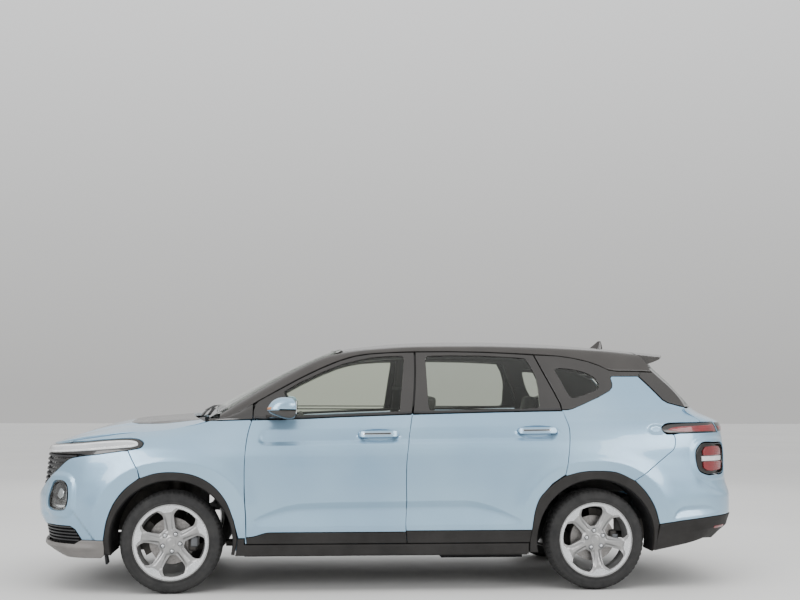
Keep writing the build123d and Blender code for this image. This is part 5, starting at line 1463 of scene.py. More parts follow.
F_ALL = [(0.484, 0.318), (0.483, 0.478), (0.475, 0.601), (0.469, 0.745), (0.470, 0.858), (0.482, 1.005), (0.502, 1.095), (0.5165, 1.1800), (0.5300, 1.2240),
         (0.600, 1.2735), (0.687, 1.3205), (0.821, 1.3945), (0.957, 1.4615), (1.092, 1.5185), (1.194, 1.5495), (1.296, 1.5665), (1.433, 1.5765),
         (1.6045, 1.5815), (1.6015, 1.450), (1.5935, 1.330), (1.5835, 1.235), (1.577, 1.166), (1.565, 1.106), (1.547, 0.982), (1.531, 0.843), (1.528, 0.713),
         (1.531, 0.548), (1.526, 0.434), (1.536, 0.318)]
R_ALL = [(1.536, 0.318), (1.526, 0.434), (1.531, 0.548), (1.528, 0.713), (1.531, 0.843), (1.547, 0.982), (1.565, 1.106), (1.577, 1.166), (1.5925, 1.235), (1.6025, 1.330),
         (1.6105, 1.450), (1.6135, 1.5825), (1.845, 1.5855), (2.053, 1.5835), (2.261, 1.5765), (2.4340, 1.5665), (2.4830, 1.4570), (2.5370, 1.3410), (2.5855, 1.2350),
         (2.5935, 1.1885), (2.613, 1.130), (2.628, 1.071), (2.622, 0.960), (2.607, 0.858), (2.590, 0.766), (2.500, 0.706), (2.462, 0.664), (2.417, 0.612),
         (2.387, 0.536), (2.364, 0.395), (2.352, 0.318)]


def ccw(poly):
    poly = np.asarray(poly, float)
    return poly if area2(poly) > 0 else poly[::-1]


def inset(poly, d, r=0.0, step=0.02):
    q = ccw(poly)
    if r:
        q = rounded(q, r, 4)
    return shrink(resample(q, step), d)


apF = inset(F_ALL, 0.030, 0.03)
apR = inset(R_ALL, 0.030, 0.03)
drip_up = [(a, float(DRIP2(a)) + 0.004) for a in np.linspace(2.46, 0.32, 26)]
frame_out = [(0.412, 0.262), (2.338, 0.262)]
frame_out += [(AXR + 0.452 * math.cos(a), 0.332 + 0.452 * math.sin(a)) for a in np.linspace(math.pi - 0.15, 0.35, 22)]
frame_out += [(3.235, 0.60), (3.235, 1.06), (3.300, 1.185), (3.200, 1.330), (3.130, 1.410), (3.060, 1.440), (2.889, 1.485), (2.714, 1.535), (2.560, 1.558)]
frame_out += drip_up
frame_out += [(0.345, 1.095), (0.420, 0.90), (0.430, 0.50)]
qg_in = [(2.560, 1.490), (2.660, 1.492), (2.740, 1.476), (2.816, 1.450), (2.880, 1.410), (2.895, 1.360), (2.870, 1.320), (2.800, 1.292), (2.727, 1.262), (2.672, 1.255), (2.640, 1.290)]
qg_in = soft_line([(2.580, 1.484), (2.660, 1.488), (2.740, 1.474), (2.816, 1.449), (2.876, 1.410), (2.888, 1.360), (2.866, 1.322), (2.800, 1.294), (2.727, 1.266), (2.676, 1.260), (2.636, 1.306), (2.592, 1.405)], 0.015, closed=True)
# door openings in the darker body blue below the belt: painted shade
pair("body_frame", frame_out, hinge_side(0.030, 0.0975), M["frame_shaded_two_tone"], BS, holes=[apF, apR, qg_in], grid=(0.06, 0.05), thick=0.075, r=0.003, gap=0.0, step=0.028,
     S_back=shell(0.106), flip=True, slot="structure", replaces=("body_side",))
trim_out = inset(frame_out, 0.006)
pair("pillar_trim", trim_out, shell(0.120), M["inner"], BS, holes=[inset(apF, -0.004), inset(apR, -0.004), inset(qg_in, -0.004)], grid=(0.08, 0.06), thick=0.013, r=0.005, gap=0.0,
     step=0.034, flip=False, slot="interior")
for nm, ap in (("front", apF), ("rear", apR)):
    pair("aperture_seal_" + nm, inset(ap, -0.010), hinge_side(0.0235, 0.0935), M["rubber"], BS, holes=[inset(ap, 0.003)], grid=(0.05, 0.05), thick=0.010, r=0.004, gap=0.0, step=0.038, flip=True, slot="liner")

for nm, ap, bodies, hx in (("front", F_ALL, DB_F, 1.0), ("rear", R_ALL, DB_R, 2.0)):
    lower = ccw(split_loop(ccw(ap), 1.150)[0])
    core = inset(lower, 0.036, 0.03)
    pair("door_core_" + nm, core, skin_xz(0.0165), M["frame_shaded_two_tone"], bodies, grid=(0.06, 0.018), thick=0.07, r=0.004, gap=0.0, step=0.025, S_back=shell(0.088), flip=True, slot="structure")
    low2 = ccw(split_loop(ccw(ap), 1.162)[0])
    tr = inset(low2, 0.039, 0.04)
    pocket_x = (0.56, 1.46) if nm == "front" else (1.62, 2.30)

    def trim_S(x, z, px=pocket_x):
        p = shell(0.112)(x, z)
        w = smooth(px[0], px[0] + 0.08, p[..., 0]) * (1 - smooth(px[1] - 0.08, px[1], p[..., 0]))
        q = p.copy()
        d = 0.022 * w * smooth(0.50, 0.56, p[..., 2]) * (1 - smooth(0.885, 0.92, p[..., 2]))
        q[..., 1] = p[..., 1] + d
        rise = 0.018 * smooth(1.0, 1.13, p[..., 2])
        q[..., 1] -= rise
        return q
    pair("door_trim_" + nm, tr, trim_S, M["inner"], bodies, grid=(0.028, 0.022), thick=0.022, r=0.006, gap=0.0, step=0.02, S_back=shell(0.090), flip=False, slot="interior",
         replaces=("door_" + nm,))
    a0, a1 = (0.72, 1.43) if nm == "front" else (1.72, 2.36)
    insert = rounded([(a0 - 0.06, 0.925), (a1 + 0.03, 0.935), (a1 + 0.01, 1.062), (a0 - 0.02, 1.052)], 0.03, 4)
    pair("door_insert_" + nm, insert, trim_S, M["fabric"], bodies, grid=(0.02, 0.02), thick=0.012, r=0.006, gap=0.0, proud=0.008, flip=False, slot="fabric")

    def rest_S(x, z, a0=a0, a1=a1):
        p = trim_S(x, z)
        q = p.copy()
        t = (p[..., 0] - a0) / (a1 - a0)
        h = smooth(0.0, 0.10, t) * (1 - smooth(0.93, 1.0, t))
        u = (p[..., 2] - 0.845) / 0.085
        q[..., 1] = p[..., 1] - 0.058 * h * np.sqrt(np.clip(1 - (2 * u - 1) ** 4, 0, 1))
        return q
    pair("armrest_" + nm, rounded([(a0, 0.850), (a1, 0.850), (a1, 0.925), (a0, 0.925)], 0.02, 4), rest_S, M["inner_dark"], bodies, grid=(0.012, 0.006), thick=0.01, r=0.003, gap=0.0,
         step=0.01, flip=False, slot="interior")
    hz = 0.985
    hx0 = a0 + 0.02
    pair("inner_handle_" + nm, rounded([(hx0, hz - 0.018), (hx0 + 0.115, hz - 0.014), (hx0 + 0.115, hz + 0.014), (hx0, hz + 0.018)], 0.010, 4), trim_S, M["chrome"], bodies, grid=(0.02, 0.01), thick=0.012, r=0.004,
         gap=0.0, proud=0.026, flip=False, slot="steel")
    spk = [(a0 - 0.03 + 0.082 * math.cos(a), 0.655 + 0.082 * math.sin(a)) for a in np.linspace(0, 2 * math.pi, 33)[:-1]]
    pair("door_speaker_" + nm, spk, trim_S, M["inner_dark"], bodies, grid=(0.012, 0.012), thick=0.010, r=0.005, gap=0.0, step=0.012, proud=0.006, flip=False, slot="interior")
    pk = [(a0 + 0.10, 0.46), (a1, 0.46), (a1 + 0.01, 0.62), (a0 + 0.12, 0.60)]
    pair("door_pocket_" + nm, rounded(pk, 0.03, 4), trim_S, M["inner_dark"], bodies, grid=(0.03, 0.03), thick=0.012, r=0.006, gap=0.0, proud=0.045, flip=False, slot="interior")
    # sill plate of the window and inner frame cover
    upper = ccw(split_loop(ccw(ap), 1.158)[1])
    hole = fg if nm == "front" else rg
    pair("frame_cover_" + nm, inset(upper, 0.037), lambda x, z: green(x, z) - np.array([0, 0.0225, 0]), M["inner_dark"], bodies, holes=[inset(hole, -0.006)], grid=(0.03, 0.03), thick=0.012, r=0.003, gap=0.0, step=0.02,
         flip=True, slot="interior")

# ------------------------------------------------------------------ hood and cowl
edge_z = mono([(0.0, 0.950), (0.2, 0.951), (0.4, 0.954), (0.6, 0.961), (0.7, 0.967), (0.8, 0.976), (0.9, 0.986), (1.0, 0.999), (1.115, 1.0135)])
hood_half = [tuple(side(a, float(edge_z(a)))[:2]) for a in np.linspace(0, 1.11, 24)]
hood_half += [tuple(side(float(s_of_x(a)), b)[:2]) for a, b in soft_line(HOODLINE, 0.03) if a < 0.200] + [tuple(side(float(s_of_x(0.203)), 1.1075)[:2])]
hood_half = [(a, b) for a, b in hood_half]
xr = hood_half[-1][0]
yr = hood_half[-1][1]
rear_curve = lambda y: 0.075 + (xr - 0.075) * (abs(y) / yr) ** 2.2 if abs(y) < yr else xr
hood_half += [(rear_curve(y), y) for y in np.linspace(yr - 0.03, 0.0, 20)]
hood_out = np.array(hood_half + [(a, -b) for a, b in hood_half[::-1] if b > 1e-3])
slab("hood_skin", hood_out, hood, M["paint"], "hood", grid=(0.024, 0.020), thick=0.020, r=0.004, gap=0.0022, step=0.012, side_y=1, slot="paint", replaces=("hood",))
hood_in = inset(hood_out, 0.045)


def hood_inner(x, y):
    p = hood(x, y)
    rib = 0.5 + 0.5 * np.cos(np.clip(np.abs(y) - 0.30, -0.14, 0.14) / 0.14 * math.pi)
    cross = 0.5 + 0.5 * np.cos(np.clip(x + 0.42, -0.12, 0.12) / 0.12 * math.pi)
    q = p.copy()
    q[..., 2] = p[..., 2] - 0.032 + 0.010 * np.maximum(rib, cross)
    return q


# hood frame in the darker inner blue: painted shade under the hood
slab("hood_frame", hood_in, hood_inner, M["inner_paint_shaded"], "hood", grid=(0.036, 0.036), thick=0.010, r=0.003, gap=0.0, step=0.02, side_y=1, slot="structure", flip=False)
patch_half = [(-0.322, 0.0), (-0.322, 0.44), (-0.316, 0.50), (-0.296, 0.545), (-0.26, 0.578), (-0.10, 0.615), (0.10, 0.640)] + [(rear_curve(y) - 0.006, y) for y in (0.66, 0.60, 0.5, 0.4, 0.3, 0.2, 0.1, 0.0)]
patch = np.array(patch_half + [(a, -b) for a, b in patch_half[::-1] if b > 1e-3])
slab("hood_patch", inset(patch, 0.0, 0.02), hood, M["roof"], "hood", grid=(0.03, 0.03), thick=0.0035, r=0.001, gap=0.0, step=0.015, side_y=1, proud=0.0012, slot="black_paint")


def cowl(x, y):
    x, y = np.broadcast_arrays(np.asarray(x, float), np.asarray(y, float))
    z = 1.118 - 0.085 * (np.abs(y) / 0.78) ** 2 + 0.10 * (x - 0.10)
    return np.stack([x, y, z], -1)


base_x = lambda y: 0.186 + 0.05 * (abs(y) / 0.7) ** 2
cowl_half = [(rear_curve(y) - 0.03, y) for y in np.linspace(0, 0.80, 18)] + [(base_x(y) + 0.03, y) for y in np.linspace(0.745, 0, 14)]
cowl_out = np.array(cowl_half + [(a, -b) for a, b in cowl_half[::-1] if b > 1e-3])
slab("cowl_panel", cowl_out, cowl, M["trim"], grid=(0.02, 0.03), thick=0.018, r=0.004, gap=0.0, step=0.02, side_y=1, slot="interior")


def cowl_side(x, v):
    """Strip between the top of the fender and the foot of the pillar; v 0 to 0.1."""
    x, v = np.broadcast_arrays(np.asarray(x, float), np.asarray(v, float))
    q = v * 10
    zt = np.interp(x, [0.20, 0.30, 0.40, 0.50, 0.52], [1.110, 1.1185, 1.1215, 1.1245, 1.1250])
    a = side(s_of_x(x), zt)
    zb = np.interp(x, [0.20, 0.29, 0.36, 0.42, 0.50, 0.52], [1.120, 1.124, 1.142, 1.172, 1.221, 1.232])
    b = green(x, zb)
    p = a * (1 - q[..., None]) + b * q[..., None]
    p[..., 0] = x
    p[..., 2] += 0.010 * np.sin(np.pi * np.clip(q, 0, 1))
    p[..., 1] += 0.006 * np.sin(np.pi * np.clip(q, 0, 1))
    return p


slab("cowl_sides", [(0.2215, 0.002), (0.5135, 0.002), (0.5135, 0.098), (0.2215, 0.098)], cowl_side, M["gloss"], grid=(0.02, 0.01), thick=0.016, r=0.003, gap=0.0005, both=True, step=0.012, flip=True, slot="gloss_black")

# wipers: arm and blade as flat tapered bars lying on the glass
for k, (y0, y1, x_off) in enumerate(((-0.57, -0.02, 0.0), (0.02, 0.56, 0.0))):
    n = 16
    V, F = [], []
    for i in range(n + 1):
        t = i / n
        yy = y0 + (y1 - y0) * t
        tt = 0.035 + 0.045 * math.sin(math.pi * (0.15 + 0.7 * t))
        P0 = screen(tt, yy)
        N0 = normals_of(screen, np.array([[tt, yy]]))[0]
        if N0[2] < 0:
            N0 = -N0
        for d, h in ((-0.008, 0.006), (-0.008, 0.020), (0.008, 0.020), (0.008, 0.006)):
            q = screen(tt + d, yy) + N0 * h
            V.append((q[0] + OX, q[1], q[2]))
    for i in range(n):
        a = 4 * i
        for j in range(4):
            F.append((a + j, a + (j + 1) % 4, a + 4 + (j + 1) % 4, a + 4 + j))
    F.append((0, 3, 2, 1))
    F.append((4 * n, 4 * n + 1, 4 * n + 2, 4 * n + 3))
    finish_piece(make_mesh("wiper_blade_%d" % (k + 1), V, F, smooth_shade=False), M["rubber"], "body_shell")
    V, F = [], []
    yb = y0 + 0.02
    for i in range(n + 1):
        t = i / n
        yy = yb + (0.30 if k == 0 else 0.30) * t
        tt = 0.004 + 0.085 * t
        P0 = screen(max(tt, 0.0), yy)
        N0 = normals_of(screen, np.array([[max(tt, 0.002), yy]]))[0]
        if N0[2] < 0:
            N0 = -N0
        w = 0.011 - 0.005 * t
        for d, h in ((-w, 0.018), (-w, 0.030), (w, 0.030), (w, 0.018)):
            q = screen(max(tt + d, 0), yy) + N0 * (h + 0.006 * math.sin(math.pi * t))
            V.append((q[0] + OX, q[1], q[2]))
    for i in range(n):
        a = 4 * i
        for j in range(4):
            F.append((a + j, a + (j + 1) % 4, a + 4 + (j + 1) % 4, a + 4 + j))
    F.append((0, 3, 2, 1))
    F.append((4 * n, 4 * n + 1, 4 * n + 2, 4 * n + 3))
    finish_piece(make_mesh("wiper_arm_%d" % (k + 1), V, F, smooth_shade=False), M["trim"], "body_shell")

# ------------------------------------------------------------------ nose


def full(half):
    """Mirror a half outline given from the centre line outwards and back."""
    h = [tuple(p) for p in half]
    return np.array(h + [(-a, b) for a, b in h[::-1] if abs(a) > 1e-6])


def side_x(fn):
    return lambda s, z: side(s, z, extra=fn)


LAMP = soft_line([(0.7475, 0.560), (0.751, 0.640), (0.774, 0.708), (0.800, 0.7235), (0.880, 0.7240), (0.912, 0.702), (0.926, 0.662), (0.9265, 0.590), (0.912, 0.552), (0.884, 0.5325),
                  (0.790, 0.5305), (0.756, 0.541)], 0.008, closed=True)


def nose_extra(q, x, z):
    s = np.abs(q)
    # raised frame round the low lamp
    u = (s - 0.835) / 0.122
    w = (z - 0.628) / 0.128
    d = (np.abs(u) ** 3.2 + np.abs(w) ** 3.2 + 1e-9) ** (1 / 3.2)
    out = -0.009 * (1 - smooth(1.0, 1.22, d))
    # facet that falls from the lamp to the side intake
    line = (s - 0.935) * 0.78 - (0.545 - z) * 0.62
    out = out + 0.013 * (1 - smooth(0.0, 0.018, line)) * (1 - smooth(0.50, 0.56, z)) * smooth(0.60, 0.72, s)
    # crease that would run down from the end of the grille; its term is multiplied by zero, so it adds nothing
    line2 = (s - 0.80) * 0.42 + (z - 0.80) * 0.91
    out = out + 0.006 * (1 - smooth(0.0, 0.016, np.abs(line2))) * 0
    # hollow centre under the grille for the plate
    out = out + 0.006 * (1 - smooth(0.30, 0.34, s)) * smooth(0.435, 0.45, z) * (1 - smooth(0.575, 0.59, z))
    return out


NOSE = side_x(nose_extra)
GR = [(0.598, 0.0), (0.606, 0.40), (0.640, 0.52), (0.695, 0.62), (0.753, 0.730), (0.802, 0.814), (0.836, 0.862), (0.866, 0.914), (0.881, 0.986), (0.891, 1.061), (0.899, 1.132), (0.909, 1.201), (0.9225, 1.30)]
grille_low = soft_line([(b, a) for a, b in GR], 0.02)
bumper_half = list(map(tuple, grille_low)) + [(1.327, 0.922), (1.343, 0.888), (1.380, 0.825), (1.394, 0.806)]
bumper_half += [tuple(p) for p in soft_line(sx([(-0.207, 0.747), (-0.300, 0.6735), (-0.368, 0.585), (-0.4145, 0.4725), (-0.4385, 0.360)]), 0.015)]
bumper_half += [(float(s_of_x(-0.440)), 0.3435), (1.010, 0.3420), (1.0035, 0.3520), (0.962, 0.4105), (0.922, 0.4300), (0.761, 0.4300), (0.40, 0.4300), (0.0, 0.4300)]
slab("front_bumper_skin", full(bumper_half), NOSE, M["paint"], holes=[LAMP, np.array([(-a, b) for a, b in LAMP])], grid=(0.014, 0.010), thick=0.018, r=0.003, gap=0.0012, step=0.011,
     side_y=1, flip=True, slot="paint", replaces=("front_bumper",))

# dark housing behind the running lights and the grille
DRL_T = [(0.0, 0.9475), (0.40, 0.9505), (0.60, 0.9570), (0.673, 0.9610), (0.80, 0.9680), (0.942, 0.9745), (1.101, 0.9885), (1.250, 0.9990), (1.341, 1.0015), (1.391, 0.9925), (1.418, 0.9725), (1.409, 0.9480), (1.372, 0.9360), (1.320, 0.9255)]
drl_t = soft_line(DRL_T, 0.012)
house_half = [(0.0, 0.596)] + [tuple(p + np.array([0, -0.0])) for p in grille_low] + [(1.320, 0.9255)]
house_half = list(map(tuple, grille_low))[::1] + list(map(tuple, drl_t[::-1]))
slab("nose_housing", full(house_half), side_x(lambda q, x, z: 0.012 + 0.026 * (1 - smooth(0.885, 0.897, z)) * (1 - smooth(0.98, 1.04, np.abs(q)))), M["gloss"], grid=(0.024, 0.012), thick=0.03, r=0.003, gap=0.0006,
     step=0.012, side_y=1, flip=True, slot="gloss_black", replaces=("grille", "headlamps"))
# fins
gr_z = np.array([a for a, b in GR])
gr_s = np.array([b for a, b in GR])
for k, zc in enumerate(np.arange(0.630, 0.888, 0.0315)):
    e = float(np.interp(zc - 0.006, gr_z, gr_s)) - 0.014
    e = min(e, 0.99)
    m = 0.0065
    strip = [(-e, zc - m), (e, zc - m), (e + 0.012, zc + m), (-e - 0.012, zc + m)]
    slab("grille_fin_%d" % (k + 1), strip, side_x(lambda q, x, z: 0.012), M["trim"], grid=(0.03, 0.006), thick=0.026, r=0.004, gap=0.0, step=0.02, side_y=1, flip=True, slot="gloss_black")
# bright teeth between the fins
V, F = [], []
for k, zc in enumerate(np.arange(0.646, 0.880, 0.0315)):
    e = float(np.interp(zc - 0.010, gr_z, gr_s)) - 0.03
    n = int(min(e, 0.93) / 0.060)
    for i in range(-n, n + 1):
        s0 = (i + (0.5 if k % 2 else 0.0)) * 0.060
        if abs(s0) > min(e, 0.93):
            continue
        base = len(V)
        for ds, dz, dd in ((-0.010, 0, 0), (0, -0.006, 0), (0.010, 0, 0), (0, 0.006, 0), (0, 0, -0.008)):
            p = side(s0 + ds, zc + dz, extra=lambda q, x, z: 0.030 + dd)
            V.append((p[0] + OX, p[1], p[2]))
        F += [(base, base + 1, base + 4), (base + 1, base + 2, base + 4), (base + 2, base + 3, base + 4), (base + 3, base, base + 4), (base + 3, base + 2, base + 1, base)]
finish_piece(make_mesh("grille_studs", V, [f[::-1] for f in F], smooth_shade=False), M["chrome"], "body_shell")

DRL = [(0.34, 0.905), (0.55, 0.9035), (0.673, 0.9050), (0.80, 0.9090), (0.942, 0.9160), (1.061, 0.9235), (1.201, 0.9345), (1.30, 0.9430), (1.358, 0.9500), (1.386, 0.9620), (1.380, 0.9790), (1.341, 0.9900),
       (1.250, 0.9905), (1.101, 0.9800), (0.942, 0.9660), (0.80, 0.9590), (0.673, 0.9520), (0.55, 0.9475), (0.36, 0.943)]
drl = soft_line(DRL, 0.010, closed=True)
pair("running_light", drl, side_x(lambda q, x, z: 0.0045), M["white_lens"], BS, grid=(0.012, 0.008), thick=0.016, r=0.005, gap=0.0, step=0.010, flip=True, slot="lamp_clear")
pair("running_light_core", shrink(drl, 0.013), side_x(lambda q, x, z: 0.0032), M["reflector"], BS, grid=(0.02, 0.008), thick=0.003, r=0.001, gap=0.0, step=0.012, flip=True, slot="lamp_clear")
slab("nose_garnish", [(-0.325, 0.925), (0.325, 0.925), (0.325, 0.931), (-0.325, 0.931)], side_x(lambda q, x, z: 0.008), M["chrome"], grid=(0.03, 0.006), thick=0.010, r=0.002, gap=0.0, step=0.02, side_y=1, flip=True, slot="steel")

# low lamps in their wells
lamp_big = shrink(LAMP, -0.010)
pair("low_lamp_well", lamp_big, side_x(lambda q, x, z: 0.052), M["gloss"], BS, grid=(0.02, 0.02), thick=0.010, r=0.003, gap=0.0, step=0.010, flip=True, slot="gloss_black")
pair("low_lamp_rim", lamp_big, NOSE, M["gloss"], BS, holes=[shrink(LAMP, 0.006)], grid=(0.01, 0.01), thick=0.050, r=0.004, gap=0.0, proud=-0.006, step=0.010, flip=True, slot="gloss_black")
LL = [(0.888, 0.566), (0.888, 0.700), (0.906, 0.692), (0.918, 0.662), (0.918, 0.592), (0.905, 0.556), (0.880, 0.540), (0.792, 0.538), (0.763, 0.546), (0.757, 0.566)]
pair("low_lamp_lens", rounded(LL, 0.006, 3), side_x(lambda q, x, z: 0.022), M["reflector"], BS, grid=(0.008, 0.008), thick=0.028, r=0.005, gap=0.0, step=0.007, flip=True, slot="lamp_clear")
bulb = [(0.824 + 0.036 * math.cos(a), 0.640 + 0.036 * math.sin(a)) for a in np.linspace(0, 2 * math.pi, 25)[:-1]]
pair("low_lamp_projector", bulb, side_x(lambda q, x, z: 0.030), M["chrome"], BS, grid=(0.01, 0.01), thick=0.022, r=0.008, gap=0.0, step=0.008, flip=True, slot="lamp_clear")
pair("low_lamp_cover", shrink(LAMP, 0.006), side_x(lambda q, x, z: 0.006), M["clear"], BS, grid=(0.02, 0.02), thick=0.0032, r=0.0008, gap=0.0, step=0.010, flip=True, slot="lamp_clear")

# lower intake
intake_half = [(0.0, 0.438), (0.77, 0.438), (0.930, 0.436), (0.972, 0.414), (1.014, 0.350), (1.004, 0.332), (0.966, 0.310), (0.0, 0.308)]
slab("intake_back", full(intake_half), side_x(lambda q, x, z: 0.040), M["dark"], grid=(0.04, 0.03), thick=0.016, r=0.004, gap=0.0, step=0.02, side_y=1, flip=True, slot="liner")
for k, zc in enumerate((0.337, 0.358, 0.379, 0.400, 0.421)):
    e = float(np.interp(zc, [0.32, 0.350, 0.408, 0.43], [0.975, 0.998, 0.958, 0.925])) - 0.004
    slab("intake_fin_%d" % (k + 1), [(-e - 0.002, zc - 0.0052), (e + 0.002, zc - 0.0052), (e - 0.002, zc + 0.0052), (-e + 0.002, zc + 0.0052)], side_x(lambda q, x, z: 0.014), M["trim"], grid=(0.03, 0.006), thick=0.028,
         r=0.003, gap=0.0, step=0.02, side_y=1, flip=True, slot="cladding")


def lip_extra(q, x, z):
    s = np.abs(q)
    front = 1 - smooth(1.03, 1.16, s)
    return -0.014 * np.exp(-((z - 0.292) / 0.020) ** 2) * front - 0.004 + 0.10 * np.clip(0.262 - z, 0, 1) * front


lip_half = [(0.0, 0.3175), (0.958, 0.3175), (0.992, 0.3345), (1.006, 0.3405), (float(s_of_x(-0.440)), 0.3420), (float(s_of_x(-0.4345)), 0.300), (float(s_of_x(-0.4345)), 0.248), (1.150, 0.226), (0.974, 0.220), (0.5, 0.206), (0.0, 0.200)]
# lip in the light grey that is part own colour, part painted highlight of its lit top
slab("front_lip", full(lip_half), side_x(lip_extra), M["clad_soft"], grid=(0.014, 0.007), thick=0.020, r=0.005, gap=0.001, step=0.010, side_y=1, flip=True, slot="cladding")
slab("front_plate_base", rounded([(-0.225, 0.443), (0.225, 0.443), (0.225, 0.578), (-0.225, 0.578)], 0.008, 3), NOSE, M["trim"], grid=(0.03, 0.03), thick=0.012, r=0.003, gap=0.0, proud=0.004, step=0.02,
     side_y=1, flip=True, slot="cladding")
slab("front_plate", rounded([(-0.22, 0.447), (0.22, 0.447), (0.22, 0.574), (-0.22, 0.574)], 0.008, 3), NOSE, M["plate"], grid=(0.03, 0.03), thick=0.0030, r=0.001, gap=0.0, proud=0.0062, step=0.02,
     side_y=1, flip=True, slot="steel")
# air guide under the bumper, ahead of the wheel
for nm, sy in (("left", -1), ("right", 1)):
    V = [(-0.428, 0.70, 0.250), (-0.412, 0.868, 0.256), (-0.404, 0.862, 0.192), (-0.416, 0.70, 0.186),
         (-0.440, 0.70, 0.250), (-0.424, 0.872, 0.256), (-0.416, 0.866, 0.192), (-0.428, 0.70, 0.186)]
    F = [(0, 1, 2, 3), (7, 6, 5, 4), (4, 5, 1, 0), (5, 6, 2, 1), (6, 7, 3, 2), (7, 4, 0, 3)]
    if sy > 0:
        F = [f[::-1] for f in F]
    finish_piece(make_mesh("air_guide_" + nm, [(a + OX, sy * b, c) for a, b, c in V], F, smooth_shade=False), M["dark"], "body_shell")
# undertray behind the lip
slab("front_undertray", full([(0.0, -0.862), (0.45, -0.80), (0.60, -0.72), (0.66, -0.50), (0.66, -0.43), (0.0, -0.43)]),
     lambda u, v: np.stack(np.broadcast_arrays(np.asarray(v, float), np.asarray(u, float), 0.222 + 0.02 * (np.asarray(v, float) + 0.43) * 0 + 0 * np.asarray(u, float)), -1), M["dark"], grid=(0.06, 0.06), thick=0.006, r=0.002,
     gap=0.0, step=0.03, side_y=1, slot="liner")

# ------------------------------------------------------------------ rear: bumper, lamps, tailgate below the glass
TS = STOT


def full_rear(half):
    """Mirror a half outline about the rear centre line (arc length TS)."""
    h = [tuple(p) for p in half]
    for i in range(len(h)):
        if abs(h[i][0] - TS) < 1e-6 and abs(h[(i + 1) % len(h)][0] - TS) < 1e-6:
            h = h[i + 1:] + h[:i + 1]
            break
    return np.array(h + [(2 * TS - a, b) for a, b in h[::-1] if abs(a - TS) > 1e-6])


LOW_T = soft_line([(5.128, 0.830), (5.127, 0.912), (5.150, 0.945), (5.186, 0.9715), (5.308, 0.9735), (5.420, 0.9690), (5.462, 0.948), (5.482, 0.905), (5.478, 0.810), (5.455, 0.776), (5.400, 0.756), (5.276, 0.7525),
                   (5.219, 0.7525), (5.150, 0.780)], 0.010, closed=True)
_hz = mono([(3.25, 0.459), (3.318, 0.462), (3.345, 0.505), (3.378, 0.534), (3.41, 0.5475), (3.56, 0.552), (3.66, 0.523), (3.72, 0.500)])


def tail_extra(q, x, z):
    s = np.where(q > TS, 2 * TS - q, q)
    # swept recess low on the corner
    zt, zb = _hz(x), 0.4605 + 0.10 * (x - 3.32)
    H = np.maximum(zt - zb, 0.004)
    D = 0.017 * np.clip(H / 0.06, 0, 1)
    zk = zt - 0.30 * H
    d = (ramp(zt - z, 0.008) - ramp(zk - z, 0.010)) / (0.30 * H) * D - (ramp(zk - z, 0.010) - ramp(zb - z, 0.008)) / (0.70 * H) * D
    out = d * smooth(3.29, 3.36, x) * (1 - smooth(3.63, 3.70, x))
    # facet below the low lamp
    line = (z - 0.752) + 0.62 * (x - 3.56)
    out = out + 0.012 * smooth(0.0, 0.050, -line) * smooth(3.50, 3.56, x) * smooth(0.60, 0.66, z) * (1 - smooth(5.9, 6.0, s)) * smooth(-0.11, -0.03, line) * 1.0
    # raised frame round the low lamp
    u = (s - 5.303) / 0.190
    w = (z - 0.862) / 0.128
    dd = (np.abs(u) ** 3.4 + np.abs(w) ** 3.4 + 1e-9) ** (1 / 3.4)
    return out - 0.006 * (1 - smooth(1.0, 1.20, dd))


TAIL = side_x(tail_extra)
rear_half = [tuple(p) for p in soft_line(sx([(3.063, 0.724), (3.150, 0.782), (3.237, 0.846), (3.300, 0.893), (3.345, 0.928), (3.360, 0.962), (3.362, 1.004), (3.354, 1.028)]), 0.012)]
rear_half += [(5.009, 1.0345), (5.150, 1.0375), (5.295, 1.0395), (5.405, 1.0385), (5.485, 1.0040), (5.512, 0.960), (5.540, 0.756), (5.580, 0.7275), (5.80, 0.7225), (TS, 0.7225)]
rear_half += [(TS, 0.4845), (5.45, 0.4825), (5.258, 0.4755), (5.010, 0.4530), (4.845, 0.4320)]
rear_half += [tuple(p) for p in soft_line(sx([(3.232, 0.442), (3.198, 0.546), (3.141, 0.641), (3.063, 0.7225)]), 0.015)][:-1]
slab("rear_bumper_skin", full_rear(rear_half), TAIL, M["paint"], holes=[LOW_T, np.array([(2 * TS - a, b) for a, b in LOW_T])], grid=(0.016, 0.0095), thick=0.018, r=0.003, gap=0.0014, step=0.010,
     side_y=1, flip=True, slot="paint", replaces=("rear_bumper",))

crease_z = lambda q: np.interp(np.where(q > TS, 2 * TS - q, q), [4.8, 5.26, 5.6, TS], [0.338, 0.398, 0.405, 0.405])


def rear_low_extra(q, x, z):
    zc = crease_z(q)
    s = np.where(q > TS, 2 * TS - q, q)
    k = 0.10 + 0.75 * smooth(5.05, 5.35, s)
    b = base_off(x, np.maximum(z, 0.36)) - base_off(x, z)
    return -0.004 + k * np.clip(zc - z, 0, 1) + b * 0.6


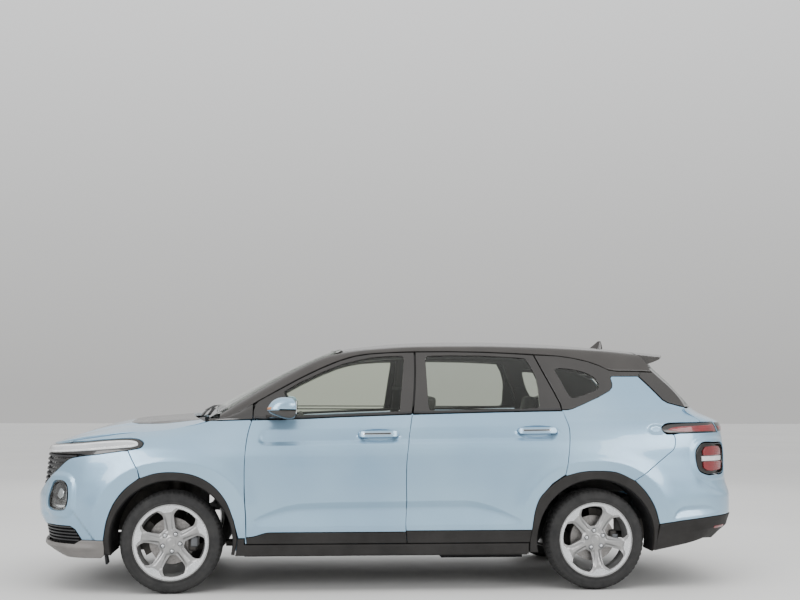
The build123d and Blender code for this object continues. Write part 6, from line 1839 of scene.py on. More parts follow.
low_half = [(4.850, 0.4300), (5.010, 0.4505), (5.258, 0.4730), (5.45, 0.4800), (TS, 0.4820), (TS, 0.300), (5.45, 0.306), (5.214, 0.322), (5.108, 0.305), (4.820, 0.2545), (4.836, 0.340)]
slab("rear_bumper_low", full_rear(low_half), side_x(rear_low_extra), M["clad"], grid=(0.020, 0.010), thick=0.022, r=0.005, gap=0.001, step=0.012, side_y=1, flip=True, slot="cladding")
pair("rear_reflector", rounded([(5.275, 0.392), (5.40, 0.396), (5.40, 0.412), (5.275, 0.408)], 0.006, 3), side_x(rear_low_extra), M["red"], BS, grid=(0.01, 0.006), thick=0.010, r=0.002, gap=0.0, step=0.006, proud=0.002,
     flip=True, slot="lamp_red")
skid_half = [(5.66, 0.395), (TS, 0.395), (TS, 0.312), (5.70, 0.314), (5.64, 0.345)]
slab("rear_skid", full_rear(skid_half), side_x(rear_low_extra), M["clad_soft"], grid=(0.03, 0.012), thick=0.014, r=0.005, gap=0.0, step=0.02, proud=0.006, side_y=1, flip=True, slot="cladding")

# low tail lamps
lt_big = shrink(LOW_T, -0.008)
pair("low_tail_body", lt_big, side_x(lambda q, x, z: 0.020), M["gloss"], BS, grid=(0.02, 0.02), thick=0.030, r=0.004, gap=0.0, step=0.010, flip=True, slot="gloss_black")
pair("low_tail_rim", lt_big, TAIL, M["gloss"], BS, holes=[shrink(LOW_T, 0.020)], grid=(0.012, 0.012), thick=0.022, r=0.005, gap=0.0, proud=-0.0035, step=0.010, flip=True, slot="gloss_black")
pair("low_tail_red_upper", rounded([(5.205, 0.882), (5.200, 0.915), (5.225, 0.942), (5.300, 0.948), (5.400, 0.945), (5.440, 0.925), (5.452, 0.882)], 0.006, 3), side_x(lambda q, x, z: 0.007), M["red"], BS,
     grid=(0.01, 0.008), thick=0.014, r=0.004, gap=0.0, step=0.008, flip=True, slot="lamp_red")
pair("low_tail_white", [(5.190, 0.846), (5.190, 0.879), (5.454, 0.879), (5.455, 0.846)], side_x(lambda q, x, z: 0.0085), M["white_lens"], BS, grid=(0.01, 0.008), thick=0.014, r=0.003, gap=0.0, step=0.008, flip=True,
     slot="lamp_clear")
pair("low_tail_red_lower", rounded([(5.200, 0.800), (5.200, 0.843), (5.454, 0.843), (5.450, 0.806), (5.420, 0.784), (5.280, 0.778), (5.230, 0.782)], 0.006, 3), side_x(lambda q, x, z: 0.007), M["red"], BS,
     grid=(0.01, 0.008), thick=0.014, r=0.004, gap=0.0, step=0.008, flip=True, slot="lamp_red")

# high tail lamps, and the bar that joins them across the tailgate
HIGH_T = soft_line([(4.884, 1.058), (4.890, 1.074), (4.922, 1.0915), (5.022, 1.1020), (5.150, 1.1055), (5.281, 1.1080), (5.352, 1.1080), (5.392, 1.0410), (5.295, 1.0415), (5.009, 1.0370), (4.913, 1.0405)], 0.010, closed=True)
pair("high_tail_body", HIGH_T, side_x(lambda q, x, z: 0.004), M["gloss"], BS, grid=(0.014, 0.012), thick=0.030, r=0.005, gap=0.001, step=0.010, flip=True, slot="gloss_black", replaces=())
HT_RED = [(4.930, 1.0600), (4.962, 1.0730), (5.022, 1.0810), (5.150, 1.0860), (5.270, 1.0905), (5.345, 1.0930), (5.372, 1.0500), (5.295, 1.0480), (5.100, 1.0470), (5.009, 1.0470)]
pair("high_tail_lens", soft_line(HT_RED, 0.010, closed=True), side_x(lambda q, x, z: 0.0015), M["red"], BS, grid=(0.012, 0.006), thick=0.010, r=0.004, gap=0.0, step=0.008, flip=True, slot="lamp_red", replaces=())
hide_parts("tail_lamps")



def gate_base(s, z, extra=None):
    """Tailgate below the glass: the lower form drawn in to the foot of the pane."""
    p = side(s, z, extra=extra).copy()
    zc = p[..., 2]
    w = smooth(1.10, 1.20, zc)
    t = np.maximum(zc, 1.205)
    up_x = gate_up(p[..., 1], t)[..., 0] + 0.90 * (t - zc)
    o = 0.0 if extra is None else extra(np.asarray(s, float), p[..., 0], zc)
    p[..., 0] = p[..., 0] * (1 - w) + (up_x - o) * w
    return p


gate_half = [(5.178, 1.1500), (5.203, 1.1190), (5.207, 1.1100), (5.356, 1.1100), (5.398, 1.0410), (5.4875, 1.0060), (5.5145, 0.9615), (5.5425, 0.7585), (5.583, 0.7305), (5.80, 0.7255), (TS, 0.7255)]
gate_half += [(TS, 1.2060), (5.60, 1.2065), (5.35, 1.2060), (5.20, 1.2050), (5.128, 1.2045), (5.136, 1.1850)]
PLATE = [(5.895, 0.800), (TS, 0.800), (TS, 0.962), (5.895, 0.962)]


def gate_S(s, z):
    """Tailgate skin: lower form drawn into the foot of the glass."""
    def ex(q, x, zz):
        t = np.where(q > TS, 2 * TS - q, q)
        inb = smooth(5.860, 5.905, t) * smooth(0.782, 0.806, zz) * (1 - smooth(0.956, 0.980, zz))
        crease = 0.008 * smooth(5.62, 5.70, t) * (1 - smooth(0.752, 0.760, zz)) * 0
        return 0.024 * inb + crease
    return gate_base(s, z, ex)


gate_out = full_rear(gate_half)
slab("tailgate_skin", gate_out, gate_S, M["paint"], "tailgate", grid=(0.015, 0.009), thick=0.018, r=0.003, gap=0.0018, step=0.010, side_y=1, flip=True, slot="paint", replaces=("tailgate",))
bar_half = [(5.404, 1.0435), (5.364, 1.1065), (TS, 1.1065), (TS, 1.0435)]
slab("tail_bar", full_rear(bar_half), side_x(lambda q, x, z: 0.0), M["gloss"], "tailgate", grid=(0.02, 0.01), thick=0.012, r=0.004, gap=0.0, step=0.015, proud=0.004, side_y=1, flip=True, slot="gloss_black")
slab("tail_bar_lens", full_rear([(5.416, 1.056), (5.402, 1.080), (TS, 1.080), (TS, 1.056)]), side_x(lambda q, x, z: 0.0), M["red"], "tailgate", grid=(0.02, 0.008), thick=0.010, r=0.004, gap=0.0, step=0.015,
     proud=0.0075, side_y=1, flip=True, slot="lamp_red")
slab("rear_plate", full_rear([(5.948, 0.812), (TS, 0.812), (TS, 0.950), (5.948, 0.950)]), side_x(lambda q, x, z: 0.020), M["plate"], "tailgate", grid=(0.03, 0.03), thick=0.004, r=0.001, gap=0.0, step=0.02,
     side_y=1, flip=True, slot="steel")
slab("plate_strip", full_rear([(5.890, 0.984), (TS, 0.984), (TS, 1.004), (5.905, 1.004)]), side_x(lambda q, x, z: 0.0), M["gloss"], "tailgate", grid=(0.03, 0.01), thick=0.016, r=0.005, gap=0.0, step=0.015, proud=0.008,
     side_y=1, flip=True, slot="gloss_black")
# inner lining of the tailgate


def plate_hollow(q, z):
    t = np.where(q > TS, 2 * TS - q, q)
    return smooth(5.820, 5.870, t) * smooth(0.752, 0.780, z) * (1 - smooth(0.980, 1.010, z))


def gate_lining(s, z):
    return gate_base(s, z, lambda q, x, zz: 0.052 + 0.0 * x)


lin = inset(full_rear([(5.250, 1.090), (5.40, 1.010), (5.50, 0.960), (5.56, 0.770), (TS, 0.755), (TS, 1.185), (5.40, 1.180), (5.22, 1.165)]), 0.018, 0.03)
slab("tailgate_lining", lin, gate_lining, M["inner"], "tailgate", grid=(0.04, 0.03), thick=0.034, r=0.006, gap=0.0, step=0.02, side_y=1, flip=False, slot="interior", S_back=lambda s, z: gate_base(s, z, lambda q, x, zz: 0.0195 + 0.0255 * plate_hollow(q, zz)))
gl_rim = np.array([(-gate_w(z) + 0.012, z) for z in zz] + [(gate_w(z) - 0.012, z) for z in zz[::-1]])


def gate_up_in(y, z):
    p = gate_up(y, z).copy()
    p[..., 0] -= 0.052
    return p


slab("tailgate_frame_cover", inset(gl_rim, 0.012), gate_up_in, M["inner"], "tailgate", holes=[inset(gate_pane, -0.006)], grid=(0.04, 0.04), thick=0.016, r=0.004, gap=0.0, step=0.02, side_y=1, flip=True, slot="interior",
     S_back=lambda y, z: gate_up(y, z) - np.array([0.0315, 0, 0]))

# tailgate wiper
V, F = [], []
n = 14
for i in range(n + 1):
    t = i / n
    yy, z0 = -0.06 + 0.40 * t, 1.232 + 0.055 * t
    P0 = gate_up(yy, z0)
    N0 = np.array([0.72, 0, 0.69])
    w = 0.011 - 0.004 * t
    for d, h in ((-w, 0.006), (-w, 0.020), (w, 0.020), (w, 0.006)):
        q = gate_up(yy, z0 + d * 0.8) + N0 * h
        V.append((q[0] + OX, q[1], q[2]))
for i in range(n):
    a = 4 * i
    for j in range(4):
        F.append((a + j, a + (j + 1) % 4, a + 4 + (j + 1) % 4, a + 4 + j))
F += [(0, 3, 2, 1), (4 * n, 4 * n + 1, 4 * n + 2, 4 * n + 3)]
finish_piece(make_mesh("rear_wiper", V, F, smooth_shade=False), M["rubber"], "tailgate")

# ------------------------------------------------------------------ mirrors, handles, fin


def ring_mesh(name, rings, mat, body, close_ends=True, smooth_shade=True, replaces=(), sy=1, N=None):
    """Skin over a list of closed rings with equal counts, in metres from the front axle (+Y half, mirrored for sy -1)."""
    n = len(rings[0])
    V = [(p[0] + OX, sy * p[1], p[2]) for r in rings for p in r]
    F = []
    for i in range(len(rings) - 1):
        for j in range(n):
            a, b = i * n + j, i * n + (j + 1) % n
            F.append((a, b, b + n, a + n))
    if close_ends:
        F.append(tuple(range(n))[::-1])
        F.append(tuple(range((len(rings) - 1) * n, len(rings) * n)))
    P = np.array(V)
    # orient outwards: compare the signed volume
    vol = 0.0
    for f in F:
        for k in range(1, len(f) - 1):
            a, b, c = P[f[0]], P[f[k]], P[f[k + 1]]
            vol += float(np.dot(a, np.cross(b, c)))
    if vol < 0:
        F = [f[::-1] for f in F]
    return finish_piece(make_mesh(name, V, F, smooth_shade=smooth_shade), mat, body, replaces)


def clip_line(poly, a, b, c):
    """Part of a convex loop where a*x + b*z >= c."""
    out = []
    n = len(poly)
    for i in range(n):
        p, q = np.array(poly[i]), np.array(poly[(i + 1) % n])
        dp, dq = a * p[0] + b * p[1] - c, a * q[0] + b * q[1] - c
        if dp >= 0:
            out.append(p)
        if (dp >= 0) != (dq >= 0):
            out.append(p + (q - p) * dp / (dp - dq))
    return np.array(out)


def even(poly, n):
    q = np.asarray(poly, float)
    q = np.vstack([q, q[:1]])
    L = np.concatenate([[0], np.cumsum(np.hypot(*np.diff(q, axis=0).T))])
    t = np.linspace(0, L[-1], n, endpoint=False)
    return np.stack([np.interp(t, L, q[:, 0]), np.interp(t, L, q[:, 1])], 1)


MIR = soft_line([(0.612, 1.187), (0.629, 1.226), (0.654, 1.253), (0.693, 1.270), (0.745, 1.2735), (0.782, 1.2660), (0.800, 1.238), (0.8035, 1.200), (0.798, 1.152), (0.784, 1.134), (0.745, 1.1285), (0.680, 1.146), (0.625, 1.170)],
                0.006, closed=True)
for nm, sy, bd in (("left", -1, "front_door_left"), ("right", 1, "front_door_right")):
    def rings_of(loop, grow, n=72):
        out = []
        for y, kx, kz in ((0.862, 0.40, 0.62), (0.868, 0.62, 0.80), (0.882, 0.80, 0.92), (0.905, 0.92, 0.98), (0.935, 0.98, 1.0), (0.965, 1.0, 1.0), (0.990, 0.985, 0.99), (1.010, 0.94, 0.955), (1.025, 0.86, 0.89),
                          (1.035, 0.74, 0.79), (1.0405, 0.58, 0.66)):
            pts = [(0.800 - (0.800 - a) * kx * (1 + grow), 1.196 + (b - 1.196) * kz * (1 + grow)) for a, b in loop]
            out.append(([(p[0], y, p[1]) for p in pts]))
        return out
    low = even(clip_line(MIR, -0.02, -1.0, -1.2105), 60)
    up = even(clip_line(MIR, 0.02, 1.0, 1.1985), 60)
    ring_mesh("mirror_lower_" + nm, rings_of(low, -0.02), M["gloss"], bd, replaces=("door_mirror_" + nm,), sy=sy)
    ring_mesh("mirror_cap_" + nm, rings_of(up, 0.0), M["paint"], bd, sy=sy)
    ind = even(clip_line(clip_line(MIR, 0.02, 1.0, 1.2035), -0.02, -1.0, -1.2215), 40)
    rr = []
    for y, kx in ((0.925, 0.965), (0.965, 1.0), (0.990, 0.985), (1.010, 0.94), (1.0255, 0.86)):
        rr.append([(0.7985 - (0.800 - a) * kx * 1.008, y, b) for a, b in ind])
    ring_mesh("mirror_lamp_" + nm, rr, M["amber"], bd, sy=sy)
    # glass face, set in the rear of the housing
    ov = rounded([(0.885, 1.158), (1.018, 1.166), (1.022, 1.232), (0.995, 1.248), (0.890, 1.244)], 0.016, 4)
    rr = [[(0.8005, y, z) for y, z in ov], [(0.8055, y, z) for y, z in ov]]
    ring_mesh("mirror_glass_" + nm, rr, M["mirror"], bd, sy=sy, smooth_shade=False)
    # arm to the door
    rr = []
    for y, x0, x1, z0, z1 in ((0.792, 0.590, 0.742, 1.1290, 1.1585), (0.825, 0.606, 0.740, 1.1300, 1.1570), (0.860, 0.632, 0.738, 1.1350, 1.1620), (0.905, 0.652, 0.742, 1.1420, 1.1720)):
        q = rounded([(x0, z0), (x1, z0 + 0.002), (x1, z1), (x0 + 0.01, z1 - 0.004)], 0.009, 4)
        rr.append([(a, y, b) for a, b in q])
    ring_mesh("mirror_arm_" + nm, rr, M["gloss"], bd, sy=sy)

# door handles: a bar over a shallow cup
for nm, cx, cz, bodies, bx in (("front", 1.348, 1.0265, DB_F, -1), ("rear", 2.413, 1.0500, DB_R, -1)):
    tilt = 0.012

    def bar_S(s, z, cx=cx):
        p = side(s, z)
        t = (plan(s)[0] - cx) / 0.128
        h = 1 - np.clip(np.abs(t), 0, 1) ** 6
        q = side(s, z, extra=lambda a, b, c: -0.010 - 0.018 * h)
        return q
    hz = cz + 0.004
    bar = rounded([(cx - 0.132, hz - 0.022), (cx + 0.132, hz - 0.018), (cx + 0.132, hz + 0.026), (cx - 0.132, hz + 0.022)], 0.0205, 7)
    pair("handle_bar_" + nm, sx(bar), bar_S, M["paint"], bodies, grid=(0.008, 0.005), thick=0.013, r=0.006, gap=0.0, step=0.006, flip=True, slot="paint")
    slot_ = rounded([(cx - 0.104, hz - 0.0045), (cx + 0.082, hz - 0.0020), (cx + 0.082, hz + 0.0120), (cx - 0.104, hz + 0.0095)], 0.0062, 5)
    pair("handle_line_" + nm, sx(slot_), bar_S, M["chrome"], bodies, grid=(0.02, 0.004), thick=0.004, r=0.001, gap=0.0, proud=0.0014, step=0.006, flip=True, slot="steel")
    # dark strip laid over the bar in place of the slot: painted shade of the slot's gap
    slit = rounded([(cx - 0.099, hz - 0.0008), (cx + 0.077, hz + 0.0015), (cx + 0.077, hz + 0.0085), (cx - 0.099, hz + 0.0060)], 0.0030, 4)
    pair("handle_slit_" + nm, sx(slit), bar_S, M["dark"], bodies, grid=(0.02, 0.004), thick=0.004, r=0.001, gap=0.0, proud=0.0024, step=0.006, flip=True, slot="gloss_black")
    for k, dx in enumerate((-0.105, 0.105)):
        ft = rounded([(cx + dx - 0.018, hz - 0.008), (cx + dx + 0.018, hz - 0.008), (cx + dx + 0.018, hz + 0.012), (cx + dx - 0.018, hz + 0.012)], 0.006, 3)
        pair("handle_foot_%s_%d" % (nm, k + 1), sx(ft), side_x(lambda a, b, c: -0.009), M["gloss"], bodies, grid=(0.01, 0.01), thick=0.026, r=0.002, gap=0.0, step=0.006, flip=True, slot="gloss_black")

# fin on the roof: flat teardrop sections stacked by height
rr = []
for k in range(13):
    f = min(k / 11, 1.0)
    x0 = 2.948 + 0.098 * f ** 0.85
    x1 = 3.082 - 0.014 * f ** 2
    w = 0.0205 * (1 - 0.72 * f ** 0.8)
    z0 = 1.618 + 0.0735 * f
    if k == 12:
        x0, x1, w, z0 = x0 + 0.012, x1 - 0.006, w * 0.35, 1.6925
    ring = []
    for j in range(32):
        a = 2 * math.pi * j / 32
        u = 0.5 - 0.5 * math.cos(a)
        hw = w * (u ** 0.6) * ((1 - u) ** 0.42) * 1.75
        ring.append((x0 + (x1 - x0) * u, hw * (1 if math.sin(a) > 0 else -1) if abs(math.sin(a)) > 1e-9 else 0.0, z0))
    rr.append(ring)
ring_mesh("roof_fin", rr, M["roof"], "body_shell")

# rubber in the joint between the windshield and the rails
tg = np.linspace(0.010, WS_L - 0.006, 120)
yg = np.array([ws_half(t) for t in tg]) - 0.006
pg = screen(tg, yg)
for nm, sy in (("left", -1), ("right", 1)):
    rr = []
    for x in np.linspace(0.315, 1.118, 46):
        ya, za = float(np.interp(x, pg[:, 0], pg[:, 1])), float(np.interp(x, pg[:, 0], pg[:, 2]))
        b = rail(x, 0.0975)
        yb, zb = float(b[1]) + 0.003, float(b[2])
        ym, zm = (ya + yb) / 2, (za + zb) / 2
        rr.append([(x, ya, za - 0.0022), (x, ym, zm - 0.0042), (x, yb, zb - 0.0030), (x, yb, zb - 0.0140), (x, ym, zm - 0.0160), (x, ya, za - 0.0140)])
    ring_mesh("screen_gasket_" + nm, rr, M["rubber"], "body_shell", sy=sy)

# wall under the windshield's lower corners, down to the cowl
for nm, sy in (("left", -1), ("right", 1)):
    rr = []
    for y in np.linspace(0.430, 0.695, 16):
        p = screen(ws_foot(y), y)
        rr.append([(float(p[0]) + 0.001, y, float(p[2]) - 0.0045), (float(p[0]) + 0.022, y, float(p[2]) + 0.0020), (float(p[0]) + 0.022, y, float(p[2]) - 0.060), (float(p[0]) + 0.006, y, float(p[2]) - 0.062)])
    ring_mesh("screen_foot_" + nm, rr, M["trim"], "body_shell", sy=sy, smooth_shade=False)

# ------------------------------------------------------------------ seats: padded cushions with sewn channels


def cushion(name, size, loc, tilt, n=30, power=5.0, bolster=0.022, seams_u=(), seams_v=(), crown=0.02, mat="fabric", body="body_shell", waist=0.10, replaces=(), depth=0.006):
    """Crowned pad: local x = across, y = along, z = out of the face. Seams are drawn-in lines in the face."""
    L, W, T = size
    lin = np.linspace(-1, 1, n)
    lin = np.sign(lin) * np.abs(lin) ** 0.9
    verts, faces, key = [], [], {}

    def vid(p):
        k = tuple(np.round(p, 6))
        if k not in key:
            key[k] = len(verts)
            verts.append(p)
        return key[k]
    for ax in range(3):
        for sg in (-1, 1):
            for i in range(n - 1):
                for j in range(n - 1):
                    quad = []
                    for a, b in ((i, j), (i + 1, j), (i + 1, j + 1), (i, j + 1)):
                        p = [0, 0, 0]
                        p[ax] = sg
                        p[(ax + 1) % 3] = lin[a]
                        p[(ax + 2) % 3] = lin[b]
                        quad.append(vid(tuple(p)))
                    faces.append(tuple(quad) if sg > 0 else tuple(quad[::-1]))
    P = np.array(verts)
    r = (np.abs(P) ** power).sum(1) ** (1 / power)
    Q = P / r[:, None]
    u, v, w = Q[:, 0], Q[:, 1], Q[:, 2]
    top = smooth(0.1, 0.7, w)
    x = u * W / 2
    y = v * L / 2
    z = w * T / 2
    z = z + top * crown * (1 - u ** 2) * (1 - v ** 4)
    z = z + top * bolster * (np.exp(-((np.abs(u) - 0.80) / 0.16) ** 2) - 0.4)
    for c in seams_u:
        z = z - top * depth * np.exp(-((u - c) * W / 2 / 0.006) ** 2)
        z = z + top * depth * 0.4 * np.exp(-((np.abs(u - c) * W / 2 - 0.016) / 0.010) ** 2)
    for c in seams_v:
        inb = 1 - smooth(0.52, 0.62, np.abs(u))
        z = z - top * inb * depth * np.exp(-((v - c) * L / 2 / 0.006) ** 2)
        z = z + top * inb * depth * 0.5 * np.exp(-((np.abs(v - c) * L / 2 - 0.018) / 0.012) ** 2)
    # sides draw in between the corners
    x = x * (1 - waist * 0.20 * (1 - v ** 2) * (1 - top * 0.5))
    y = y * (1 - waist * 0.16 * (1 - u ** 2) * (1 - top * 0.5))
    # welt round the edge of the face
    edge = np.exp(-((w - 0.55) / 0.10) ** 2) * (np.maximum(np.abs(u), np.abs(v)) > 0.7)
    x = x * (1 + 0.012 * edge)
    y = y * (1 + 0.012 * edge)
    c, s = math.cos(tilt), math.sin(tilt)
    # local y goes backwards along the seat (or up the back), local z is the face normal
    X = loc[0] + y * c - z * s
    Y = loc[1] + x
    Z = loc[2] + y * s + z * c
    ob = make_mesh(name, np.stack([X + OX, Y, Z], 1), [f[::-1] for f in faces])
    P3 = np.stack([X, Y, Z], 1)
    vol = 0.0
    for f in faces[:: 7]:
        a, b, d = P3[f[0]], P3[f[1]], P3[f[2]]
        vol += float(np.dot(a - np.array(loc), np.cross(b - a, d - a)))
    if vol > 0:
        ob.data.flip_normals()
    finish_piece(ob, M[mat], body, replaces)
    return ob


def box_piece(name, c, size, mat, body="body_shell", r=0.01, ang=0.0, replaces=()):
    """Box with rounded edges: superellipsoid of high power, long and flat where it should be."""
    n = 8
    lin = np.linspace(-1, 1, n)
    lin = np.sign(lin) * np.abs(lin) ** 0.38
    V, F, key = [], [], {}
    for ax in range(3):
        for sg in (-1, 1):
            for i in range(n - 1):
                for j in range(n - 1):
                    quad = []
                    for a, b in ((i, j), (i + 1, j), (i + 1, j + 1), (i, j + 1)):
                        p = [0, 0, 0]
                        p[ax] = sg
                        p[(ax + 1) % 3] = lin[a]
                        p[(ax + 2) % 3] = lin[b]
                        k = tuple(round(t, 6) for t in p)
                        if k not in key:
                            key[k] = len(V)
                            V.append(p)
                        quad.append(key[k])
                    F.append(tuple(quad) if sg > 0 else tuple(quad[::-1]))
    P = np.array(V, float)
    h = np.array(size) / 2
    rr = np.minimum(r, h.min() * 0.98)
    core = np.clip(P * h, -(h - rr), h - rr)
    d = P * h - core
    ln = np.linalg.norm(d, axis=1)
    d = d / np.maximum(ln, 1e-9)[:, None] * rr
    Q = core + np.where(ln[:, None] > 1e-9, d, 0)
    ca, sa = math.cos(ang), math.sin(ang)
    X = c[0] + Q[:, 0] * ca - Q[:, 2] * sa
    Z = c[2] + Q[:, 0] * sa + Q[:, 2] * ca
    ob = make_mesh(name, np.stack([X + OX, c[1] + Q[:, 1], Z], 1), F)
    return finish_piece(ob, M[mat], body, replaces)


seat_n = 21
first = True
SEAT_ROWS = [(1.040, 0.292, [(-0.385, 0.480), (0.385, 0.480)], 0.50, 0.060), (1.900, 0.292, [(-0.390, 0.480), (0.390, 0.480)], 0.50, 0.060), (2.640, 0.482, [(-0.268, 0.520), (0.268, 0.520)], 0.40, 0.0)]
k = 0
for a, base, places, back, rise in SEAT_ROWS:
    for y, w in places:
        k += 1
        zt = base + rise
        tag = "%d" % k
        cushion("seat_cushion_" + tag, (0.480, w - 0.010, 0.125), (a + 0.262, y, zt + 0.200), math.radians(-4.5), seat_n, 5.0, 0.020, seams_u=(-0.60, 0.60), seams_v=(-0.45, -0.05, 0.35), replaces=("seats",) if first else ())
        first = False
        cushion("seat_back_" + tag, (back + 0.040, w - 0.012, 0.105), (a + 0.592, y, zt + 0.470 + (back - 0.50) * 0.5), math.radians(75.0), seat_n, 5.0, 0.022, seams_u=(-0.60, 0.60), seams_v=(-0.55, -0.15, 0.25, 0.62))
        cushion("headrest_" + tag, (0.165, 0.245, 0.085), (a + 0.688, y, zt + back + 0.345), math.radians(80.0), 13, 4.0, 0.0, seams_u=(), seams_v=(-0.55,), crown=0.008, waist=0.06)
        box_piece("seat_frame_" + tag, (a + 0.300, y, base + 0.062 + rise * 0.5), (0.430, w - 0.060, 0.100 + rise), "inner_dark", r=0.018)
        for sgn in (-1, 1):
            box_piece("headrest_post_%s_%s" % (tag, "a" if sgn < 0 else "b"), (a + 0.672, y + sgn * 0.060, zt + back + 0.256), (0.012, 0.012, 0.090), "chrome", r=0.006, ang=math.radians(-10))
# ------------------------------------------------------------------ dashboard, console, steering wheel


def sweep_y(name, prof, ys, scale, mat, body="body_shell", replaces=()):
    rings = []
    for y, (kx, kz, dx, dz) in zip(ys, scale):
        rings.append([((a - 0.50) * kx + 0.50 + dx, y, (b - 0.96) * kz + 0.96 + dz) for a, b in prof])
    return ring_mesh(name, rings, M[mat], body, replaces=replaces)


top_prof = soft_line([(0.302, 1.020), (0.330, 1.062), (0.420, 1.092), (0.560, 1.108), (0.655, 1.098), (0.694, 1.066), (0.690, 1.030), (0.640, 1.012), (0.330, 0.990)], 0.015, closed=True)
ys = [-0.686, -0.680, -0.66, -0.60, -0.575, -0.52, -0.44, -0.33, -0.25, -0.19, -0.165, 0.0, 0.2, 0.45, 0.60, 0.66, 0.680, 0.686]
sc = []
for y in ys:
    e = 1 - 0.06 * smooth(0.66, 0.686, abs(y))
    pod = float(np.exp(-((y + 0.385) / 0.17) ** 6))
    sc.append((e + 0.05 * pod, e + 0.16 * pod, 0.012 * pod, 0.004 * pod))
sweep_y("dash_top", top_prof, ys, sc, "inner_dark", replaces=("dashboard",))
mid_prof = rounded([(0.320, 1.022), (0.668, 1.022), (0.700, 1.002), (0.722, 0.965), (0.716, 0.935), (0.340, 0.930)], 0.014, 4)
sweep_y("dash_middle", mid_prof, [-0.684, -0.66, -0.3, 0.0, 0.3, 0.66, 0.684], [(0.97, 1, 0, 0)] + [(1, 1, 0, 0)] * 5 + [(0.97, 1, 0, 0)], "inner")
low_prof = soft_line([(0.320, 0.940), (0.700, 0.940), (0.735, 0.905), (0.730, 0.850), (0.690, 0.800), (0.600, 0.785), (0.360, 0.800), (0.320, 0.86)], 0.02, closed=True)
sweep_y("dash_lower", low_prof, [-0.682, -0.66, -0.3, 0.0, 0.3, 0.66, 0.682], [(0.96, 0.97, 0, 0)] + [(1, 1, 0, 0)] * 5 + [(0.96, 0.97, 0, 0)], "inner_dark")
box_piece("dash_screen", (0.704, 0.0, 1.045), (0.016, 0.262, 0.152), "gloss", r=0.007, ang=math.radians(-12))
box_piece("dash_trim_strip", (0.716, 0.0, 0.978), (0.012, 1.300, 0.014), "chrome", r=0.005)
for j, y in enumerate((-0.600, -0.175, 0.175, 0.600)):
    box_piece("air_vent_%d" % (j + 1), (0.712, y, 1.000), (0.014, 0.120, 0.040), "gloss", r=0.006)
    for q in range(3):
        box_piece("air_vent_%d_vane_%d" % (j + 1, q + 1), (0.7185, y, 0.989 + 0.011 * q), (0.006, 0.108, 0.0035), "trim", r=0.0015)
box_piece("instrument_cluster", (0.708, -0.385, 1.088), (0.014, 0.250, 0.090), "gloss", r=0.006, ang=math.radians(-18))
# console
con = soft_line([(0.70, 0.302), (0.70, 0.800), (0.740, 0.850), (0.800, 0.790), (0.960, 0.700), (1.080, 0.676), (1.210, 0.672), (1.230, 0.700), (1.470, 0.704), (1.492, 0.670), (1.490, 0.302)], 0.03, closed=True)
rings = []
for y, e in ((-0.128, 0.97), (-0.124, 0.995), (-0.10, 1.0), (0.10, 1.0), (0.124, 0.995), (0.128, 0.97)):
    rings.append([((a - 1.1) * e + 1.1, y, (b - 0.302) * e + 0.302) for a, b in con])
ring_mesh("console", rings, M["inner_dark"], "body_shell")
cushion("console_armrest", (0.235, 0.235, 0.050), (1.352, 0.0, 0.720), 0.0, 16, 4.0, 0.0, crown=0.008, mat="fabric_side", waist=0.04)
box_piece("gear_selector_gate", (0.985, 0.0, 0.702), (0.150, 0.120, 0.010), "gloss", r=0.004, ang=math.radians(-9))
box_piece("gear_selector_knob", (0.990, -0.010, 0.752), (0.056, 0.044, 0.070), "trim", r=0.020)
box_piece("gear_selector_stem", (0.986, -0.010, 0.714), (0.014, 0.014, 0.050), "chrome", r=0.006)
for j, x in enumerate((1.100, 1.180)):
    ring = [[(x + rad * math.cos(t), -0.040 * 0 + rad * math.sin(t), z) for t in np.linspace(0, 2 * math.pi, 33)[:-1]] for rad, z in ((0.036, 0.668), (0.036, 0.686), (0.030, 0.686), (0.030, 0.672))]
    ring_mesh("cup_ring_%d" % (j + 1), ring, M["chrome"], "body_shell", close_ends=True)

# steering wheel: rim, spokes and pad, turned 25 degrees back
CW = np.array([0.905, -0.385, 1.000])
th = math.radians(25)
e1 = np.array([0, 1, 0.0])
e2 = np.array([-math.sin(th), 0, math.cos(th)])

ax = np.cross(e1, e2)


def torus(name, R, r0, mat, n=64, m=16, squash=1.0, spans=None, c=CW, body="steering", replaces=()):
    V, F = [], []
    for i in range(n):
        a = 2 * math.pi * i / n
        d = e1 * math.cos(a) + e2 * math.sin(a)
        for j in range(m):
            b = 2 * math.pi * j / m
            grip = 1 + 0.10 * math.exp(-((abs(((a / math.pi * 180) % 180) - 90) - 58) / 14) ** 2)
            p = c + d * (R + r0 * grip * math.cos(b)) + ax * r0 * grip * squash * math.sin(b)
            V.append((p[0] + OX, p[1], p[2]))
    for i in range(n):
        for j in range(m):
            F.append((i * m + j, i * m + (j + 1) % m, ((i + 1) % n) * m + (j + 1) % m, ((i + 1) % n) * m + j))
    ob = make_mesh(name, V, F)
    return finish_piece(ob, M[mat], body, replaces)


torus("steering_rim", 0.176, 0.0150, "leather", replaces=("steering_wheel",))


def wheel_part(name, outline, d0, d1, mat, dome=0.0):
    """Flat or domed part of the steering wheel, drawn in its plane; d along its axis."""
    o = np.asarray(outline, float)
    cen = o.mean(0)
    rings = []
    for k_, d in ((0.90, d0), (1.0, d0 + (d1 - d0) * 0.25), (1.0, d0 + (d1 - d0) * 0.75), (0.92, d1), (0.60, d1 + dome * 0.7), (0.25, d1 + dome)):
        rings.append([tuple(CW + e1 * (cen[0] + (a - cen[0]) * k_) + e2 * (cen[1] + (b - cen[1]) * k_) + ax * d) for a, b in o])
    return ring_mesh(name, rings, M[mat], "steering")


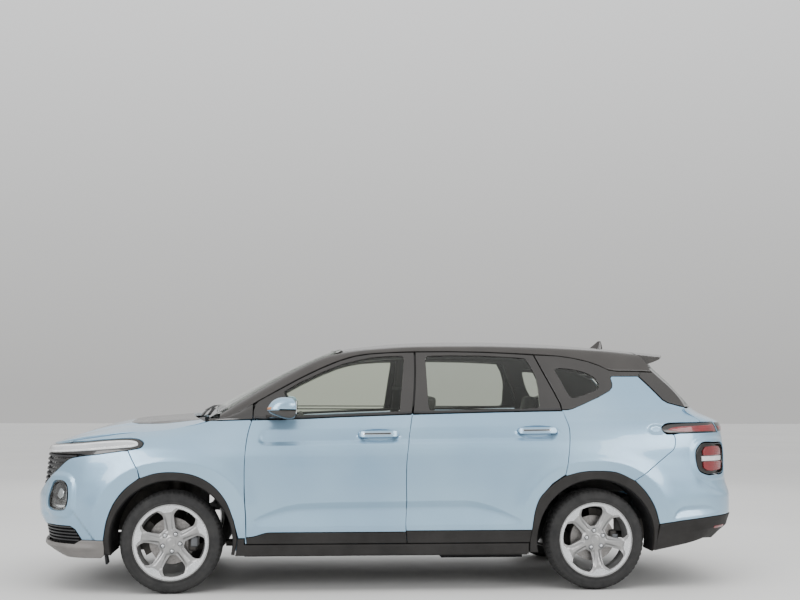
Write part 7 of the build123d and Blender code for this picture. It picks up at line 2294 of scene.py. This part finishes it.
face = 1.0 if ax[0] > 0 else -1.0
ax = ax * face
wheel_part("steering_pad", rounded([(-0.075, 0.046), (0.075, 0.046), (0.090, 0.0), (0.055, -0.068), (-0.055, -0.068), (-0.090, 0.0)], 0.022, 5), -0.030, 0.006, "leather", dome=0.012)
wheel_part("steering_spoke_left", rounded([(-0.168, 0.020), (-0.070, 0.028), (-0.070, -0.020), (-0.168, -0.014)], 0.008, 4), -0.014, 0.0, "inner_dark")
wheel_part("steering_spoke_right", rounded([(0.070, 0.028), (0.168, 0.020), (0.168, -0.014), (0.070, -0.020)], 0.008, 4), -0.014, 0.0, "inner_dark")
wheel_part("steering_spoke_low", rounded([(-0.026, -0.050), (0.026, -0.050), (0.018, -0.168), (-0.018, -0.168)], 0.008, 4), -0.016, -0.002, "chrome")
wheel_part("steering_emblem_disc", [(0.022 * math.cos(a), 0.022 * math.sin(a) - 0.006) for a in np.linspace(0, 2 * math.pi, 25)[:-1]], 0.008, 0.0195, "chrome")
# column shroud
rings = []
for t, w, h in ((0.0, 0.048, 0.042), (0.03, 0.056, 0.05), (0.12, 0.058, 0.052), (0.17, 0.052, 0.046)):
    cc = CW - ax * (0.045 + t)
    rings.append([tuple(cc + e1 * w * math.cos(a) * (0.85 + 0.15 * abs(math.cos(a))) + e2 * h * math.sin(a)) for a in np.linspace(0, 2 * math.pi, 33)[:-1]])
ring_mesh("column_shroud", rings, M["inner_dark"], "body_shell")

# ------------------------------------------------------------------ head lining, bay parts, wheel-arch closing


def lining(x, y):
    p = roof(x, np.asarray(y, float))
    q = p.copy()
    q[..., 2] = p[..., 2] - 0.048 - 0.012 * (np.abs(q[..., 1]) / 0.58) ** 2
    return q


slab("head_lining", [(1.16, -0.548), (1.30, -0.560), (2.9, -0.556), (3.13, -0.545), (3.13, 0.545), (2.9, 0.556), (1.30, 0.560), (1.16, 0.548)], lining, M["lining"], grid=(0.06, 0.05), thick=0.010, r=0.004, gap=0.0,
     step=0.03, side_y=1, slot="fabric")
# engine bay
box_piece("engine_cover", (-0.120, 0.0, 0.905), (0.480, 0.560, 0.070), "trim", r=0.030)
for j in range(4):
    box_piece("engine_cover_rib_%d" % (j + 1), (-0.120, -0.18 + 0.12 * j, 0.9425), (0.400, 0.030, 0.012), "inner_dark", r=0.005)
box_piece("oil_cap", (-0.290, 0.130, 0.950), (0.055, 0.055, 0.022), "gloss", r=0.010)
box_piece("battery_box", (0.020, 0.520, 0.860), (0.260, 0.190, 0.170), "trim", r=0.012)
box_piece("air_box", (-0.270, -0.510, 0.830), (0.300, 0.180, 0.180), "inner_dark", r=0.025)
box_piece("fluid_tank", (0.060, -0.520, 0.850), (0.170, 0.160, 0.140), "lining", r=0.030)
box_piece("radiator", (-0.600, 0.0, 0.600), (0.045, 0.900, 0.420), "cast", r=0.010)
# top rail in the darker inner blue: painted shade in the bay
box_piece("radiator_top_rail", (-0.610, 0.0, 0.840), (0.090, 1.180, 0.050), "inner_paint_shaded", r=0.012)
for nm, sy in (("left", -1), ("right", 1)):
    rr = []
    for x in np.linspace(-0.66, 0.24, 12):
        zt = float(np.interp(x, [-0.7, -0.5, -0.2, 0.25], [0.890, 0.930, 0.965, 1.010]))
        yo = float(side(float(s_of_x(x)), zt + 0.010)[1]) - 0.036
        zf = max(0.62, 0.332 + math.sqrt(max(0.425 ** 2 - x * x, 0.0)))
        yi = min(0.640, yo - 0.100)
        rr.append([(x, yo, zt - 0.040), (x, yo, zt - 0.012), (x, yo - 0.020, zt), (x, yo - 0.075, zt - 0.006), (x, yo - 0.082, zt - 0.040), (x, yi, zt - 0.100), (x, yi, zf), (x, yi + 0.012, zf), (x, yi + 0.015, zt - 0.110),
                   (x, yo - 0.070, zt - 0.052)])
    # inner fender in the darker inner blue: painted shade in the bay
    ring_mesh("inner_fender_" + nm, rr, M["inner_paint_shaded"], "body_shell", sy=sy)
    # strut top
    ring = [[(0.0 + rad * math.cos(t), 0.540 + rad * math.sin(t), z) for t in np.linspace(0, 2 * math.pi, 33)[:-1]] for rad, z in ((0.095, 0.845), (0.095, 0.872), (0.070, 0.882), (0.024, 0.884), (0.022, 0.898))]
    ring_mesh("strut_top_" + nm, ring, M["inner_paint_shaded"], "body_shell", sy=sy)
# liners that close each wheel opening out to the cladding
for nm, cx, yin, r_in in (("front", 0.0, 0.470, 0.3965), ("rear", AXR, 0.645, 0.3965)):
    for sd, sy in (("left", -1), ("right", 1)):
        V, F = [], []
        angs = np.linspace(math.radians(-12), math.radians(192), 61)
        for a in angs:
            x = cx + r_in * math.cos(a)
            z = 0.332 + r_in * math.sin(a)
            x2 = cx + (r_in + 0.006) * math.cos(a)
            z2 = 0.332 + (r_in + 0.006) * math.sin(a)
            yo = float(clad_surface(float(s_of_x(x)), max(z, 0.25))[1]) - 0.020
            for p in ((x, yin, z), (x, (yin + yo) / 2, z), (x, yo, z), (x2, yo, z2), (x2, (yin + yo) / 2, z2), (x2, yin, z2)):
                V.append((p[0] + OX, sy * p[1], p[2]))
        m = 6
        for i in range(len(angs) - 1):
            for j in range(m):
                F.append((i * m + j, i * m + (j + 1) % m, (i + 1) * m + (j + 1) % m, (i + 1) * m + j))
        F.append((0, 1, 2, 3, 4, 5)[::-1])
        k0 = (len(angs) - 1) * m
        F.append(tuple(k0 + j for j in range(6)))
        if sy < 0:
            F = [f[::-1] for f in F]
        ob = make_mesh("arch_liner_%s_%s" % (nm, sd), V, F, smooth_shade=False)
        finish_piece(ob, M["dark"], "body_shell")

# ------------------------------------------------------------------ small cabin parts: mirror, visors, stalks, pedals, belts


def rod(name, pts, rad, mat, body="body_shell", seg=10, squash=1.0):
    """Round or flat bar along a run of points."""
    P = np.asarray(pts, float)
    rings = []
    for i in range(len(P)):
        a, b = P[max(i - 1, 0)], P[min(i + 1, len(P) - 1)]
        t = (b - a) / np.linalg.norm(b - a)
        side_v = np.cross(t, [0, 0, 1.0])
        if np.linalg.norm(side_v) < 0.05:
            side_v = np.array([1.0, 0, 0])
        side_v /= np.linalg.norm(side_v)
        up_v = np.cross(side_v, t)
        rings.append([tuple(P[i] + rad * (side_v * math.cos(q) + up_v * squash * math.sin(q))) for q in np.linspace(0, 2 * math.pi, seg + 1)[:-1]])
    return ring_mesh(name, rings, M[mat], body)


wz_top = float(_wz(WS_L - 0.20))
wx_top = float(_wx(WS_L - 0.20))
box_piece("cabin_mirror", (wx_top + 0.075, 0.0, wz_top - 0.075), (0.026, 0.235, 0.066), "gloss", r=0.012, ang=math.radians(8))
rod("cabin_mirror_stem", [(wx_top + 0.002, 0, wz_top - 0.012), (wx_top + 0.030, 0, wz_top - 0.040), (wx_top + 0.066, 0, wz_top - 0.070)], 0.009, "trim")
for nm, sy in (("left", -1), ("right", 1)):
    zv = float(lining(1.25, 0.34)[2]) - 0.014
    box_piece("sun_visor_" + nm, (1.245, sy * 0.335, zv), (0.150, 0.360, 0.016), "lining", r=0.007, ang=math.radians(4))
    # stalk beside the steering column
    c0 = CW - ax * 0.085
    rod("column_stalk_" + nm, [tuple(c0 + e1 * sy * 0.050), tuple(c0 + e1 * sy * 0.110 + e2 * 0.008 + ax * 0.010), tuple(c0 + e1 * sy * 0.172 + e2 * 0.016 + ax * 0.022)], 0.0085, "trim")
for nm, y, w, h, z in (("brake", -0.330, 0.095, 0.055, 0.470), ("accelerator", -0.225, 0.048, 0.130, 0.440), ("clutch", -0.450, 0.065, 0.055, 0.470)):
    box_piece("pedal_pad_" + nm, (0.560, y, z), (0.016, w, h), "rubber", r=0.006, ang=math.radians(28))
    rod("pedal_arm_" + nm, [(0.550, y, z + 0.012), (0.500, y, z + 0.150), (0.470, y, z + 0.330)], 0.0075, "dark", squash=1.6)
for row, xa, xe in (("front", 1.585, 1.560), ("rear", 2.560, 2.540)):
    for nm, sy in (("left", -1), ("right", 1)):
        rr = []
        for z in np.linspace(1.330, 0.420 if row == "front" else 0.800, 16):
            f = (1.330 - z) / 0.91
            yy = float(shell(0.124)(xa, z)[1])
            x = xa + (xe - xa) * f
            rr.append([(x - 0.023, yy, z), (x + 0.023, yy, z), (x + 0.023, yy - 0.0022, z), (x - 0.023, yy - 0.0022, z)])
        # even out the step between the window frame and the pillar foot
        ym = np.array([r[0][1] for r in rr])
        ym = np.convolve(np.concatenate([[ym[0]] * 3, ym, [ym[-1]] * 3]), np.ones(7) / 7, "valid")
        ym = np.minimum(ym, np.array([r[0][1] for r in rr]))
        rr = [[(x, yv if k < 2 else yv - 0.0022, z) for k, (x, _, z) in enumerate(r)] for r, yv in zip(rr, ym)]
        ring_mesh("belt_webbing_%s_%s" % (row, nm), rr, M["trim"], "body_shell", sy=sy, smooth_shade=False)
        yb = float(ym[0])
        box_piece("belt_guide_%s_%s" % (row, nm), (xa, sy * (yb + 0.006), 1.335), (0.075, 0.022, 0.040), "trim", r=0.009)

# brake calipers behind the spokes, on the carriers in front and on the axle at the rear
for tag, cx, sy, bd in (("front_left", 0.0, -1, "carrier_left"), ("front_right", 0.0, 1, "carrier_right"), ("rear_left", AXR, -1, "body_shell"), ("rear_right", AXR, 1, "body_shell")):
    k = 1.0 if tag.startswith("front") else 0.82
    box_piece("brake_caliper_" + tag, (cx + 0.136, sy * 0.786, 0.332), (0.060 * k, 0.080, 0.136 * k), "cast", body=bd, r=0.020 * k)
    box_piece("caliper_bridge_" + tag, (cx + 0.146, sy * 0.786, 0.332), (0.052 * k, 0.096, 0.076 * k), "alloy_dark", body=bd, r=0.012 * k)

CAD_FINISH = {
    "body_side_left": "body_struct", "body_side_right": "body_struct", "dashboard": "inner_dark", "engine_block": "cast", "exhaust": "cast",
    "floor_pan": "dark", "front_suspension": "cast", "fuel_tank": "dark", "grille": "gloss", "headlamps": "gloss",
    "knuckle_left": "cast", "knuckle_right": "cast", "rear_axle_beam": "cast", "seats": "fabric", "steering_wheel": "inner_dark",
    "tail_lamps": "red", "wheel_arch_liners": "dark", "tailgate": "paint", "tailgate_glass": "glass_dark", "windshield": "glass_screen",
    "roof_panel": "roof", "hood": "paint", "front_bumper": "paint", "rear_bumper": "paint", "quarter_windows": "glass_dark",
    "door_glass_front_left": "glass", "door_glass_front_right": "glass", "door_glass_rear_left": "glass_dark", "door_glass_rear_right": "glass_dark",
    "door_mirror_left": "paint", "door_mirror_right": "paint", "sill_cladding": "clad",
    "door_front_left": "inner", "door_front_right": "inner", "door_rear_left": "inner", "door_rear_right": "inner",
    "rim_front_left": "alloy_dark", "rim_front_right": "alloy_dark", "rim_rear_left": "alloy_dark", "rim_rear_right": "alloy_dark",
    "tyre_front_left": "tyre", "tyre_front_right": "tyre", "tyre_rear_left": "tyre", "tyre_rear_right": "tyre",
    "fender_left": "paint", "fender_right": "paint",
}

# ------------------------------------------------------------------ finish for the CAD nodes that still show
for name, key in CAD_FINISH.items():
    ob = NODES[name]
    ob.data.materials.clear()
    ob.data.materials.append(M[key])

# ------------------------------------------------------------------ stage, light, camera
floor = make_mesh("stage_floor", [(-40, -40, 0), (40, -40, 0), (40, 40, 0), (-40, 40, 0)], [(0, 1, 2, 3)], smooth_shade=False)
fm = Mat("stage_floor_mat")
fm.link(fm.ramp(fm.noise(0.3, 2.0), [(0.3, (0.60, 0.60, 0.59)), (0.7, (0.64, 0.64, 0.63))]), fm.b.inputs["Base Color"])
fm.rough(fm.noise(1.0, 2.0), 0.55, 0.65)
floor.data.materials.append(fm.m)


def area_light(name, loc, target, size, power, color=(1, 1, 1)):
    ld = bpy.data.lights.new(name, "AREA")
    ld.shape = "RECTANGLE"
    ld.size, ld.size_y = size
    ld.energy = power
    ld.color = color
    ob = bpy.data.objects.new(name, ld)
    ob.location = loc
    ob.rotation_euler = (Vector(target) - Vector(loc)).to_track_quat("-Z", "Y").to_euler()
    bpy.context.scene.collection.objects.link(ob)
    return ob


def soft_only(ob):
    """Lights the body without showing as a shape in the lacquer."""
    ob.visible_glossy = False


soft_only(area_light("key_top", (0.5, -2.5, 6.5), (0, 0, 0.6), (9.0, 5.0), 400, (1.0, 0.99, 0.97)))
area_light("front_left", (-5.5, -7.5, 3.6), (0, 0, 0.9), (5.0, 3.0), 330, (0.99, 0.99, 1.0))
area_light("rear_left", (6.0, -7.0, 3.2), (0.5, 0, 0.9), (5.0, 2.6), 250, (1, 1, 1))
soft_only(area_light("far_side", (0.5, 8.0, 4.0), (0, 0, 0.8), (8.0, 3.5), 200, (1, 1, 1)))
world = bpy.data.worlds.new("studio")
world.use_nodes = True
bg = world.node_tree.nodes["Background"]
sky = world.node_tree.nodes.new("ShaderNodeTexCoord")
sep = world.node_tree.nodes.new("ShaderNodeSeparateXYZ")
world.node_tree.links.new(sky.outputs["Generated"], sep.inputs[0])
cr = world.node_tree.nodes.new("ShaderNodeValToRGB")
cr.color_ramp.elements[0].position = 0.0
cr.color_ramp.elements[0].color = (0.50, 0.497, 0.49, 1)
cr.color_ramp.elements[1].position = 0.70
cr.color_ramp.elements[1].color = (1.0, 1.0, 1.0, 1)
e = cr.color_ramp.elements.new(0.12)
e.color = (0.62, 0.62, 0.616, 1)
e = cr.color_ramp.elements.new(0.34)
e.color = (0.92, 0.925, 0.93, 1)
world.node_tree.links.new(sep.outputs[2], cr.inputs[0])
world.node_tree.links.new(cr.outputs[0], bg.inputs["Color"])
bg.inputs["Strength"].default_value = 1.22
bpy.context.scene.world = world

cam_data = bpy.data.cameras.new("camera")
cam_data.sensor_fit = "HORIZONTAL"
cam_data.sensor_width = 36.0
cam_data.lens = 1203.09 / 800.0 * 36.0
cam = bpy.data.objects.new("camera", cam_data)
yaw, pitch, roll = math.radians(4.643), math.radians(4.327), math.radians(-0.176)
right = Vector((math.cos(yaw), -math.sin(yaw), 0))
fwd0 = Vector((math.sin(yaw), math.cos(yaw), 0))
fwd = fwd0 * math.cos(pitch) + Vector((0, 0, 1)) * math.sin(pitch)
up = Vector((0, 0, 1)) * math.cos(pitch) - fwd0 * math.sin(pitch)
r2 = right * math.cos(roll) - up * math.sin(roll)
u2 = right * math.sin(roll) + up * math.cos(roll)
rot = Matrix((r2, u2, -fwd)).transposed()
cam.matrix_world = Matrix.Translation((0.837 + OX, -8.873, 1.315)) @ rot.to_4x4()
bpy.context.scene.collection.objects.link(cam)
bpy.context.scene.camera = cam

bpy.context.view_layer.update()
tri = 0
for ob in PIECES.values():
    if ob.type == "MESH":
        tri += sum(len(p.vertices) - 2 for p in ob.data.polygons)
print("added triangles", tri, "pieces", len(PIECES))
